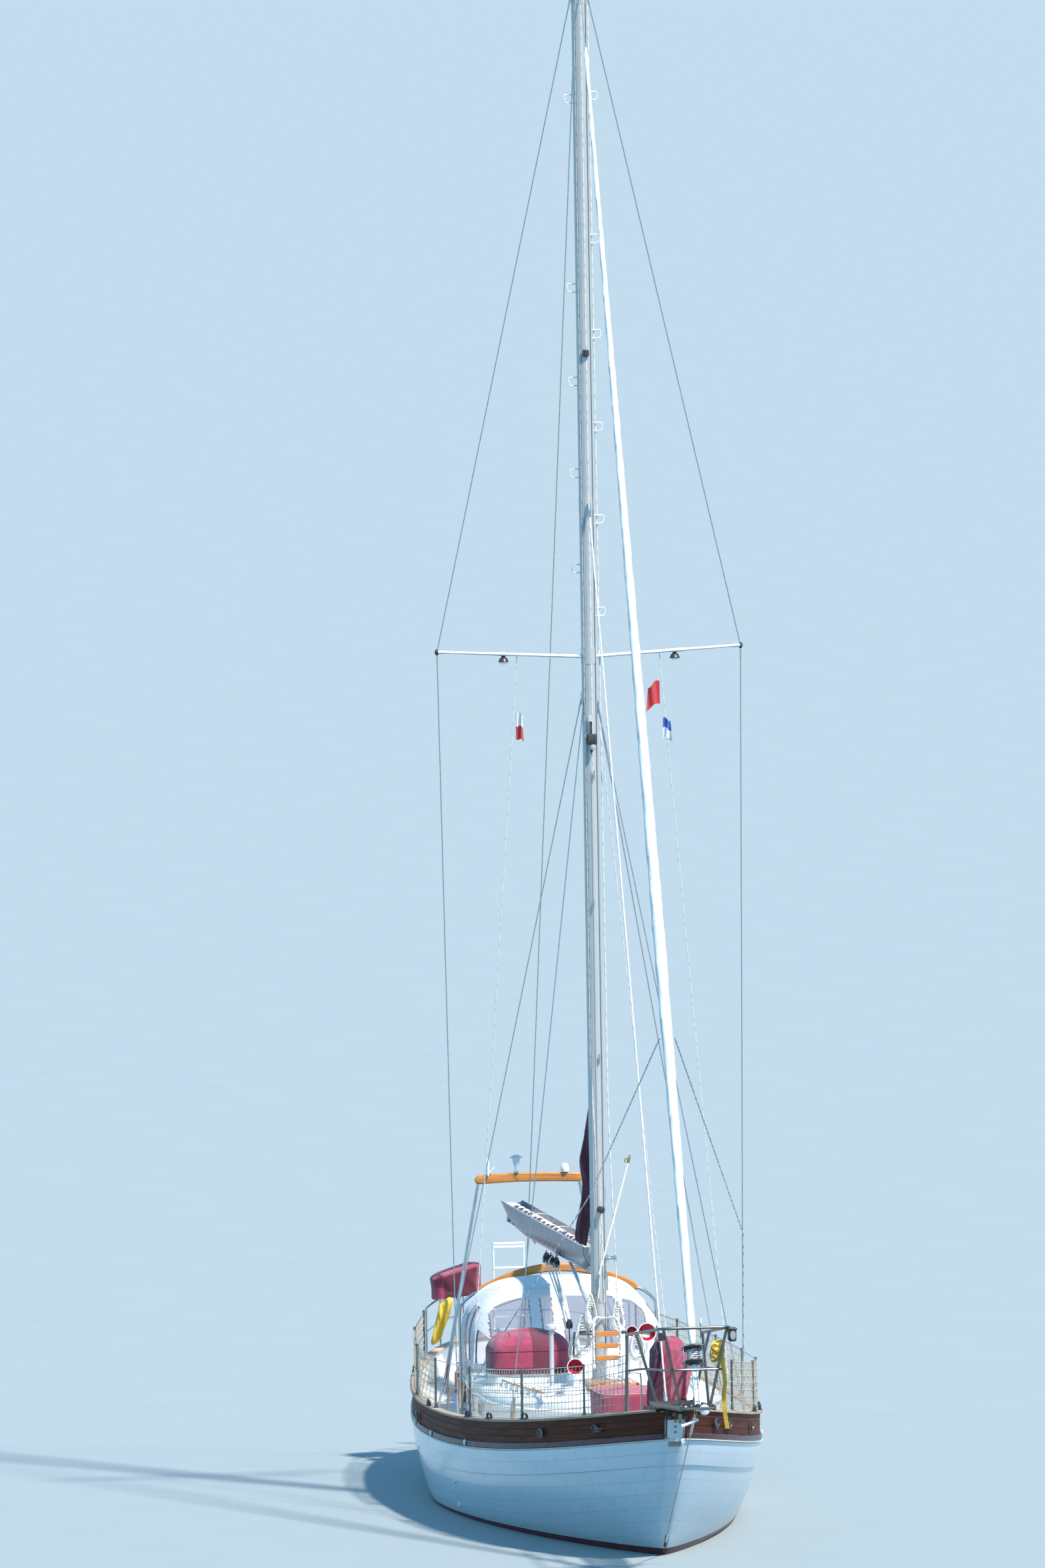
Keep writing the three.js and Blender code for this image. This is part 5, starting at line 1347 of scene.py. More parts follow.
def make_guardrails():
    """Stanchions with flanged feet, and two wires through them."""
    posts, wires = Shape(), Shape()
    for _, sign in SIDES:
        for x in STANCHIONS:
            foot = (x, rail_side(x, sign), cap_z(x))
            posts.lathe([(0, -0.001), (0.036, -0.001), (0.036, 0.004), (0.030, 0.008),
                         (0.018, 0.012), (0.0165, 0.05), (0.013, 0.055), (0.0125, 0.55),
                         (0.0135, 0.553), (0.0135, 0.566), (0.008, 0.572), (0, 0.573)], foot,
                        steps=16)
            for up in (RAILING["high"] - 0.012, RAILING["mid"]):
                posts.lathe([(0.0145, -0.010), (0.016, -0.007), (0.016, 0.007), (0.0145, 0.010)],
                            (foot[0], foot[1], foot[2] + up), steps=16)
        for fore, aft in zip(STANCHIONS, STANCHIONS[1:]):
            for up, radius in ((RAILING["high"] - 0.012, 0.005), (RAILING["mid"], 0.0045)):
                ends = [np.array((x, rail_side(x, sign), cap_z(x) + up)) for x in (fore, aft)]
                line = [mix(*ends, s) - (0, 0, 0.016 * s * (1 - s)) for s in np.linspace(0, 1, 9)]
                wires.tube(line, radius, 6)
    posts.place("stanchions", "hull", "steel", "dull steel",
                replaces=("guardrail_port", "guardrail_starboard"))
    wires.place("guardrail_wires", "hull", "steel", "wire")


PUSHPIT = {"fore": -4.56, "round": 1.23}      # where its sides end, and how far aft it bends


def pushpit_curve(up, steps=48):
    """The stern rail's path, at a height above the cap rail."""
    points = []
    for i in range(steps + 1):
        turn = i / steps * math.pi
        x = PUSHPIT["fore"] - PUSHPIT["round"] * math.sin(turn)
        wide = rail_side(PUSHPIT["fore"], 1) * math.cos(turn)
        most = float(half_breadth(RAIL, x)) - RAILING["inset"]
        points.append((x, math.copysign(min(abs(wide), most), wide), cap_z(x) + up))
    return points


def make_pushpit():
    """The stern rail, bent round the canoe stern."""
    shape = Shape()
    top = pushpit_curve(RAILING["high"])
    shape.tube(top, 0.013, 12).tube(pushpit_curve(RAILING["mid"]), 0.010, 10)
    for i in (0, 8, 16, 32, 40, 48):
        x, y, z = top[i]
        shape.bar((x, y, cap_z(x) - 0.002), (x, y, z), 0.0125, 12)
        shape.lathe([(0, -0.001), (0.036, -0.001), (0.036, 0.004), (0.030, 0.008), (0.014, 0.012)],
                    (x, y, cap_z(x)), steps=16)
    shape.place("pushpit_tubes", "hull", "steel", "steel", replaces=("pushpit",))


LADDER = {"x": -5.975, "hinge": 1.440, "half": 0.180, "high": 1.012}


def make_ladder():
    """The folding stern ladder, with flattened treads."""
    shape = Shape()
    x, low, half = LADDER["x"], LADDER["hinge"], LADDER["half"]
    top = low + LADDER["high"]
    for sign in (-1, 1):
        shape.tube([(x, sign * half, mix(low, top, s)) for s in np.linspace(0, 1, 9)], 0.012, 12)
        shape.lathe([(0.018, -0.014), (0.021, -0.010), (0.021, 0.010), (0.018, 0.014)],
                    (x, sign * half, low), (0, 1, 0), 16)
    shape.block((x - 0.015, -half - 0.008, top - 0.060), (x + 0.015, half + 0.008, top - 0.026),
                0.008)
    for i in range(4):
        z = low + 0.150 + i * 0.2867
        shape.block((x - 0.015, -half - 0.008, z - 0.014), (x + 0.015, half + 0.008, z + 0.014),
                    0.008)
    shape.bar((x, -half, low), (x, half, low), 0.0075, 12)
    shape.place("ladder_tubes", "ladder", "hull_white", "white", replaces=("boarding_ladder",))


# Cloth: the sprayhood, covers and bags.

def thickened(shape, thick, name, body, slot, *paints, replaces=(), crease=60, smooth=0):
    """A sheet smoothed and given its thickness, inward."""
    rough = bpy.data.objects.new(name, shape.mesh(name, crease))
    scene.collection.objects.link(rough)
    for label in paints:
        rough.data.materials.append(PAINT[label])
    if smooth:
        modifier = rough.modifiers.new("smooth", "SUBSURF")
        modifier.levels = modifier.render_levels = smooth
    modifier = rough.modifiers.new("thickness", "SOLIDIFY")
    modifier.thickness, modifier.offset = thick, -1
    return put(baked(rough, crease), name, body, slot, (), replaces)


def cloth_area(piece):
    """The area of one side of a cloth with two sides."""
    return sum(face.area for face in piece.data.polygons) / 2


def ripple(t, seed, count):
    """Uneven folds round a loop, from 0 at a fold's outside to 1 in its hollow."""
    wave = (math.sin(count * t + seed) + 0.6 * math.sin((count + 3) * t + 2.1 * seed)
            + 0.5 * math.sin((2 * count - 1) * t + 0.7 * seed))
    return 0.5 + wave / 4.2


def cover(low, high, pull, crown, folds, count, seed, square, sag, shaded=None):
    """A cover's sheet from its hem to its crown, with folds that deepen towards the hem.

    The pull draws the shoulders in, and the sag lets the sides hollow. Shaded says of a
    place on it whether it takes the second paint, which is a painted shade.
    """
    rows, around = 30, 112
    low, high = np.array(low, float), np.array(high, float)
    centre, half = (low + high)[:2] / 2, (high - low)[:2] / 2
    rings = []
    for j in range(rows + 1):
        share = j / rows
        up, inset = min(1.0, share / 0.62), max(0.0, (share - 0.62) / 0.38)
        height = high[2] - crown - pull
        z = mix(low[2], height, up)
        bend = min(1.0, inset / 0.4)
        z += pull * math.sin(bend * math.pi / 2) if inset else 0.0
        shrink = pull * (1 - math.cos(bend * math.pi / 2)) if inset else 0.0
        over = max(0.0, (inset - 0.4) / 0.6)
        z += crown * (1 - (1 - over) ** 2)
        ring = []
        for i in range(around):
            t = i / around * 2 * math.pi
            c, s = math.cos(t), math.sin(t)
            power = mix(square, 0.75, over)
            a, b = (math.copysign(abs(v) ** power, v) for v in (c, s))
            depth = folds * ripple(t, seed, count) * (1 - 0.8 * up * (1 - inset)) * (1 - over)
            depth += sag * math.sin(math.pi * up * 0.9) * abs(math.sin(2 * t)) * (1 - over)
            depth += 0.35 * folds * ripple(t + 0.8 * z * seed, 3 * seed, 3) * (1 - over)
            wide = (half - shrink) * (1 - over * 0.999)
            slack = 0.35 * crown * ripple(t, 2 * seed, 3) * over * (1 - over)
            ring.append((centre[0] + a * max(0.0, wide[0] - depth),
                         centre[1] + b * max(0.0, wide[1] - depth), z - slack))
        rings.append(ring)
    choose = (lambda j, i: int(shaded(*rings[j][i]))) if shaded else 0
    return Shape().loft(rings, choose, ends=False), rings


def declare_cover(piece, size):
    """The cloth's area, held between shares of its plan with the drops opened out; nothing is done
    with it.
    """
    area = cloth_area(piece)
    x, y, drop = size
    flat = (x + 2 * drop, y + 2 * drop)
    area = min(max(area, 0.31 * flat[0] * flat[1]), 0.99 * flat[0] * flat[1])


def piping(rings, row, out=0.0):
    """A cord sewn along one row of a cover."""
    loop = np.asarray(rings[row], float)
    middle = loop.mean(0)
    way = loop - middle
    way[:, 2] = 0
    loop = loop + way / np.maximum(np.linalg.norm(way, axis=1)[:, None], 1e-6) * out
    return np.concatenate([loop, loop[:1]])


def make_covers():
    """The burgundy covers: over the hatch, on the foredeck, on the stay and on the quarter."""
    foot = Shape()
    foot.loft([[(x * grow, -0.71 + y * grow, z) for x, y in rounded(0.315, 0.445, 0.10, 6)]
               for z, grow in ((1.395, 1.0), (1.60, 0.97), (1.615, 0.94))])
    foot.place("hatch_coaming", "hull", "hull_white", "gelcoat")
    low, high = (-0.345, -1.185, 1.565), (0.345, -0.235, 2.060)

    # Painted shade: the hem, an upright panel on the hood's front and its starboard edge take the
    # darker burgundy.
    def shaded(x, y, z):
        return z < 1.63 or -0.715 < y < -0.50 and x > -0.1 or y < -1.15

    shape, rings = cover(low, high, 0.22, 0.05, 0.012, 5, 1.7, 0.46, 0.012, shaded)
    hood = thickened(shape, 0.004, "hatch_hood_cloth", "hull", "burgundy", "burgundy",
                     "burgundy for binding and shade", replaces=("hatch_hood",), smooth=1)
    trim = Shape().tube(piping(rings, 1), 0.007, 6).tube(piping(rings, 19), 0.0045, 6)
    for y in (-0.95, -0.50):
        top = [(x, y, surface(rings, x, y) + 0.001) for x in np.linspace(-0.22, 0.22, 19)]
        trim.tube(top, 0.0035, 6)
    cord = trim.place("hatch_hood_piping", "hull", "burgundy", "burgundy for binding and shade")
    declare_cover(hood, (0.69, 0.95, 0.50))

    low, high = (2.725, -0.475, 1.10), (3.645, 0.245, 1.695)
    shape, rings = cover(low, high, 0.05, 0.035, 0.010, 6, 0.6, 0.30, 0.010)
    box = thickened(shape, 0.004, "foredeck_cover_cloth", "hull", "burgundy", "burgundy",
                    replaces=("foredeck_cover",), smooth=1)
    trim = Shape().tube(piping(rings, 1), 0.007, 6)
    trim.tube(piping(rings, 21), 0.008, 8)
    for x in (3.0, 3.37):
        trim.tube([(x, y, surface(rings, x, y) + 0.001) for y in np.linspace(-0.42, 0.19, 19)],
                  0.0035, 6)
    cord = trim.place("foredeck_cover_piping", "hull", "burgundy", "tan webbing")
    declare_cover(box, (0.92, 0.72, 0.6))

    make_sail_bag()
    make_quarter_cover()


def surface(rings, x, y):
    """The height of a cover at a place in its plan."""
    points = np.asarray(rings[len(rings) * 3 // 5:], float).reshape(-1, 3)
    near = np.hypot(points[:, 0] - x, points[:, 1] - y)
    order = np.argsort(near)[:4]
    weight = 1 / (near[order] + 1e-4)
    return float((points[order, 2] * weight).sum() / weight.sum())


def make_sail_bag():
    """A tall bag gathered round the inner stay, leaning to port in deep folds."""
    low, high = 1.14, 2.40
    rings = []
    for j in range(49):
        z = mix(low, high - 0.01, (j / 48) ** 0.9)
        y = np.interp(z, (1.14, 1.70, 2.03, 2.40), (0.07, 0.08, 0.125, 0.090))
        wide = np.interp(z, (1.14, 1.30, 1.70, 2.03, 2.25, 2.36, 2.39),
                         (0.20, 0.245, 0.235, 0.255, 0.215, 0.15, 0.08))
        deep = wide * 1.02
        ring = []
        for i in range(132):
            t = i / 132 * 2 * math.pi
            lag = t + 0.5 * math.sin(3.1 * (z - low))
            fold = abs(math.sin(3.5 * lag + 4.5 * z)) ** 0.7 - 0.5
            depth = 0.034 * fold + 0.030 * ripple(lag, 2.3, 6) + 0.014 * ripple(
                1.3 * t - 6 * z, 5.1, 9)
            ring.append((4.82 + math.cos(t) * max(0.03, deep - depth),
                         y + math.sin(t) * max(0.03, wide - depth),
                         z + 0.012 * math.sin(4 * t + 3 * z)))
        rings.append(ring)
    last = np.array(rings[-1])
    for share, rise_by in ((0.6, 0.012), (0.25, 0.004), (0.12, -0.05)):
        rings.append(mix(last.mean(0), last, share) + (0, 0, rise_by))
    # Painted shade: the bag's starboard half takes the burgundy painted in shade.
    shape = Shape().loft(rings, lambda j, i: int(rings[j][i % 132][1] < 0.0), ends=False)
    bag = thickened(shape, 0.004, "sail_bag_cloth", "hull", "burgundy", "burgundy",
                    "burgundy painted shade", replaces=("sail_bag",), smooth=1)
    trim = Shape()
    loop = piping(rings, 20, out=0.002)
    trim.loft([loop + (0, 0, -0.012), loop + (0, 0, 0.012)], closed=False)
    webbing = thickened(trim, 0.002, "sail_bag_straps", "hull", "burgundy", "burgundy for binding and shade")
    min(max(cloth_area(bag), 0.95), 2.85)


def make_quarter_cover():
    """The cover on the starboard quarter: a wide skirt and a flap that stands out."""
    low, high = np.array((-5.19, -1.08, 1.925)), np.array((-4.75, -0.48, 2.372))
    _, rings = cover(low, high, 0.060, 0.025, 0.026, 4, 3.3, 0.38, 0.03)

    # Painted shade: a middle panel on the skirt's fore part takes the darker burgundy.
    def shaded(j, i):
        x, y, z = rings[j][i % len(rings[j])]
        across, up = (y - low[1]) / (high[1] - low[1]), (z - low[2]) / (high[2] - low[2])
        return int(x > -4.86 and 0.21 < across < 0.86 and up < 0.80)

    shape = Shape().loft(rings, shaded, ends=False)
    points = []
    for x, y, z in shape.points:
        share = (y - low[1]) / (high[1] - low[1])
        up = (z - low[2]) / (high[2] - low[2])
        drop = 0.17 * (1 - share) ** 1.3
        crumple = 0.010 * math.sin(19 * y + 7 * z) * math.sin(13 * z + 5 * y)
        points.append((x + crumple, y, z - drop * up + 0.06 * share * (1 - up)))
    shape.points = points
    quarter = thickened(shape, 0.004, "quarter_cover_cloth", "hull", "burgundy", "burgundy",
                        "burgundy for binding and shade", replaces=("quarter_cover",), smooth=1)
    declare_cover(quarter, (0.44, 0.60, 0.36))


# Sprayhood.

HOOD_X = (-1.02, -1.25, -1.55, -1.85, -2.18)
HOOD_TOP = (1.62, 1.98, 2.33, 2.42, 2.43)
HOOD_HALF = (0.90, 1.00, 1.07, 1.10, 1.10)
HOOD_HEM = 1.19                   # its lowest edge, aft of the deckhouse
HOOD_ROWS, HOOD_COLUMNS = 40, 168
HOOD_PANES = ((-0.935, -0.465), (-0.345, -0.205), (-0.100, 0.195), (0.275, 0.520), (0.600, 0.865))
HOOD_FRONT = (3, 21)               # the rows that the front panes reach between
HOOD_SIDES = ((11, 22, 5, 25), (25, 36, 5, 36))   # rows, then columns


def hood_line(x, top, half, inset=0.0, count=HOOD_COLUMNS):
    """An arch of the sprayhood above the roof, in even steps from starboard to port."""
    turn = np.linspace(0, math.pi, 721)
    c, s = np.cos(turn), np.sin(turn).clip(0)
    z = 1.1 + (top - 1.1 - inset) * s ** 0.62
    swell = 1 + 0.06 * np.sin(np.clip((z - 1.25) / (top - 1.25), 0, 1) * math.pi)
    y = -(half - inset) * np.sign(c) * np.abs(c) ** 0.46 * swell
    y -= 0.05 * np.clip((z - 1.7) / 0.4, 0, 1)
    base = np.array([roof_z(x, v) + 0.004 if x > HOUSE["aft"] else HOOD_HEM for v in y])
    keep = z >= base
    y, z = y[keep], z[keep]
    run = np.concatenate([[0], np.cumsum(np.hypot(np.diff(y), np.diff(z)))])
    even = np.linspace(0, run[-1], count + 1)
    return np.interp(even, run, y), np.interp(even, run, z)


def hood_rows():
    """The sprayhood's arches: x, top and half-width, from its front to its open end."""
    profile = smooth_line(np.stack([HOOD_X, HOOD_TOP, HOOD_HALF], 1), 24)
    run = run_along(profile)
    even = np.linspace(0, run[-1], HOOD_ROWS + 1)
    return [[float(np.interp(e, run, profile[:, k])) for k in range(3)] for e in even]


def make_sprayhood():
    """A canvas hood with clear panels, sewn over three bent tubes."""
    rows = hood_rows()
    grid = []
    for x, top, half in rows:
        y, z = hood_line(x, top, half)
        line = []
        for i, (a, b) in enumerate(zip(y, z)):
            s = i / HOOD_COLUMNS
            hoop = min(abs(x - h) for h in (-1.55, -2.16))
            dip = 0.012 * min(1.0, hoop / 0.25) * math.sin(math.pi * s)
            dip += 0.004 * math.sin(26 * s + 9 * x) * math.sin(math.pi * s)
            line.append((x, a * (1 - dip / 2), b - dip))
        grid.append(line)
    grid = np.array(grid)

    def spot(across, row, lift):
        """A point on the hood's front, a little above the cloth."""
        ends = []
        for j in (int(row), min(int(row) + 1, HOOD_ROWS)):
            line = grid[j][grid[j][:, 1].argmin():grid[j][:, 1].argmax() + 1]
            ends.append([np.interp(across, line[:, 1], line[:, k]) for k in range(3)])
        return mix(np.array(ends[0]), np.array(ends[1]), row - int(row)) + (lift, 0, lift)

    def in_front(y, j):
        return any(a < y < b for a, b in HOOD_PANES) and HOOD_FRONT[0] <= j < HOOD_FRONT[1]

    def in_side(j, i):
        return any(a <= j < b and (c <= i < d or c <= HOOD_COLUMNS - 1 - i < d)
                   for a, b, c, d in HOOD_SIDES)

    first = grid[0] + (0.004, 0, 0)
    garage_top = roof_z(-1.5, 0) + 0.098
    first[:, 2] = [garage_top if abs(y) < 0.40 else roof_z(x, y) + 0.003 for x, y, _ in grid[0]]
    shape = Shape().loft([first] + list(grid), lambda j, i: int(
        j > 0 and (in_front((grid[j - 1][i][1] + grid[j - 1][i + 1][1]) / 2, j - 1)
                   or in_side(j - 1, i))), closed=False)
    hood = thickened(shape, 0.003, "sprayhood_cloth", "hull", "canvas", "canvas", "clear",
                     replaces=("sprayhood",), crease=70)

    strips = Shape()
    low, high = HOOD_FRONT
    for a, b in HOOD_PANES:
        strips.loft([[spot((a + b) / 2 + u, (low + high) / 2 + v, 0.002) for u, v in
                      rounded((b - a) / 2 + grow, (high - low) / 2 + grow * 24, 0.045, 6)]
                     for grow in (0.020, -0.014)], ends=False)

    def edge(j0, j1, a, b, out, grow):
        """A loop on the hood round a side window."""
        loop = ([(j0 - grow, i) for i in range(a, b + 1)]
                + [(j, b + grow) for j in range(j0, j1 + 1)]
                + [(j1 + grow, i) for i in range(b, a - 1, -1)]
                + [(j, a - grow) for j in range(j1, j0 - 1, -1)])
        return [mix(grid[int(j)][int(i)], grid[min(int(j) + 1, HOOD_ROWS)]
                    [min(int(i) + 1, HOOD_COLUMNS)], 0.5 * (j % 1 + i % 1))
                + (0, out, 0.001) for j, i in loop]

    for j0, j1, i0, i1 in HOOD_SIDES:
        for a, b, out in ((i0, i1, -0.003), (HOOD_COLUMNS - i1, HOOD_COLUMNS - i0, 0.003)):
            strips.loft([edge(j0, j1, a, b, out, grow) for grow in (0.5, -0.5)], ends=False)
    binding = thickened(strips, 0.0012, "sprayhood_binding", "hull", "canvas", "canvas")
    trim = Shape()
    for j in (22, 24, HOOD_ROWS):
        trim.tube(grid[j] + (0, 0, 0.001), 0.006 if j == HOOD_ROWS else 0.004, 6)
    hems = trim.place("sprayhood_hems", "hull", "canvas", "canvas")
    min(max(cloth_area(hood), 2.7), 8.5)

    hoops = Shape()
    for x, drop in ((-1.56, 0.016), (-1.86, 0.018), (-2.15, 0.016)):
        top = float(np.interp(-x, [-v for v in HOOD_X], HOOD_TOP))
        half = float(np.interp(-x, [-v for v in HOOD_X], HOOD_HALF))
        y, z = hood_line(x, top, half, drop + 0.022, 40)
        hoops.tube([(x, a, b - 0.012) for a, b in zip(y, z)], 0.011, 10)
    hoops.place("sprayhood_hoops", "hull", "steel", "steel")


def make_sling():
    """The yellow rescue sling's bag on the quarter rail, folded and creased."""
    rings = []
    top, foot = np.array((-4.64, -0.935, 1.960)), np.array((-4.64, -1.095, 1.425))
    for u in np.linspace(0, 1, 45):
        centre = mix(foot, top, u) + np.array((0, 0.014 * math.sin(math.pi * u), 0))
        swell = mix(0.62, 1.0, min(1.0, u / 0.75)) * (0.30 + 0.70 * min(1, 9 * u, 9 * (1 - u))
                                                      ** 0.5)
        ring = []
        for i in range(64):
            t = i / 64 * 2 * math.pi
            dent = 0.13 * math.sin(3 * t + 5 * u) * math.sin(8 * u + 1.2 * math.sin(t)) + 0.05 * (
                math.sin(7 * t + 21 * u))
            a, b = (math.copysign(abs(v) ** 0.7, v) for v in (math.cos(t), math.sin(t)))
            ring.append(centre + (0.070 * swell * a * (1 - dent), 0.084 * swell * b * (1 - dent),
                                  0.10 * b * 0.3 * swell))
        rings.append(ring)
    shape = Shape().loft(rings)
    bag = shape.place("sling_bag", "hull", "yellow", "webbing", replaces=("rescue_sling",),
                      crease=60)
    handle = Shape()
    path = [top + (0, -0.02, -0.02), top + (0.01, 0.03, 0.05), top + (0, 0.10, 0.04),
            top + (0, 0.12, -0.03)]
    handle.tube(smooth_line(path, 8), 0.010, 8)
    handle.place("sling_strap", "hull", "black", "rubber")


# Geometry Nodes trees for what repeats.

def geo(tree, kind, inputs=None, prefix="GeometryNode", **settings):
    """A new geometry node, made as a shader node is."""
    return add(tree, kind, inputs, prefix, **settings)


def geometry_tree(name, inputs):
    """A tree with a geometry, numbers and a finish going in, and one geometry out."""
    tree = bpy.data.node_groups.new(name, "GeometryNodeTree")
    tree.interface.new_socket("Geometry", in_out="INPUT", socket_type="NodeSocketGeometry")
    for label, value in inputs.items():
        kind = "NodeSocketInt" if isinstance(value, int) else "NodeSocketFloat"
        tree.interface.new_socket(label, in_out="INPUT", socket_type=kind).default_value = value
    tree.interface.new_socket("Finish", in_out="INPUT", socket_type="NodeSocketMaterial")
    tree.interface.new_socket("Geometry", in_out="OUTPUT", socket_type="NodeSocketGeometry")
    return tree, tree.nodes.new("NodeGroupInput").outputs, tree.nodes.new("NodeGroupOutput").inputs


def finish_tree(tree, given, out, geometry):
    """Every tree ends in real geometry with its finish."""
    real = geo(tree, "RealizeInstances", {"Geometry": geometry})
    painted = geo(tree, "SetMaterial", {"Geometry": real.outputs[0], "Material": given["Finish"]})
    tree.links.new(painted.outputs[0], out["Geometry"])
    return tree


def make_net_tree():
    """Thin cords along the edges of a mesh."""
    tree, given, out = geometry_tree("cord net", {"Radius": 0.002, "Sides": 4})
    line = geo(tree, "MeshToCurve", {"Mesh": given["Geometry"]})
    ring = geo(tree, "CurvePrimitiveCircle", {"Resolution": given["Sides"],
                                              "Radius": given["Radius"]})
    skin = geo(tree, "CurveToMesh", {"Curve": line.outputs[0], "Profile Curve": ring.outputs[0],
                                     "Fill Caps": True})
    return finish_tree(tree, given, out, skin.outputs[0])


def make_stud_tree():
    """Low domed studs at the corners of a mesh, facing the way that each point's normal says."""
    tree, given, out = geometry_tree("domed studs", {"Radius": 0.006, "Height": 0.35, "Sides": 8})
    ball = geo(tree, "MeshUVSphere", {"Segments": given["Sides"], "Rings": 6,
                                      "Radius": given["Radius"]})
    flat = geo(tree, "Transform", {"Geometry": ball.outputs[0]})
    size = add(tree, "CombineXYZ", {"X": 1.0, "Y": 1.0, "Z": given["Height"]})
    tree.links.new(size.outputs[0], flat.inputs["Scale"])
    facing = geo(tree, "InputNamedAttribute", {"Name": "facing"}, data_type="FLOAT_VECTOR")
    turn = geo(tree, "AlignRotationToVector", {"Vector": facing.outputs["Attribute"]},
               prefix="FunctionNode", axis="Z")
    spots = geo(tree, "InstanceOnPoints", {"Points": given["Geometry"],
                                           "Instance": flat.outputs[0],
                                           "Rotation": turn.outputs[0]})
    return finish_tree(tree, given, out, spots.outputs[0])


def make_stitch_tree():
    """Short stitches spaced along the edges of a mesh."""
    tree, given, out = geometry_tree("stitches", {"Spacing": 0.012, "Length": 0.007,
                                                  "Radius": 0.0011})
    line = geo(tree, "MeshToCurve", {"Mesh": given["Geometry"]})
    even = geo(tree, "ResampleCurve", {"Curve": line.outputs[0], "Length": given["Spacing"]},
               mode="LENGTH")
    thread = geo(tree, "MeshCylinder", {"Vertices": 4, "Radius": given["Radius"],
                                        "Depth": given["Length"]}, fill_type="NGON")
    way = geo(tree, "InputTangent")
    turn = geo(tree, "AlignRotationToVector", {"Vector": way.outputs[0]}, prefix="FunctionNode",
               axis="Z")
    spots = geo(tree, "InstanceOnPoints", {"Points": even.outputs[0],
                                           "Instance": thread.outputs["Mesh"],
                                           "Rotation": turn.outputs[0]})
    return finish_tree(tree, given, out, spots.outputs[0])


def make_step_tree():
    """Mast steps at points, each an upright loop of rod that stands out from the mast."""
    tree, given, out = geometry_tree("mast steps", {"Reach": 0.10, "Width": 0.045,
                                                    "Radius": 0.006})
    line = geo(tree, "MeshLine", {"Count": 4})
    last = None
    half = calc(tree, "MULTIPLY", given["Width"], 0.5)
    back = calc(tree, "MULTIPLY", half, -1.0)
    short = calc(tree, "MULTIPLY", given["Reach"], 0.85)
    index = geo(tree, "InputIndex").outputs[0]
    for number, (y, z) in enumerate(((0.0, back), (short, back), (given["Reach"], half),
                                     (0.0, half))):
        spot = add(tree, "CombineXYZ", {"X": 0.0, "Y": y, "Z": z})
        chosen = geo(tree, "Compare", {2: index, 3: number}, prefix="FunctionNode",
                     data_type="INT", operation="EQUAL")
        moved = geo(tree, "SetPosition", {"Geometry": last or line.outputs[0],
                                          "Selection": chosen.outputs[0],
                                          "Position": spot.outputs[0]})
        last = moved.outputs[0]
    bent = geo(tree, "FilletCurve", {"Curve": geo(tree, "MeshToCurve",
                                                  {"Mesh": last}).outputs[0],
                                     "Radius": calc(tree, "MULTIPLY", half, 0.5), "Count": 4},
               mode="POLY")
    ring = geo(tree, "CurvePrimitiveCircle", {"Resolution": 8, "Radius": given["Radius"]})
    skin = geo(tree, "CurveToMesh", {"Curve": bent.outputs[0], "Profile Curve": ring.outputs[0],
                                     "Fill Caps": True})
    spots = geo(tree, "InstanceOnPoints", {"Points": given["Geometry"],
                                           "Instance": skin.outputs[0]})
    return finish_tree(tree, given, out, spots.outputs[0])


NET_TREE, STUD_TREE = make_net_tree(), make_stud_tree()
STITCH_TREE, STEP_TREE = make_stitch_tree(), make_step_tree()


def grown(tree, name, body, slot, label, points, edges=(), facing=None, **sizes):
    """A piece that a tree makes on points and edges, turned into a plain mesh."""
    base = bpy.data.meshes.new(name)
    base.from_pydata([tuple(p) for p in points], [tuple(e) for e in edges], [])
    if facing is not None:
        attribute = base.attributes.new("facing", "FLOAT_VECTOR", "POINT")
        attribute.data.foreach_set("vector", np.asarray(facing, float).ravel())
    seed = bpy.data.objects.new(name, base)
    scene.collection.objects.link(seed)
    modifier = seed.modifiers.new("tree", "NODES")
    modifier.node_group = tree
    sizes["Finish"] = PAINT[label]
    for item in tree.interface.items_tree:
        if item.in_out == "INPUT" and item.name in sizes:
            modifier[item.identifier] = sizes[item.name]
    return put(baked(seed, 40), name, body, slot, ())


def chain(*paths):
    """Points and edges of several paths in one mesh."""
    points, edges = [], []
    for path in paths:
        first = len(points)
        points += [tuple(p) for p in path]
        edges += [(first + i, first + i + 1) for i in range(len(path) - 1)]
    return points, edges


# Mast and standing rigging.

MAST = {"x": 0.70, "across": 0.17, "along": 0.25, "foot": 1.482, "top": 17.24}
SPREADER = {"root": 9.68, "tip": 9.765, "inner": 0.086, "outer": 1.715}
STAY_TACK, STAY_HEAD = np.array((7.32, 0, 1.93)), np.array((0.85, 0, 17.12))
INNER_TACK, INNER_HEAD = (5.39, 0.0), np.array((0.84, 0, 11.4))


def mast_ring(z, grow=0.0, steps=40):
    """The mast's outline at a height, perhaps grown a little."""
    points = []
    for i in range(steps):
        t = i / steps * 2 * math.pi
        c, s = math.cos(t), math.sin(t)
        points.append((MAST["x"] + (MAST["along"] / 2 + grow) * math.copysign(abs(c) ** 0.86, c),
                       (MAST["across"] / 2 + grow) * math.copysign(abs(s) ** 0.92, s), z))
    return points


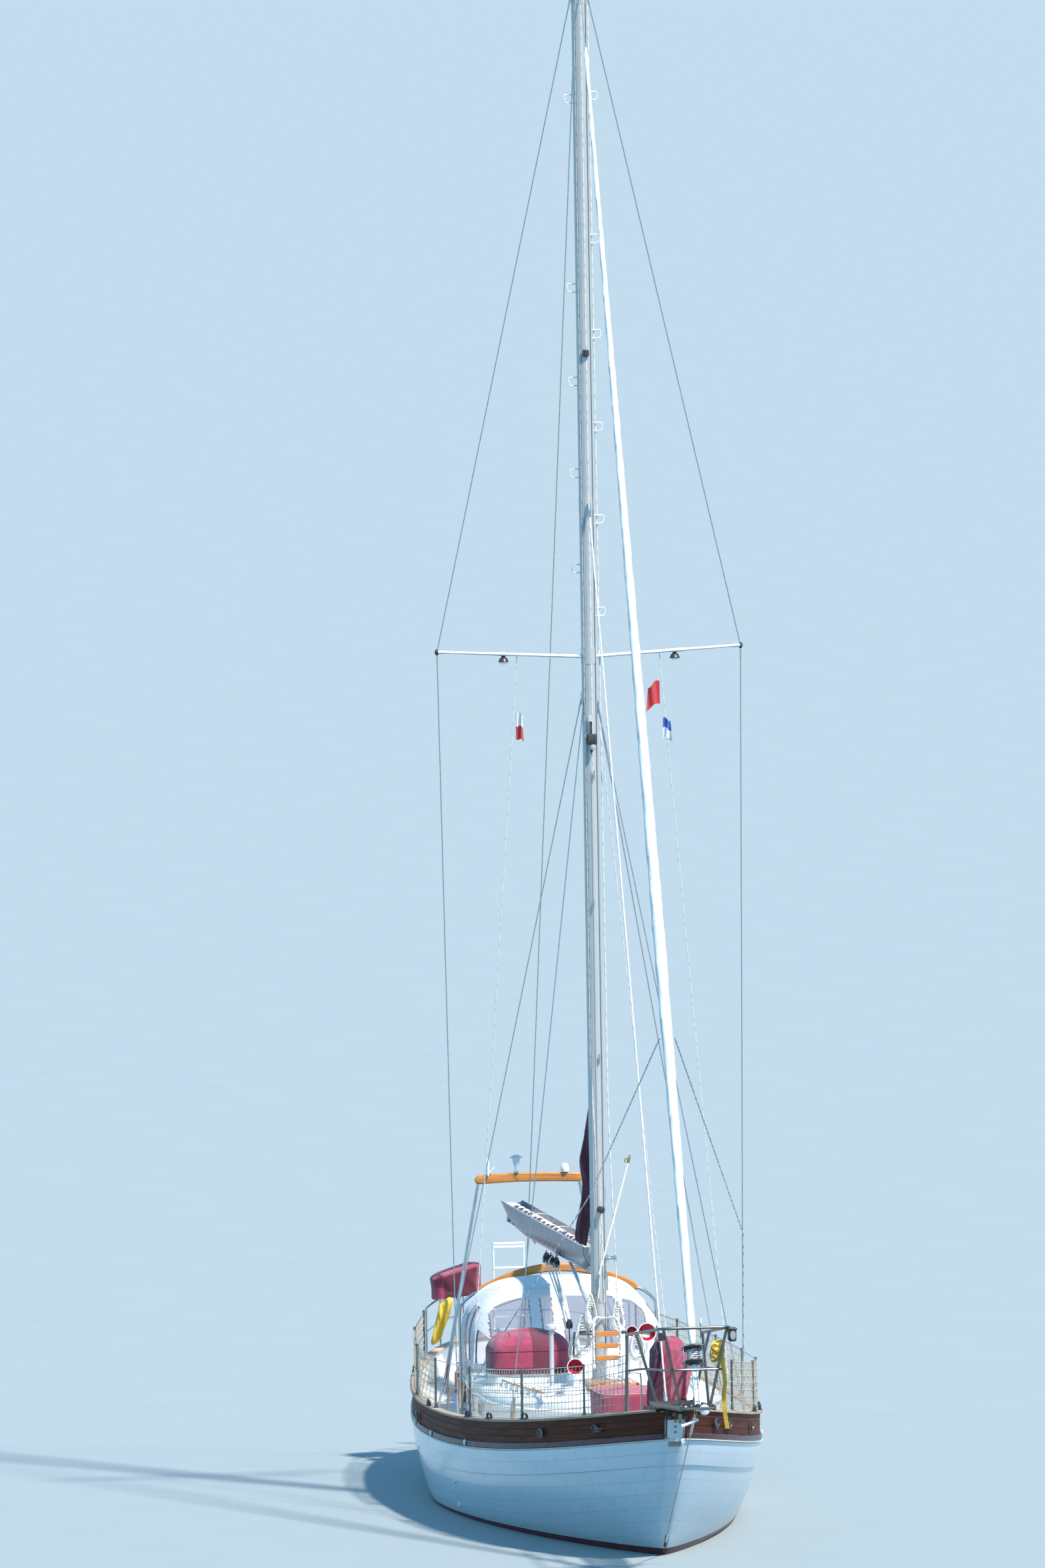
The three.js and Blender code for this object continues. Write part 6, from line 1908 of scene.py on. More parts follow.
def make_mast():
    """The oval mast with its track, collars, crane and the lugs for boom and strut."""
    shape = Shape()
    shape.loft([mast_ring(z) for z in np.linspace(MAST["foot"], MAST["top"], 33)])
    for low, high, grow in ((1.484, 1.52, 0.020), (9.60, 9.78, 0.004), (11.32, 11.46, 0.003),
                            (17.0, 17.05, 0.003)):
        shape.loft([mast_ring(low, -0.002), mast_ring(low, grow), mast_ring(high, grow),
                    mast_ring(high, -0.002)])
    x = MAST["x"]
    shape.block((0.51, -0.035, 17.235), (0.90, 0.035, 17.305), 0.01)
    for z in (2.676, 2.97, 2.084):
        shape.block((0.46, -0.032, z - 0.007), (0.60, 0.032, z + 0.007), 0.003)
        shape.block((0.565, -0.05, z - 0.05), (0.60, 0.05, z + 0.05), 0.008)
    for y in (-0.0585, 0.0585):
        shape.block((x + 0.10, y - 0.003, 1.9), (x + 0.118, y + 0.003, 17.1), 0.001)
    shape.block((0.565, -0.014, 4.46), (0.580, 0.014, 17.1), 0.002)
    shape.block((x + 0.122, -0.016, 2.4), (x + 0.133, 0.016, 8.4), 0.002)
    shape.place("mast_tube", "hull", "spar", "spar", replaces=("mast",), crease=30)

    fittings = Shape()
    fittings.lathe([(0, 0), (0.047, 0), (0.047, 0.015), (0.034, 0.025), (0.030, 0.05),
                    (0.036, 0.085), (0.045, 0.10), (0.045, 0.112), (0.02, 0.116), (0, 0.116)],
                   (x + 0.06, 0.082, 2.882), (0.15, 1, 0), 24)
    fittings.board((x - 0.01, 0.088, 3.53), (x - 0.01, 0.088, 3.69), 0.05, 0.012, (0, 1, 0))
    for z, y in ((2.62, 0.09), (2.40, -0.09), (2.15, 0.09)):
        fittings.board((x + 0.03, y, z - 0.10), (x + 0.03, y, z + 0.10), 0.022, 0.02, (0, 1, 0),
                       0.006)
        fittings.bar((x + 0.03, y * 0.9, z), (x + 0.03, y * 1.3, z), 0.012, 8)
    for sign in (-1, 1):
        for z in (9.2, 9.1):
            fittings.board((x + (0.06 if z < 9.15 else -0.06), sign * 0.082, z - 0.06),
                           (x + (0.06 if z < 9.15 else -0.06), sign * 0.090, z + 0.08), 0.04,
                           0.006, (0, 1, 0), 0.002)
    fittings.place("mast_fittings", "hull", "steel", "steel")

    dark = Shape()
    dark.lathe([(0, 0), (0.040, 0), (0.040, 0.012), (0.028, 0.022), (0.026, 0.05), (0.034, 0.078),
                (0.038, 0.09), (0.018, 0.096), (0, 0.096)], (x + 0.125, 0.011, 3.451), (1, 0, 0),
               20)
    dark.block((x + 0.125, -0.075, 8.695), (x + 0.215, 0.045, 8.815), 0.015)
    dark.block((x + 0.120, -0.02, 8.60), (x + 0.150, 0.0, 9.0), 0.004)
    dark.block((x + 0.124, -0.045, 13.05), (x + 0.16, 0.03, 13.13), 0.012)
    dark.place("mast_dark_fittings", "hull", "black", "black")
    lamp = Shape()
    lamp.lathe([(0, 0), (0.034, 0), (0.034, 0.012), (0.030, 0.02), (0.030, 0.055),
                (0.022, 0.068), (0, 0.072)], (x + 0.155, -0.031, 8.955), steps=20)
    lamp.lathe([(0, 0), (0.030, 0), (0.034, 0.03), (0.026, 0.055), (0, 0.06)],
               (x + 0.18, 0.0, 8.695), (0.3, 0, -1), 20)
    lamp.place("steaming_light", "hull", "hull_white", "lens")
    for side, sign, heights in (("port", 1, (10.18, 11.22, 12.26, 13.30, 14.37, 15.97)),
                                ("starboard", -1, (10.67, 11.74, 12.77, 13.82, 15.94))):
        spots = [(x + 0.02, sign * (MAST["across"] / 2 - 0.006), z) for z in heights]
        grown(STEP_TREE, f"mast_steps_{side}", "hull", "spar", "white", spots,
              Reach=sign * 0.115, Width=0.092, Radius=0.0065)


def make_mast_cleats():
    """Small halyard cleats and slot plates on the mast's fore face."""
    cleats = Shape()
    for z, y in ((5.15, 0.02), (6.9, -0.01), (8.35, 0.01), (2.55, -0.06), (2.75, 0.055)):
        x = max(point[0] for point in mast_ring(z))
        cleats.block((x - 0.003, y - 0.014, z - 0.055), (x + 0.006, y + 0.014, z + 0.055), 0.003)
        cleats.bar((x + 0.003, y, z), (x + 0.030, y, z), 0.007, 8)
        cleats.tube([(x + 0.030, y, z + d) for d in (-0.055, -0.03, 0.0, 0.03, 0.055)],
                    [0.003, 0.006, 0.008, 0.006, 0.003], 8)
    cleats.place("mast_cleats", "hull", "steel", "steel")


def wire_run(start, end, radius=0.006, screw=True, boot=None):
    """A stay or shroud: laid wire with a swaged head, and a bottle screw at its foot."""
    start, end = np.asarray(start, float), np.asarray(end, float)
    way = unit(end - start)
    length = float(np.linalg.norm(end - start))
    shape = Shape()
    stop = length - (0.46 if screw else 0.0)
    shape.tube([start + way * s for s in np.linspace(0, stop, 8)], radius, 8)
    shape.tube([start, start + way * 0.07, start + way * 0.16, start + way * 0.17],
               [radius * 1.9, radius * 1.8, radius * 1.5, radius], 10, 1)
    if screw:
        for near, far, big in ((0.46, 0.40, 1.8), (0.40, 0.37, 2.4), (0.37, 0.12, 2.2),
                               (0.12, 0.09, 2.4), (0.09, 0.03, 1.3)):
            shape.bar(end - way * near, end - way * far, radius * big, 10, 1)
        side = square_to(way)[0]
        for sign in (-1, 1):
            shape.board(end - way * 0.045 + side * sign * 0.012, end + side * sign * 0.012,
                        0.022, 0.005, side, 0.002, 1)
    if boot is not None:
        shape.ball(boot, 0.026, 12, 2, 1.4)
    return shape


def make_rigging():
    """Shrouds, stays, their chainplates and the bobstay."""
    foot_y = {x: float(half_breadth(RAIL, x)) - 0.12 for x in (0.70, -0.75, 2.65)}
    for side, sign in SIDES:
        tip = np.array((0.70, sign * 1.728, SPREADER["tip"]))
        foot = np.array((0.70, sign * foot_y[0.70], deck_z(0.70, foot_y[0.70]) + 0.05))
        shape = wire_run((0.70, sign * 0.091, 17.10), tip, screw=False)
        lower = wire_run(tip, foot, boot=tip)
        shape.add(lower.points, lower.faces, lower.paints, lower.maps)
        shape.place(f"cap_shroud_wire_{side}", "hull", "wire", "wire", "steel", "rubber",
                    replaces=(f"cap_shroud_{side}",))
        for node, head_x, foot_x, z in (("aft_lower", 0.64, -0.75, 9.2),
                                        ("fore_lower", 0.76, 2.65, 9.1)):
            y = foot_y[foot_x]
            shape = wire_run((head_x, sign * 0.087, z),
                                (foot_x, sign * y, deck_z(foot_x, y) + 0.05))
            shape.place(f"{node}_wire_{side}", "hull", "wire", "wire", "steel",
                        replaces=(f"{node}_{side}",))
    stern = deck_z(-5.0, 0)
    shape = wire_run((0.52, 0, MAST["top"]), (-5.0, 0, stern + 0.05))
    shape.place("backstay_wire", "hull", "wire", "wire", "steel", replaces=("backstay",))
    tack = (INNER_TACK[0], 0, deck_z(INNER_TACK[0], 0) + 0.06)
    shape = wire_run(INNER_HEAD, tack, 0.0105)
    shape.place("inner_forestay_wire", "hull", "wire", "rope", "steel",
                replaces=("inner_forestay",))
    shape = wire_run((5.060, 0, 0.162), (7.2, 0, platform_z(7.2) - 0.075), 0.007)
    shape.place("bobstay_wire", "hull", "wire", "wire", "steel", replaces=("bobstay",))
    shape = Shape().tube(evenly(STAY_HEAD, STAY_TACK, 9), 0.006, 8)
    shape.place("forestay_wire", "hull", "wire", "wire", replaces=("forestay",))
    plates = Shape()
    for _, sign in SIDES:
        for x, y in foot_y.items():
            z = deck_z(x, y)
            plates.board((x, sign * y, z - 0.002), (x, sign * y, z + 0.075), 0.045, 0.008,
                         (0, 1, 0), 0.003)
            plates.block((x - 0.045, sign * y - 0.03, z - 0.001),
                         (x + 0.045, sign * y + 0.03, z + 0.006), 0.002)
    for x in (-5.0, INNER_TACK[0]):
        z = deck_z(x, 0)
        plates.board((x, 0, z - 0.002), (x, 0, z + 0.085), 0.045, 0.008, (0, 1, 0), 0.003)
        plates.block((x - 0.06, -0.05, z - 0.001), (x + 0.06, 0.05, z + 0.008), 0.003)
    plates.loft([[(5.00 + 0.07 * a + 0.02 * b, 0.03 * b, 0.15 + 0.09 * a)
                  for a, b in rounded(1, 1, 0.5, 3)],
                 [(5.06 + 0.05 * a + 0.01 * b, 0.016 * b, 0.17 + 0.07 * a)
                  for a, b in rounded(1, 1, 0.5, 3)]])
    plates.place("chainplates", "hull", "steel", "dull steel")


def make_spreaders():
    """Tapered spreaders with a lamp under each."""
    lamps = Shape()
    for side, sign in SIDES:
        shape = Shape()
        rings = []
        for s in np.linspace(0, 1, 15):
            y = mix(SPREADER["inner"] - 0.004, SPREADER["outer"] + 0.003, s)
            z = mix(SPREADER["root"], SPREADER["tip"], s)
            chord = mix(0.064, 0.042, s) * (1.12 if 0.50 < s < 0.60 else 1.0)
            thick = mix(0.021, 0.015, s) * (1.25 if 0.50 < s < 0.60 else 1.0)
            if s > 0.97:
                chord, thick = 0.030, 0.022
            rings.append([(0.70 + chord * math.cos(t), sign * y, z + thick * math.sin(t))
                          for t in np.arange(20) / 20 * 2 * math.pi])
        shape.loft(rings)
        shape.place(f"spreader_blade_{side}", "hull", "spar", "white",
                    replaces=(f"spreader_{side}",), crease=30)
        foot = (0.70, sign * 0.975, 9.715)
        lamps.lathe([(0, 0), (0.020, 0), (0.022, 0.02), (0.045, 0.04), (0.058, 0.075),
                     (0.054, 0.082), (0, 0.082)], foot, (0.12, 0, -1), 20)
        lamps.lathe([(0.052, 0.080), (0.040, 0.098), (0.02, 0.106), (0, 0.108)], foot,
                    (0.12, 0, -1), 20, 1)
    lamps.place("spreader_lamps", "hull", "black", "black", "lens")


def make_headsail():
    """The headsail rolled on its stay, its leech winding down it, and the furling drum."""
    way = unit(STAY_HEAD - STAY_TACK)
    side, up = square_to(way)
    reach, radius = zip((0.66, 0.03), (0.72, 0.039), (0.80, 0.043), (2.4, 0.0525), (5.2, 0.067),
                        (8.1, 0.0545), (11.3, 0.0385), (14.5, 0.0245), (15.78, 0.0195),
                        (15.85, 0.016))
    rings = []
    for s in np.concatenate([np.linspace(0.66, 1.0, 12), np.linspace(1.03, 15.85, 420)]):
        r = float(np.interp(s, reach, radius))
        lead = s * 7.4 / (0.5 + 10 * r)
        ring = []
        for i in range(36):
            t = i / 36 * 2 * math.pi
            turn = ((t - lead) / (2 * math.pi)) % 1
            step = -0.0042 + 0.0050 * turn - 0.0035 * max(0, (0.06 - turn) / 0.06)
            pucker = 0.0012 * math.sin(5 * t + 9 * s) + 0.0010 * math.sin(3 * t - 23 * s)
            pucker += 0.04 * r * math.sin(10.5 * s + 2.2 * math.sin(2.3 * s) + 0.5 * t)
            q = max(0.012, r + step + pucker)
            ring.append(STAY_TACK + way * s + q * (math.cos(t) * side + math.sin(t) * up))
        rings.append(ring)
    shape = Shape().loft(rings, ends=False)
    roll = thickened(shape, 0.003, "furled_headsail_roll", "furler", "sail", "sail",
                     replaces=("furled_headsail",), crease=50)
    min(max(cloth_area(roll), 1.6), 4.8)
    drum = Shape()
    drum.lathe([(0.014, 0.44), (0.10, 0.44), (0.124, 0.446), (0.125, 0.452), (0.118, 0.458),
                (0.062, 0.464), (0.060, 0.596), (0.118, 0.602), (0.125, 0.608), (0.124, 0.616),
                (0.10, 0.622), (0.036, 0.626), (0.030, 0.64), (0.026, 0.654), (0.014, 0.654)],
               STAY_TACK, way, 40)
    drum.place("furler_drum_shell", "furler", "black", "black", replaces=("furler_drum",))
    line = Shape()
    coil = []
    for k in np.linspace(0, 1, 260):
        t = k * 2 * math.pi * 13
        s = 0.470 + 0.118 * abs(((k * 2.2) % 2) - 1)
        r = 0.066 + 0.007 * k
        coil.append(STAY_TACK + way * s + r * (math.cos(t) * side + math.sin(t) * up))
    line.tube(coil, 0.0042, 6)
    line.place("furling_line_turns", "furler", "sail", "fleck rope")
    guard = Shape()
    for t in (0.6, 2.2, 3.7, 5.3):
        out = math.cos(t) * side + math.sin(t) * up
        guard.tube(smooth_line([STAY_TACK + way * 0.405 + out * 0.03,
                                STAY_TACK + way * 0.410 + out * 0.12,
                                STAY_TACK + way * 0.430 + out * 0.142,
                                STAY_TACK + way * 0.62 + out * 0.142], 6), 0.005, 8)
    hoop = [STAY_TACK + way * 0.62 + 0.142 * (math.cos(t) * side + math.sin(t) * up)
            for t in np.linspace(0, 2 * math.pi, 37)]
    guard.tube(hoop, 0.005, 8)
    guard.lathe([(0.012, 0.36), (0.035, 0.36), (0.038, 0.40), (0.038, 0.415), (0.012, 0.415)],
                STAY_TACK, way, 20)
    links = Shape()
    deck = np.array((7.335, 0, platform_z(7.335) + 0.004))
    for sign in (-1, 1):
        across = np.array((0, 1.0, 0)) * sign * 0.026
        links.board(deck + across, STAY_TACK + way * 0.38 + across, 0.050, 0.008, (0, 1, 0), 0.002)
    links.lathe([(0.008, -0.17), (0.017, -0.16), (0.017, -0.05), (0.012, -0.04), (0.012, 0.04),
                 (0.017, 0.05), (0.017, 0.16), (0.008, 0.17)],
                mix(deck, STAY_TACK + way * 0.38, 0.5), STAY_TACK + way * 0.38 - deck, 16)
    for s in (0.05, 0.5, 0.95):
        spot = mix(deck, STAY_TACK + way * 0.38, s)
        links.bar(spot - (0, 0.036, 0), spot + (0, 0.036, 0), 0.010, 10)
    guard.place("furler_guard", "hull", "steel", "steel")
    links.place("furler_links", "hull", "steel", "links")


# Boom and its sail.

BOOM = {"swing": 3.4, "lift": 2.0, "top": 2.96, "deep": 0.285, "half": 0.124, "rim": 0.030}
GOOSENECK_X = 0.49


def boom_place(flat):
    """Points along the boom brought to where it lies at rest."""
    lift = Matrix.Rotation(math.radians(BOOM["lift"]), 4, "Y")
    swing = Matrix.Rotation(math.radians(BOOM["swing"]), 4, "Z")
    place = (Matrix.Translation((GOOSENECK_X, 0, 0)) @ swing
             @ Matrix.Translation((0, 0, BOOM["top"])) @ lift)
    return [tuple(place @ Vector(p)) for p in flat]


def boom_section(x, steps=24):
    """Half a rounded trough, from one rim to the other, at a distance along the boom."""
    depth = float(np.interp(-x, (0.06, 0.33, 3.50, 4.06, 4.24, 4.36, 4.41, 4.43),
                            (0.19, 0.284, 0.278, 0.240, 0.175, 0.09, 0.03, 0.0)))
    points = []
    for t in np.linspace(0, math.pi, steps + 1):
        c, s = math.cos(t), math.sin(t)
        y = BOOM["half"] * math.copysign(abs(c) ** 0.80, c) * mix(1.0, 0.80, s ** 2)
        points.append((x, y, BOOM["rim"] - (BOOM["rim"] + depth) * max(0.0, s) ** 0.80))
    return points


def make_boom():
    """The open trough with rolled rims, its gooseneck and fittings."""
    stations = np.concatenate([[-0.06, -0.10, -0.20, -0.33], np.linspace(-0.6, -3.50, 14),
                               np.linspace(-3.6, -4.36, 12), [-4.385, -4.41, -4.42, -4.43]])
    rows = [boom_section(x) for x in stations]
    shell = Shape().loft([boom_place(row) for row in rows], closed=False)
    thickened(shell, 0.006, "boom_trough", "boom", "spar", "boom spar", replaces=("boom",),
              crease=40)
    trim = Shape()
    for k in (0, -1):
        trim.tube(boom_place([row[k] for row in rows]), 0.0085, 8)
    first = len(trim.points)
    trim.loft([rows[0], [(-0.052, y, z) for _, y, z in rows[0]]], closed=True)
    trim.points[first:] = boom_place(trim.points[first:])
    first = len(trim.points)
    for x in (-0.9, -2.0, -3.2):
        trim.block((x - 0.03, -0.025, -0.300), (x + 0.03, 0.025, -0.280), 0.004)
        trim.tube([(x + 0.018 * math.cos(t), 0.0, -0.305 + 0.020 * math.sin(t))
                   for t in np.linspace(0, 2 * math.pi, 17)], 0.005, 8)
    trim.points[first:] = boom_place(trim.points[first:])
    swing = Matrix.Translation((GOOSENECK_X, 0, 0)) @ Matrix.Rotation(
        math.radians(BOOM["swing"]), 4, "Z")
    first = len(trim.points)
    trim.block((-0.075, -0.022, 2.70), (0.020, 0.022, 2.958), 0.008)
    trim.bar((0, 0, 2.682), (0, 0, 2.98), 0.0088, 14)
    trim.turn(first, swing)
    trim.place("boom_trim", "boom", "spar", "spar")
    strut = Shape()
    first = len(strut.points)
    along = -1.35
    top = BOOM["top"] - along * math.sin(math.radians(BOOM["lift"])) - BOOM["deep"] - 0.012
    foot, head = np.array((0, 0, 2.15)), np.array((along, 0, top))
    strut.bar(mix(foot, head, 0.04), mix(foot, head, 0.55), 0.026, 18)
    strut.bar(mix(foot, head, 0.52), mix(foot, head, 0.97), 0.0205, 18)
    strut.bar(mix(foot, head, 0.53), mix(foot, head, 0.56), 0.028, 18)
    for s in (0.0, 0.965):
        strut.board(mix(foot, head, s), mix(foot, head, s + 0.05), 0.05, 0.022, (0, 1, 0), 0.006)
    strut.bar((0, 0, 2.078), (0, 0, 2.165), 0.0088, 14)
    strut.turn(first, swing)
    strut.place("boom_strut_tube", "boom", "spar", "spar", replaces=("boom_strut",))

    rings, crests = [], []
    for x in np.arange(-0.34, -4.30, -0.0115):
        phase = 2 * math.pi * 19 * ((x + 0.34) / -3.96) ** 0.80
        end = min(1.0, (x + 4.38) / 0.25) ** 0.5
        crest = (0.5 + 0.5 * math.cos(phase)) ** 1.4
        crests.append(crest)
        row = []
        for v in np.linspace(-1, 1, 17):
            side = max(-1.0, min(1.0, (v + 0.25) / (0.75 if v < -0.25 else 1.25)))
            arch = 1 - abs(side) ** (4.0 if side < 0 else 2.4)
            y = 0.100 * v * (0.90 + 0.10 * crest)
            z = -0.165 - 0.03 * (1 - arch) + (0.198 * crest + 0.004) * arch * end
            row.append((x + 0.030 * math.sin(phase - 0.9) * arch, y, z))
        rings.append(boom_place(row))
    leaves = Shape().loft(
        rings, lambda j, i: int(crests[j] < (0.86 if 2 < i < 10 else 0.40)), closed=False)
    sail = thickened(leaves, 0.0025, "flaked_mainsail_leaves", "boom", "sail", "sail",
                     "sail shade", replaces=("flaked_mainsail",), crease=70)
    straps = Shape()
    for x in (-0.55, -1.75, -2.95):
        loop = [(x, 0.131 * math.cos(t) * mix(1.0, 0.86, math.sin(t) ** 2 if t > math.pi else 0),
                 0.012 + 0.045 * math.sin(t) if t < math.pi else 0.012 + 0.305 * math.sin(t))
                for t in np.linspace(0, 2 * math.pi, 49)]
        loop = np.array(boom_place(loop))
        straps.loft([loop + (-0.020, 0, 0), loop + (0.020, 0, 0)], closed=False)
    ties = thickened(straps, 0.002, "boom_ties", "boom", "sail", "sail")
    min(max(cloth_area(sail), 0.60), 1.92)


def make_luff_cover():
    """The cover on the sail's luff above the boom: a narrow leaf that fills out low down."""
    heights = np.linspace(3.040, 4.56, 44)
    left = np.interp(heights, (3.03, 3.10, 3.27, 3.41, 3.62, 3.74, 3.87, 3.98, 4.05, 4.24, 4.43,
                               4.60),
                     (-0.232, -0.238, -0.215, -0.180, -0.140, -0.130, -0.152, -0.165, -0.155,
                      -0.105, -0.075, -0.050))
    right = np.interp(heights, (3.03, 3.3, 3.8, 4.3, 4.6), (-0.105, -0.035, 0.030, 0.022, 0.005))
    rings = []
    for z, a, b in zip(heights, left, right):
        half, y = (b - a) / 2, (a + b) / 2
        ring = []
        for i in range(56):
            t = i / 56 * 2 * math.pi
            fold = 0.010 * math.sin(3 * t + 3.5 * z) * math.sin(7 * z + 2 * t)
            depth = 0.006 * ripple(t + 0.5 * z, 1.3, 5) + fold
            off = math.sin(t)
            slope = 0.55 * (off * half + y + 0.165)
            ring.append((0.475 + (0.070 - depth) * math.cos(t) * mix(1.0, 0.7, abs(off)),
                         y + (half - depth) * off, z - slope * max(0.0, (3.2 - z) / 0.16)))
        rings.append(ring)
    shape = Shape().loft(rings, ends=False)
    # Painted shade: the whole luff cover takes the burgundy painted in shade.
    piece = thickened(shape, 0.003, "luff_cover_cloth", "hull", "burgundy", "burgundy painted shade",
                      replaces=("luff_cover",), smooth=1)
    min(max(cloth_area(piece), 0.25), 0.80)
    ties = Shape()
    for k in (3, 12, 20, 28, 36):
        ring = np.array(rings[k])
        mid = ring.mean(0)
        loop = mid + (ring - mid) * (1.05, 1.03, 1.0)
        ties.tube(list(loop) + [loop[0]], 0.0035, 6)
    ties.place("luff_cover_ties", "hull", "burgundy", "burgundy for binding and shade")


# Gallows, stern arch and cowls.

def beam(line, deep, thick, end, corner=0.020):
    """A rounded beam along a line, drawn in at both ends."""
    line = np.asarray(line, float)
    run = run_along(line)
    rings = []
    for place, (x, y, z) in zip(run, line):
        near = min(place, run[-1] - place)
        full = math.sqrt(max(0.0, 1 - (1 - min(1.0, near / end)) ** 2)) if near < end else 1.0
        full = max(full, 0.18)
        rings.append([(x + a, y, z - deep / 2 + b)
                      for a, b in rounded(thick / 2 * mix(0.75, 1, full), deep / 2 * full,
                                          min(corner, deep / 2 * full * 0.9), 4)])
    return Shape().loft(rings)


GALLOWS = {"x": -2.3, "half": 1.14}      # its place along the boat, and its feet


def make_gallows():
    """The bent boom gallows on two tubes."""
    x, half = GALLOWS["x"], GALLOWS["half"]
    y = np.concatenate([[-0.93, -0.925, -0.915, -0.90], np.linspace(-0.87, 0.87, 41),
                        [0.90, 0.915, 0.925, 0.93]])
    line = [(x, v, 2.3 + 0.26 * (1 - (v / 0.93) ** 2)) for v in y]
    beam(line, 0.10, 0.055, 0.055).place("gallows_beam", "hull", "varnish", "varnish",
                                         replaces=("gallows_arch",))
    legs = Shape()
    for _, sign in SIDES:
        foot = deck_z(x, half)
        path = smooth_line([(x, sign * 0.92, 2.25), (x, sign * 1.0, 2.215),
                            (x, sign * 1.10, 2.13), (x, sign * half, 2.02),
                            (x, sign * half, 1.5), (x, sign * half, foot)], 8)
        legs.tube(path, 0.018, 12)
        legs.lathe([(0, -0.001), (0.05, -0.001), (0.05, 0.006), (0.04, 0.012), (0.022, 0.02),
                    (0.021, 0.05)], (x, sign * half, foot), steps=18)
        legs.block((x - 0.035, sign * 0.86 - 0.03, 2.222),
                   (x + 0.035, sign * 0.86 + 0.03, 2.236), 0.003)
    legs.place("gallows_tubes", "hull", "steel", "steel",
               replaces=("gallows_leg_port", "gallows_leg_starboard"))


def make_stern_arch():
    """The straight beam over the stern, its legs, an aerial, a lamp and a dome."""
    y = np.concatenate([[-0.635, -0.630, -0.62, -0.60], np.linspace(-0.57, 0.57, 25),
                        [0.60, 0.62, 0.630, 0.635]])
    line = [(-4.33, v, 3.43 - 0.02 * (v / 0.635) ** 2) for v in y]
    beam(line, 0.11, 0.06, 0.06).place("stern_beam", "hull", "varnish", "varnish",
                                       replaces=("stern_arch_beam",))
    legs = Shape()
    for _, sign in SIDES:
        foot = deck_z(-4.33, 1.03)
        legs.bar((-4.33, sign * 0.595, 3.315), (-4.33, sign * 1.03, foot), 0.019, 14)
        legs.lathe([(0, -0.001), (0.05, -0.001), (0.05, 0.006), (0.04, 0.012), (0.023, 0.02)],
                   (-4.33, sign * 1.03, foot), steps=18)
        legs.bar((-4.33, sign * 0.78, mix(3.315, foot, 0.425)),
                 (-3.75, sign * 1.10, deck_z(-3.75, 1.10)), 0.011, 10)
    legs.place("stern_arch_tubes", "hull", "steel", "steel",
               replaces=("stern_arch_leg_port", "stern_arch_leg_starboard"))
    pale, dark, clear = Shape(), Shape(), Shape()
    pale.lathe([(0, 0), (0.012, 0), (0.016, 0.02), (0.016, 0.19), (0.010, 0.20), (0, 0.20)],
               (-4.28, -0.485, 3.40), steps=14)
    pale.tube([(-4.28, -0.485, 3.44), (-4.28, -0.44, 3.46), (-4.28, -0.405, 3.51)], 0.007, 8)
    pale.lathe([(0, 0), (0.045, 0), (0.050, 0.03), (0.046, 0.065), (0.03, 0.09), (0, 0.097)],
               (-4.31, 0.424, 3.43), steps=24)
    dark.lathe([(0.005, 0.17), (0.075, 0.172), (0.072, 0.182), (0.03, 0.205), (0, 0.210)],
               (-4.31, -0.147, 3.43), steps=24)
    dark.lathe([(0, -0.002), (0.03, -0.002), (0.03, 0.015), (0.02, 0.02), (0, 0.02)],
               (-4.31, -0.147, 3.43), steps=20)
    clear.lathe([(0.018, 0.02), (0.022, 0.06), (0.040, 0.12), (0.044, 0.17)],
                (-4.31, -0.147, 3.43), steps=20)
    pale.place("arch_aerials", "hull", "hull_white", "white")
    dark.place("arch_lamp_cap", "hull", "steel", "steel")
    clear.place("arch_lamp_glass", "hull", "hull_white", "lens")


def cowl(name, x, y, foot, high, radius, nodes, turned=0.0):
    """A cowl: a bent tube that opens into a bell, white outside and red within."""
    way = unit((math.cos(turned), math.sin(turned), 0.10))
    flat = np.array((math.cos(turned), math.sin(turned), 0))
    neck = radius * 0.62
    base = np.array((x, y, foot))
    path = smooth_line([base, base + (0, 0, high * 0.5),
                        base + (0, 0, high * 0.80) + flat * 0.022,
                        base + (0, 0, high * 0.96) + flat * 0.085,
                        base + (0, 0, high - 0.006) + flat * 0.104], 7)
    shape = Shape().tube(path, neck, 28)
    centre = base + flat * 0.105 + (0, 0, high - 0.006)
    shape.lathe([(neck * 0.96, 0.0), (radius * 0.80, 0.035), (radius * 0.96, 0.07),
                 (radius, 0.088), (radius - 0.003, 0.0955), (radius - 0.009, 0.093),
                 (radius - 0.012, 0.080)], centre, way, 36)
    shape.lathe([(radius - 0.012, 0.081), (radius * 0.86, 0.06), (neck * 0.95, 0.022),
                 (neck * 0.7, 0.006), (0, 0.004)], centre, way, 36, 1)
    shape.lathe([(neck + 0.004, 0.02), (neck + 0.010, 0.026), (neck + 0.010, 0.05),
                 (neck + 0.004, 0.056)], base, steps=28)
    return shape.place(name, "hull", "hull_white", "gelcoat", "red", replaces=nodes)


def make_cowls():
    """Three cowls: one on a box ahead of the mast, and two beside it to port."""
    cowl("fore_cowl", 1.75, -0.48, roof_z(1.75, -0.48) - 0.02, 0.33, 0.095, ("cowl_vent_fore",))
    cowl("port_cowl", 0.17, 0.445, roof_z(0.17, 0.445) - 0.02, 0.56, 0.068,
         ("cowl_vent_port",), -0.1)
    cowl("outer_cowl", 0.10, 0.610, roof_z(0.10, 0.610) - 0.02, 0.545, 0.108, (), 0.0)
    box = Shape()
    for x, y in ((1.75, -0.48), (0.15, 0.54)):
        wide = 0.125 if x > 1 else 0.22
        box.block((x - 0.16, y - wide, roof_z(x, y) - 0.03), (x + 0.16, y + wide,
                                                              roof_z(x, y) + 0.085), 0.018)
    box.place("vent_boxes", "hull", "hull_white", "gelcoat")


# Bow gear, deck gear, nets, lines and flags.

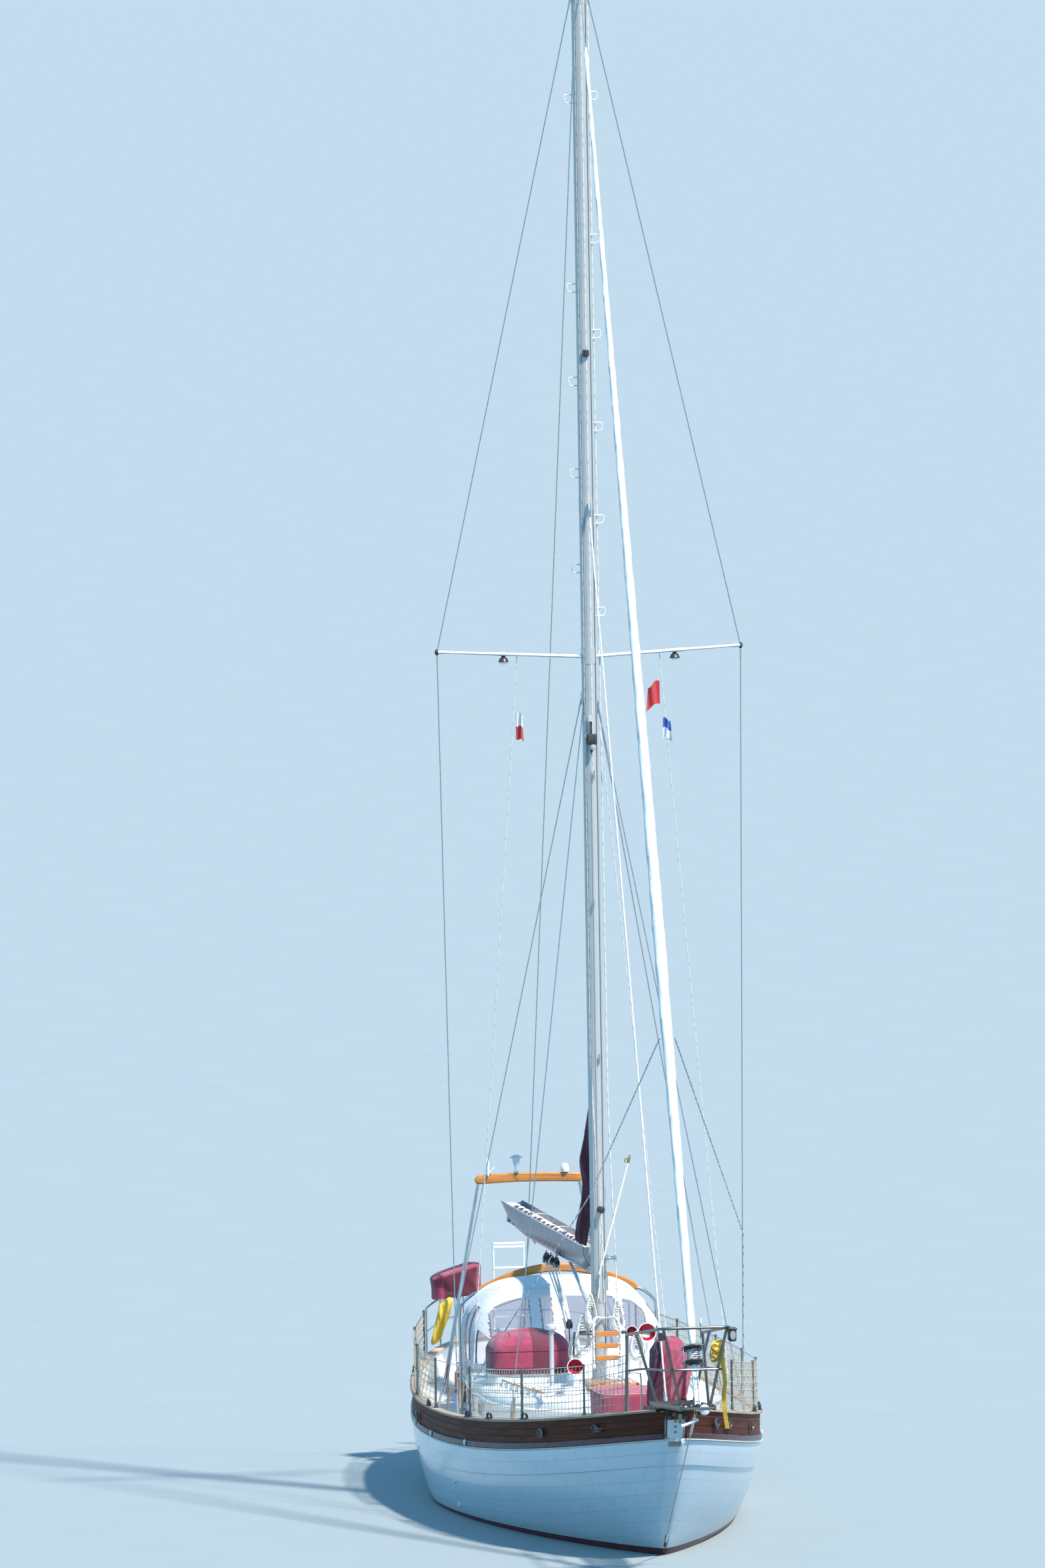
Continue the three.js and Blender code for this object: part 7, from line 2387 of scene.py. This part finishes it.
def rail_point(x, height, sign, out=0.0):
    """A point on the bulwark's face, a height above the deck's edge."""
    share = min(max(height / BULWARK_HIGH, 0), 1)
    y = mix(float(half_breadth(SHEER, x)), float(half_breadth(RAIL, x)), share) + out
    return np.array((x, sign * y, SHEER.z + float(rise(x)) + height))


OUTLETS = ((1.15, 0.76), (0.93, 0.65), (0.80, 0.54), (0.78, 0.43), (0.60, 0.14), (-0.6, 0.30),
           (-3.4, 0.45))           # x and z of the openings in the hull's side


def side_y(x, z):
    """The hull's half-breadth at a place on its side."""
    heights = [level.z + level.share * float(rise(x)) for level in LEVELS]
    return float(np.interp(z, heights, [float(half_breadth(level, x)) for level in LEVELS]))


def rail_way(x, sign):
    """The level direction straight out of the bulwark."""
    near = [float(half_breadth(RAIL, x + d)) for d in (-0.03, 0.03)]
    return unit((-(near[1] - near[0]) / 0.06, sign, 0))


def make_bow_platform():
    """Steel sides and rungs, dark slats between them, and white fittings at the roller."""
    aft, fore = PLATFORM["aft"], PLATFORM["fore"]
    steel, treads, white = Shape(), Shape(), Shape()

    def half(x):
        return mix(PLATFORM["half_aft"], PLATFORM["half_fore"], (x - aft) / (fore - aft))

    for sign in (-1, 1):
        ends = [np.array((x, sign * (half(x) - 0.012), platform_z(x) - 0.030))
                for x in (aft + 0.002, fore - 0.03)]
        steel.board(*ends, 0.022, 0.058, (0, 0, 1), 0.005)
        for x in (5.75, 6.55, 7.15):
            steel.bar((x, sign * half(x) * 0.9, platform_z(x) - 0.045), (x, 0, platform_z(x)
                                                                         - 0.045), 0.010, 8)
    line = [(x, y, platform_z(x) - 0.030) for x, y in
            ((fore - 0.045, -0.188), (fore - 0.016, -0.15), (fore - 0.016, 0.15),
             (fore - 0.045, 0.188))]
    steel.tube(smooth_line(line, 6), 0.015, 10)
    for x in np.arange(aft + 0.06, fore - 0.10, 0.090):
        w = half(x) - 0.026
        z = platform_z(x)
        treads.block((x, -w, z - 0.022), (x + 0.052, w, z - 0.003), 0.004)
    hub = np.array((7.345, 0.075, 1.848))
    white.lathe([(0, -0.050), (0.040, -0.050), (0.056, -0.030), (0.058, 0.018), (0.050, 0.034),
                 (0.020, 0.044), (0, 0.045)], hub, (1, -0.10, 0), 28)
    steel.board(hub - (0.20, 0, 0.05), hub - (0.03, 0, 0.0), 0.075, 0.012, (0, 1, 0), 0.003)
    white.bar((7.31, -0.175, 1.672), (7.31, 0.010, 1.742), 0.018, 10)
    steel.bar((7.25, -0.18, 1.70), (7.25, -0.18, 1.80), 0.020, 10)
    for y, z in ((-0.13, 1.83), (-0.06, 1.84), (0.02, 1.86)):
        steel.lathe([(0, -0.02), (0.022, -0.02), (0.028, 0), (0.022, 0.02), (0, 0.02)],
                    (7.28, y, z + 0.04), (0, 1, 0.1), 14)
        steel.bar((7.28, y, platform_z(7.28) - 0.01), (7.28, y, z + 0.04), 0.008, 8)
    steel.tube([(7.2 + 0.022 * math.cos(t), 0.0, platform_z(7.2) - 0.088
                 + 0.022 * math.sin(t)) for t in np.linspace(0, 2 * math.pi, 17)], 0.007, 8)
    steel.board((7.2, 0, platform_z(7.2) - 0.062), (7.2, 0, platform_z(7.2) - 0.09), 0.05, 0.010,
                (0, 1, 0), 0.003)
    steel.place("bow_platform_frame", "hull", "steel", "dull steel", replaces=("bow_platform",))
    treads.block((5.78, -0.105, 1.60), (5.955, 0.115, platform_z(5.8) - 0.064), 0.008)
    treads.bar((5.95, -0.03, 1.66), (5.975, -0.03, 1.66), 0.028, 16)
    treads.place("bow_platform_treads", "hull", "cap", "dark teak")
    white.place("bow_roller", "hull", "hull_white", "white")


def make_lamps():
    """Side lamp, bow staff and windlass."""
    dark, lens, pale = Shape(), Shape(), Shape()
    dark.block((7.18, 0.362, 2.575), (7.30, 0.445, 2.715), 0.012)
    dark.block((7.17, 0.355, 2.700), (7.31, 0.452, 2.722), 0.006)
    lens.loft([[(7.292 + 0.018 * up, 0.404 + 0.030 * math.cos(t), 2.645 + 0.048 * math.sin(t))
                for t in np.arange(20) / 20 * 2 * math.pi] for up in (0, 0.6, 1.0)])
    dark.block((7.20, -0.405, 2.60), (7.27, -0.345, 2.69), 0.01)
    dark.bar((7.26, 0.056, 2.62), (7.26, 0.056, 2.80), 0.005, 8)
    pale.lathe([(0, 0), (0.012, 0.003), (0.013, 0.05), (0, 0.055)], (7.26, 0.056, 2.78), steps=12)
    x, z = 4.05, deck_z(4.05, 0)
    dark.block((x - 0.16, -0.14, z - 0.004), (x + 0.16, 0.14, z + 0.05), 0.012)
    dark.lathe([(0, -0.24), (0.05, -0.24), (0.062, -0.22), (0.045, -0.19), (0.045, -0.13),
                (0.085, -0.11), (0.095, -0.02), (0.095, 0.05), (0.07, 0.08), (0.05, 0.14),
                (0.05, 0.19), (0.064, 0.22), (0.05, 0.24), (0, 0.24)], (x, 0, z + 0.13),
               (0, 1, 0), 24)
    dark.place("bow_lamp_cases", "hull", "black", "black")
    lens.place("bow_lamp_lens", "hull", "hull_white", "lens")
    pale.place("bow_staff_tip", "hull", "hull_white", "white")


def cleat(shape, centre, way, size=0.22):
    """A two-horned cleat on its base."""
    centre, way = np.asarray(centre, float), unit(way)
    up = np.array((0, 0, 1.0))
    shape.board(centre - way * size * 0.22, centre + way * size * 0.22, size * 0.16,
                size * 0.05, up, 0.003)
    for s in (-0.11, 0.11):
        shape.bar(centre + way * size * s, centre + way * size * s + up * size * 0.22,
                  size * 0.045, 8)
    shape.tube([centre + way * size * s + up * size * h for s, h in
                ((-0.5, 0.29), (-0.3, 0.25), (0, 0.23), (0.3, 0.25), (0.5, 0.29))],
               [size * r for r in (0.018, 0.045, 0.055, 0.045, 0.018)], 10)


def ovals(centre, way, big, sizes):
    """Rings of a hawse hole: how far each is grown, and how far out it lies."""
    along = np.cross(way, (0, 0, 1.0))
    return [[centre + way * out + along * ((0.050 + grow) * big * math.cos(t))
             + np.array((0, 0, (0.036 + grow) * big * math.sin(t)))
             for t in np.arange(28) / 28 * 2 * math.pi] for grow, out in sizes]


def make_side_fittings():
    """Fairleads on the cap, hawse holes, scuppers, outlets and cleats."""
    dark, bright, white = Shape(), Shape(), Shape()
    for _, sign in SIDES:
        for x in (-3.6, -0.4, 1.60, 2.39, 3.43):
            foot = rail_point(x, BULWARK_HIGH + CAP - 0.001, sign)
            along = np.cross(rail_way(x, sign), (0, 0, 1.0))
            dark.board(foot - along * 0.085, foot + along * 0.085, 0.050, 0.010, (0, 0, 1), 0.004)
            for s in (-0.055, 0.055):
                dark.tube(smooth_line([foot + along * s, foot + along * s * 1.1 + (0, 0, 0.045),
                                       foot + along * s * 0.35 + (0, 0, 0.062)], 5),
                          [0.015] * 8 + [0.013] * 2 + [0.008], 8)
        for x, high, big, label in ((3.86, 0.17, 1.0, bright), (4.95, 0.18, 0.9, bright),
                                    (5.34, 0.18, 1.1, dark), (-1.13, 0.14, 1.2, bright)):
            if label is dark and sign < 0:
                continue
            way = rail_way(x, sign)
            centre = rail_point(x, high, sign) + way * 0.032
            label.loft(ovals(centre, way, big, ((0.014, -0.006), (0.016, 0.006), (0.010, 0.012),
                                                (0.003, 0.010), (0.0, 0.002))), ends=False)
            dark.loft(ovals(centre, way, big, ((0.001, 0.0), (-0.03, 0.0005))))
        for x in (-1.38, -0.12, 1.56):
            way = rail_way(x, sign)
            centre = rail_point(x, 0.045, sign) + way * 0.030
            white.lathe([(0, 0.008), (0.014, 0.008), (0.026, 0.012), (0.035, 0.006), (0.035, 0)],
                        centre, way, 16)
        for x, z in OUTLETS if sign > 0 else OUTLETS[3:5]:
            way = unit((*(rail_way(x, sign)[:2]), 0))
            white.lathe([(0, 0.022), (0.010, 0.022), (0.018, 0.026), (0.026, 0.018),
                         (0.028, -0.004)], (x, sign * side_y(x, z), z), way, 14)
        for x, y in ((4.35, 0.86), (2.0, 1.45), (-3.1, 1.42), (-4.9, 0.72)):
            cleat(bright, (x, sign * y, deck_z(x, y) + 0.004), (1, -0.15 * sign, 0))
    for _, sign in SIDES:
        cleat(bright, rail_point(5.05, 0.16, sign, 0.045) - (0, 0, 0.02), (1, -0.6 * sign, 0),
              0.15)
    dark.place("side_fairleads", "hull", "black", "black")
    bright.place("side_bright_fittings", "hull", "steel", "dull steel")
    white.place("side_outlets", "hull", "hull_white", "white")


def net(lower, upper, across, up):
    """A square mesh of cords between a lower and an upper path, a little slack."""
    lower, upper = np.asarray(lower, float), np.asarray(upper, float)
    spots = np.linspace(0, len(lower) - 1, across + 1)
    rows = []
    for j in range(up + 1):
        share = j / up
        row = []
        for i, s in enumerate(spots):
            foot = np.array([np.interp(s, range(len(lower)), lower[:, k]) for k in range(3)])
            head = np.array([np.interp(s, range(len(upper)), upper[:, k]) for k in range(3)])
            slack = 0.008 * math.sin(1.7 * i + 2.3 * j) * math.sin(math.pi * share)
            row.append(mix(foot, head, share) + (slack, 0.6 * slack, 0.4 * slack))
        rows.append(row)
    points = [p for row in rows for p in row]
    wide = across + 1
    edges = [(j * wide + i, j * wide + i + 1) for j in range(up + 1) for i in range(across)]
    edges += [(j * wide + i, (j + 1) * wide + i) for j in range(up) for i in range(wide)]
    return points, edges


def make_nets():
    """Netting laced to the guardrails, on both bows and on the starboard quarter."""

    def along(fore, aft, height, sign):
        return [(x, rail_side(x, sign), cap_z(x) + height) for x in np.linspace(fore, aft, 24)]

    top = RAILING["high"] - 0.012
    for name, fore, aft, sign in (("port_bow", 4.70, 1.60, 1), ("starboard_waist", 4.70, 1.60, -1),
                                  ("starboard_quarter", -0.10, -4.40, -1),
                                  ("port_quarter", -0.10, -4.40, 1)):
        count = int((fore - aft) / 0.075)
        points, edges = net(along(fore, aft, 0.012, sign), along(fore, aft, top, sign), count, 7)
        grown(NET_TREE, f"net_{name}", "hull", "canvas", "cream cord", points, edges,
              Radius=0.0041)
    for _, sign in SIDES:
        low = [(5.33, sign * 0.462, cap_z(5.33) + 0.01), (4.7, rail_side(4.7, sign),
                                                         cap_z(4.7) + 0.012)]
        high = [(5.213, sign * 0.419, 2.25), (4.7, rail_side(4.7, sign), cap_z(4.7) + top)]
        points, edges = net(low, high, 10, 7)
        grown(NET_TREE, f"net_bow_end_{'port' if sign > 0 else 'starboard'}", "hull", "canvas",
              "cream cord", points, edges, Radius=0.0041)


def strap(path, width, across):
    """A flat band along a path, its width laid along one direction."""
    path = smooth_line(path, 8)
    across = unit(across) * width / 2
    return [path - across, path + across]


def make_webbing():
    """The yellow line on the bow rail: a bunch tied to it and one end hanging down."""
    bands = Shape()
    hang = [(7.16, 0.300, 2.50), (7.13, 0.318, 2.30), (7.0, 0.360, 2.10), (6.70, 0.395, 1.95),
            (6.64, 0.415, 1.75), (6.61, 0.440, 1.60), (6.60, 0.447, 1.555)]
    bands.loft(strap(hang, 0.045, (0.2, 1, 0)), closed=False)
    for k in range(6):
        t = k / 6 * 2 * math.pi
        reach = 0.055 + 0.012 * math.sin(2.6 * k)
        loop = [(7.12 + 0.03 * math.cos(t), 0.30 + 0.02 * k % 0.05, 2.52 - 0.02 * k)]
        loop += [(7.12 + 0.05 * math.cos(a + t), 0.26 + reach * math.sin(a + t) * 1.3,
                  2.49 + 0.085 * math.sin(a) - 0.012 * k) for a in np.linspace(0.3, 5.9, 9)]
        bands.loft(strap(loop, 0.034, (math.cos(t), 0.3, math.sin(t))), closed=False)
    thickened(bands, 0.003, "bow_webbing", "hull", "yellow", "webbing", crease=60)


def block(shape, centre, way, size):
    """A ball-bearing block: two cheeks, a sheave and its shackle."""
    centre, way = np.asarray(centre, float), unit(way)
    side = square_to(way)[0]
    for s in (-1, 1):
        face = centre + side * s * size * 0.28
        shape.lathe([(0, 0), (size * 0.5, 0), (size * 0.56, size * 0.05),
                     (size * 0.45, size * 0.16), (0, size * 0.18)], face, side * s, 18)
    shape.lathe([(0, -size * 0.2), (size * 0.42, -size * 0.2), (size * 0.32, 0),
                 (size * 0.42, size * 0.2), (0, size * 0.2)], centre, side, 18)
    shape.board(centre - way * size * 0.5, centre + way * size * 0.85, size * 0.3, size * 0.62,
                side, 0.003)


def make_sheets():
    """The tackle from the boom down to the deckhouse, in three parts."""
    foot = np.array((-0.50, -0.155, 2.02))
    heads = [np.array((-1.34, -0.275, 2.700)), np.array((-1.44, -0.205, 2.665)),
             np.array((-1.52, -0.135, 2.625))]
    blocks = Shape()
    for head in heads:
        block(blocks, head, (0.15, 0.05, 1), 0.085)
        blocks.bar(head + (0, 0, 0.05), head + (0.0, 0.0, 0.10), 0.007, 8)
    blocks.place("boom_blocks", "boom", "black", "black")
    low = Shape()
    block(low, foot, (0.1, 0, 1), 0.08)
    low.bar(foot - (0, 0, 0.03), (foot[0] + 0.05, foot[1], roof_z(foot[0], foot[1])), 0.008, 8)
    low.place("roof_block", "hull", "black", "black")
    line = Shape()
    for head in heads:
        for shift in (-0.020, 0.020):
            path = [mix(head, foot, s) + (0, shift, 0.01 * math.sin(math.pi * s))
                    for s in np.linspace(0, 1, 17)]
            line.tube(path, 0.0085, 8)
    piece = line.place("boom_tackle", None, "sail", "rope")
    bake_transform(piece)


ROPE, LINE = 0.0075, 0.0045       # radii of the running rigging


def hank(shape, head, drop, wide, turns):
    """A coil of rope hung up by its top, its loops spread a little and bound near the head."""
    head = np.asarray(head, float)
    path = []
    for k in np.linspace(0, 1, turns * 26 + 1):
        t = k * turns * 2 * math.pi
        loop = 1 - 0.10 * math.sin(1.7 * t / 6.28)
        side = math.sin(t) * (0.35 + 0.65 * (1 - math.cos(t)) / 2)
        path.append(head + (0.030 * math.sin(2.3 * t / 6.28 + head[1]) + 0.030 * (k - 0.5),
                            wide / 2 * side * loop + 0.012 * math.sin(4.1 * k * turns),
                            -drop / 2 * (1 - math.cos(t)) * loop))
    shape.tube(path, ROPE, 6)
    shape.tube([head + (0.030 * math.cos(t), 0.030 * math.sin(t), -0.20 * drop - 0.0045 * t)
                for t in np.linspace(0, 18.8, 60)], ROPE, 6)


def make_mast_lines():
    """Halyards down the mast, the coils on its pins and the flag lines."""
    lines = Shape()
    for path in (((0.800, -0.070, 17.0), (0.800, -0.072, 5.2), (0.822, -0.010, 3.50)),
                 ((0.822, -0.004, 17.0), (0.822, 0.010, 3.9), (0.832, 0.040, 2.40)),
                 ((0.700, 0.096, 17.0), (0.700, 0.135, 4.6), (0.700, 0.215, 2.20)),
                 ((0.822, 0.000, 3.42), (0.835, 0.012, 2.95), (0.850, -0.030, 2.45))):
        points = [np.array(path[0])]
        for a, b in zip(path, path[1:]):
            points += evenly(a, b, 24, 0.02)
        lines.tube(points, ROPE, 6)
    for top, foot in (((0.70, -0.82, 9.70), (0.70, -1.46, 1.50)),
                      ((0.70, 0.80, 9.70), (0.70, 1.46, 1.50)),
                      ((0.74, 0.090, 9.0), (0.75, 0.80, 1.55))):
        lines.tube(evenly(top, foot, 13), LINE, 6)
    lines.place("mast_lines", "hull", "sail", "rope")
    coils = Shape()
    for head, drop, wide, turns in (((0.80, -0.205, 2.26), 0.42, 0.19, 8),
                                    ((0.84, -0.120, 2.50), 0.36, 0.13, 6),
                                    ((0.80, 0.190, 2.42), 0.34, 0.13, 6),
                                    ((0.72, -0.290, 2.06), 0.30, 0.13, 5),
                                    ((0.86, 0.400, 2.06), 0.30, 0.20, 9)):
        hank(coils, head, drop, wide, turns)
    coils.place("mast_coils", "hull", "sail", "rope")
    rail = Shape()
    loop = [(0.72 + 0.17 * math.cos(t), 0.30 * math.sin(t), 2.045) for t in
            np.linspace(0, 2 * math.pi, 61)]
    rail.tube(loop, 0.012, 8)
    for x, y in ((0.72, -0.30), (0.72, 0.30)):
        rail.bar((x, y, roof_z(x, y) - 0.002), (x, y, 2.045), 0.012, 10)
    for y in (-0.26, 0.40):
        rail.tube([(0.84, y * 0.85, 2.045), (0.86, y, 2.065)], 0.008, 8)
    rail.place("mast_rail", "hull", "steel", "dull steel")


def make_headsail_sheets():
    """The headsail's two sheets, led from its clew past the shroud and the mast."""
    clew = mix(STAY_TACK, STAY_HEAD, 4.17 / float(np.linalg.norm(STAY_HEAD - STAY_TACK)))
    ropes = Shape()
    foot = rail_side(0.02, 1)
    for route in (((0.70, 1.657, 3.12), (0.02, foot, cap_z(0.02) + 0.004)),
                  ((0.845, -0.120, 3.60), (-0.65, -1.285, roof_z(-0.65, 1.31) - 0.075))):
        start = clew + (0, 0.080 if route[0][1] > 0 else -0.080, 0)
        points = [start]
        for a, b in zip((start, *route), route):
            points += evenly(a, b, 20, 0.04)
        ropes.tube(points, ROPE, 6)
    ropes.place("headsail_sheets", "hull", "sail", "fleck rope")


def make_rope_ladder():
    """The short timber ladder that hangs in rope ahead of the mast."""
    treads, ropes = Shape(), Shape()
    for z in (1.762, 1.900, 2.036):
        treads.block((0.995, -0.100, z), (1.040, 0.160, z + 0.056), 0.008)
        for y in (-0.122, 0.182):
            ropes.tube([(1.018 + 0.020 * math.cos(t), y + 0.010 * math.sin(t),
                         z + 0.010 + 0.006 * t) for t in np.linspace(0, 12.5, 44)], ROPE, 6)
            ropes.tube([(1.018, y, z + 0.028), (1.018, mix(y, 0.03, 0.2), z + 0.028)], 0.009, 6)
    for y in (-0.122, 0.182):
        drop = [(1.018, y, z) for z in np.linspace(1.70, 2.10, 12)]
        bend = [(1.00, y * 0.95 + 0.002, 2.17), (0.92, y * 0.7 + 0.01, 2.235), (0.84, 0.03, 2.22)]
        ropes.tube(smooth_line(drop + bend, 4), 0.0125, 10)
        ropes.lathe([(0, -0.03), (0.018, -0.022), (0.024, 0.0), (0.018, 0.022), (0, 0.028)],
                    (1.018, y, 1.70), steps=16)
    treads.place("rope_ladder_treads", "hull", "varnish", "varnish")
    ropes.place("rope_ladder_ropes", "hull", "sail", "rope")


def make_pole():
    """The boathook lashed beside the mast."""
    shape = Shape()
    foot, head = np.array((0.86, -0.02, 2.72)), np.array((0.60, 0.385, 4.00))
    shape.tube(evenly(foot, head, 9), 0.011, 10)
    shape.tube([mix(foot, head, s) for s in (0.96, 0.99, 1.02, 1.035)],
               [0.016, 0.016, 0.010, 0.004], 10, 1)
    shape.tube(smooth_line([head + (0, -0.01, 0.0), head + (0, -0.045, -0.01),
                            head + (0, -0.05, -0.05)], 6), 0.006, 8, 1)
    shape.place("boathook", "hull", "varnish", "cream", "bronze")


def flag(name, slot, label, corner, wide, high, drop, seed):
    """A small flag that hangs from its halyard in soft folds."""
    corner = np.asarray(corner, float)
    rows = []
    for i in range(25):
        u = i / 24
        row = []
        for j in range(19):
            v = j / 18
            wave = 0.022 * u ** 0.6 * math.sin(9 * u + 2.2 * v + seed)
            row.append(corner + (wave + 0.03 * u, wide * u * (0.72 + 0.12 * v),
                                 -high * v - drop * u ** 1.3 - 0.012 * math.sin(7 * u + seed)))
        rows.append(row)
    shape = Shape().loft(rows, (lambda j, i: 1 if label[1] and i > 8 else 0), closed=False)
    piece = thickened(shape, 0.0012, name, "hull", slot, label[0], label[1] or label[0], crease=70)
    area = cloth_area(piece)


def make_flags():
    """Three small plain flags under the spreaders."""
    flag("flag_white", "sail", ("flag white", "red cloth"), (0.70, -0.845, 9.07), 0.10, 0.30,
         0.02, 0.4)
    flag("flag_red", "burgundy", ("red cloth", None), (0.70, 0.80, 9.40), -0.19, 0.26, 0.09, 1.7)
    flag("flag_blue", "canvas", ("blue cloth", "flag white"), (0.70, 0.83, 8.97), 0.115, 0.22,
         0.04, 2.6)


def make_deck_gear():
    """Winches on the coaming, a loop rail ahead of the foredeck cover, and roof chocks."""
    bright, wood_parts = Shape(), Shape()
    for _, sign in SIDES:
        for x, big in ((-3.0, 1.0), (-3.75, 0.8)):
            y = 0.99 if x > -3.3 else 0.93
            z = 1.186
            base = deck_z(x, y) - z - 0.002
            wood_parts.lathe([(0, base), (0.085 * big, base), (0.080 * big, -0.004),
                              (0, -0.004)], (x, sign * y, z), steps=24)
            bright.lathe([(0, -0.005), (0.070 * big, -0.005), (0.072 * big, 0.012),
                          (0.052 * big, 0.03), (0.047 * big, 0.08 * big),
                          (0.056 * big, 0.115 * big), (0.062 * big, 0.125 * big),
                          (0.060 * big, 0.14 * big), (0.022 * big, 0.145 * big),
                          (0.020 * big, 0.13 * big), (0, 0.13 * big)], (x, sign * y, z), steps=32)
    rail = [(4.10, -0.225, 1.30), (4.10, -0.240, 1.86), (4.10, -0.225, 1.93), (4.10, -0.19, 1.94),
            (4.10, -0.12, 1.93), (4.10, -0.09, 1.86), (4.10, -0.09, 1.30)]
    bright.tube(smooth_line(rail, 6), 0.010, 10)
    x, y = 0.95, -0.59
    base = roof_z(x, y)
    pipe = Shape().lathe([(0, -0.006), (0.075, -0.006), (0.075, 0.004), (0.045, 0.014),
                          (0.030, 0.018), (0.027, 0.03), (0.025, 0.60), (0.034, 0.604),
                          (0.034, 0.616), (0.025, 0.62), (0.025, 0.655), (0.062, 0.657),
                          (0.066, 0.664), (0.060, 0.692), (0.036, 0.712), (0, 0.720)],
                         (x, y, base), steps=32)
    pipe.place("stove_pipe", "hull", "steel", "spar")
    bright.place("deck_bright_gear", "hull", "steel", "steel")
    for y in (-0.86, 0.86):
        wood_parts.block((1.30, y - 0.02, roof_z(1.3, y) - 0.004),
                         (1.36, y + 0.02, roof_z(1.3, y) + 0.05), 0.008)
    wood_parts.place("deck_timber_gear", "hull", "varnish", "trim")
    props = Shape()
    for x, y, low, high in ((-1.67, -1.40, 0.90, 1.27), (-0.45, -1.42, 0.96, 1.44),
                            (2.23, -1.25, 1.10, 1.50)):
        z = max(low, deck_z(x, y))
        props.board((x, y, z), (x + 0.03, y + 0.03, high), 0.055, 0.022, (0, 1, 0), 0.004)
    props.place("lashed_boards", "hull", "varnish", "grey teak")


def make_seams():
    """Stitching on the cloth, and plugs along the cap and the trim."""
    rows = hood_rows()
    paths = []
    for j in (22, 24):
        x, top, half = rows[j]
        y, z = hood_line(x, top, half)
        paths.append([(x, a, b + 0.0035) for a, b in zip(y, z)])
    points, edges = chain(*paths)
    grown(STITCH_TREE, "sprayhood_stitches", "hull", "canvas", "canvas", points, edges,
          Spacing=0.016, Length=0.010)
    spots, facing = [], []
    for _, sign in SIDES:
        for x in np.arange(-5.5, 5.6, 0.38):
            for shift in (-0.035, 0.035):
                p = rail_point(x, BULWARK_HIGH + CAP, sign, shift - 0.004)
                spots.append(p - (0, 0, 0.0005))
                facing.append((0, 0, 1))
    grown(STUD_TREE, "cap_plugs", "hull", "cap", "trim", spots, facing=facing, Radius=0.008,
          Height=0.18)


def dress_solids():
    """Finishes for the nodes whose own shape stays."""
    for node, label in (("deck", "deck"), ("rudder_blade", "antifoul"), ("rudder_stock", "bronze"),
                        ("propeller", "bronze"), ("engine_block", "engine"),
                        ("ladder_bracket", "steel")):
        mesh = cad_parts[node].data
        mesh.materials.clear()
        mesh.materials.append(PAINT[label])


def main():
    """The view and the light, then every piece of the boat."""
    make_camera()
    make_light()
    make_floor(PAINT["floor"])
    for make in (make_hull, make_bulwarks, make_cap_rail, make_stem_head, make_deckhouse,
                 make_house_trim, make_portlights, make_grab_rails, make_sliding_hatch,
                 make_fore_hatch, make_cockpit, make_coaming, make_steering, make_pulpit,
                 make_guardrails, make_pushpit, make_ladder, make_covers, make_sprayhood,
                 make_sling, make_mast, make_rigging, make_spreaders, make_headsail, make_boom,
                 make_luff_cover, make_gallows, make_stern_arch, make_cowls,
                 make_bow_platform, make_lamps, make_side_fittings, make_nets, make_webbing,
                 make_sheets, make_mast_cleats, make_mast_lines,
                 make_headsail_sheets, make_rope_ladder, make_pole, make_flags,
                 make_deck_gear, make_seams, dress_solids):
        make()


main()
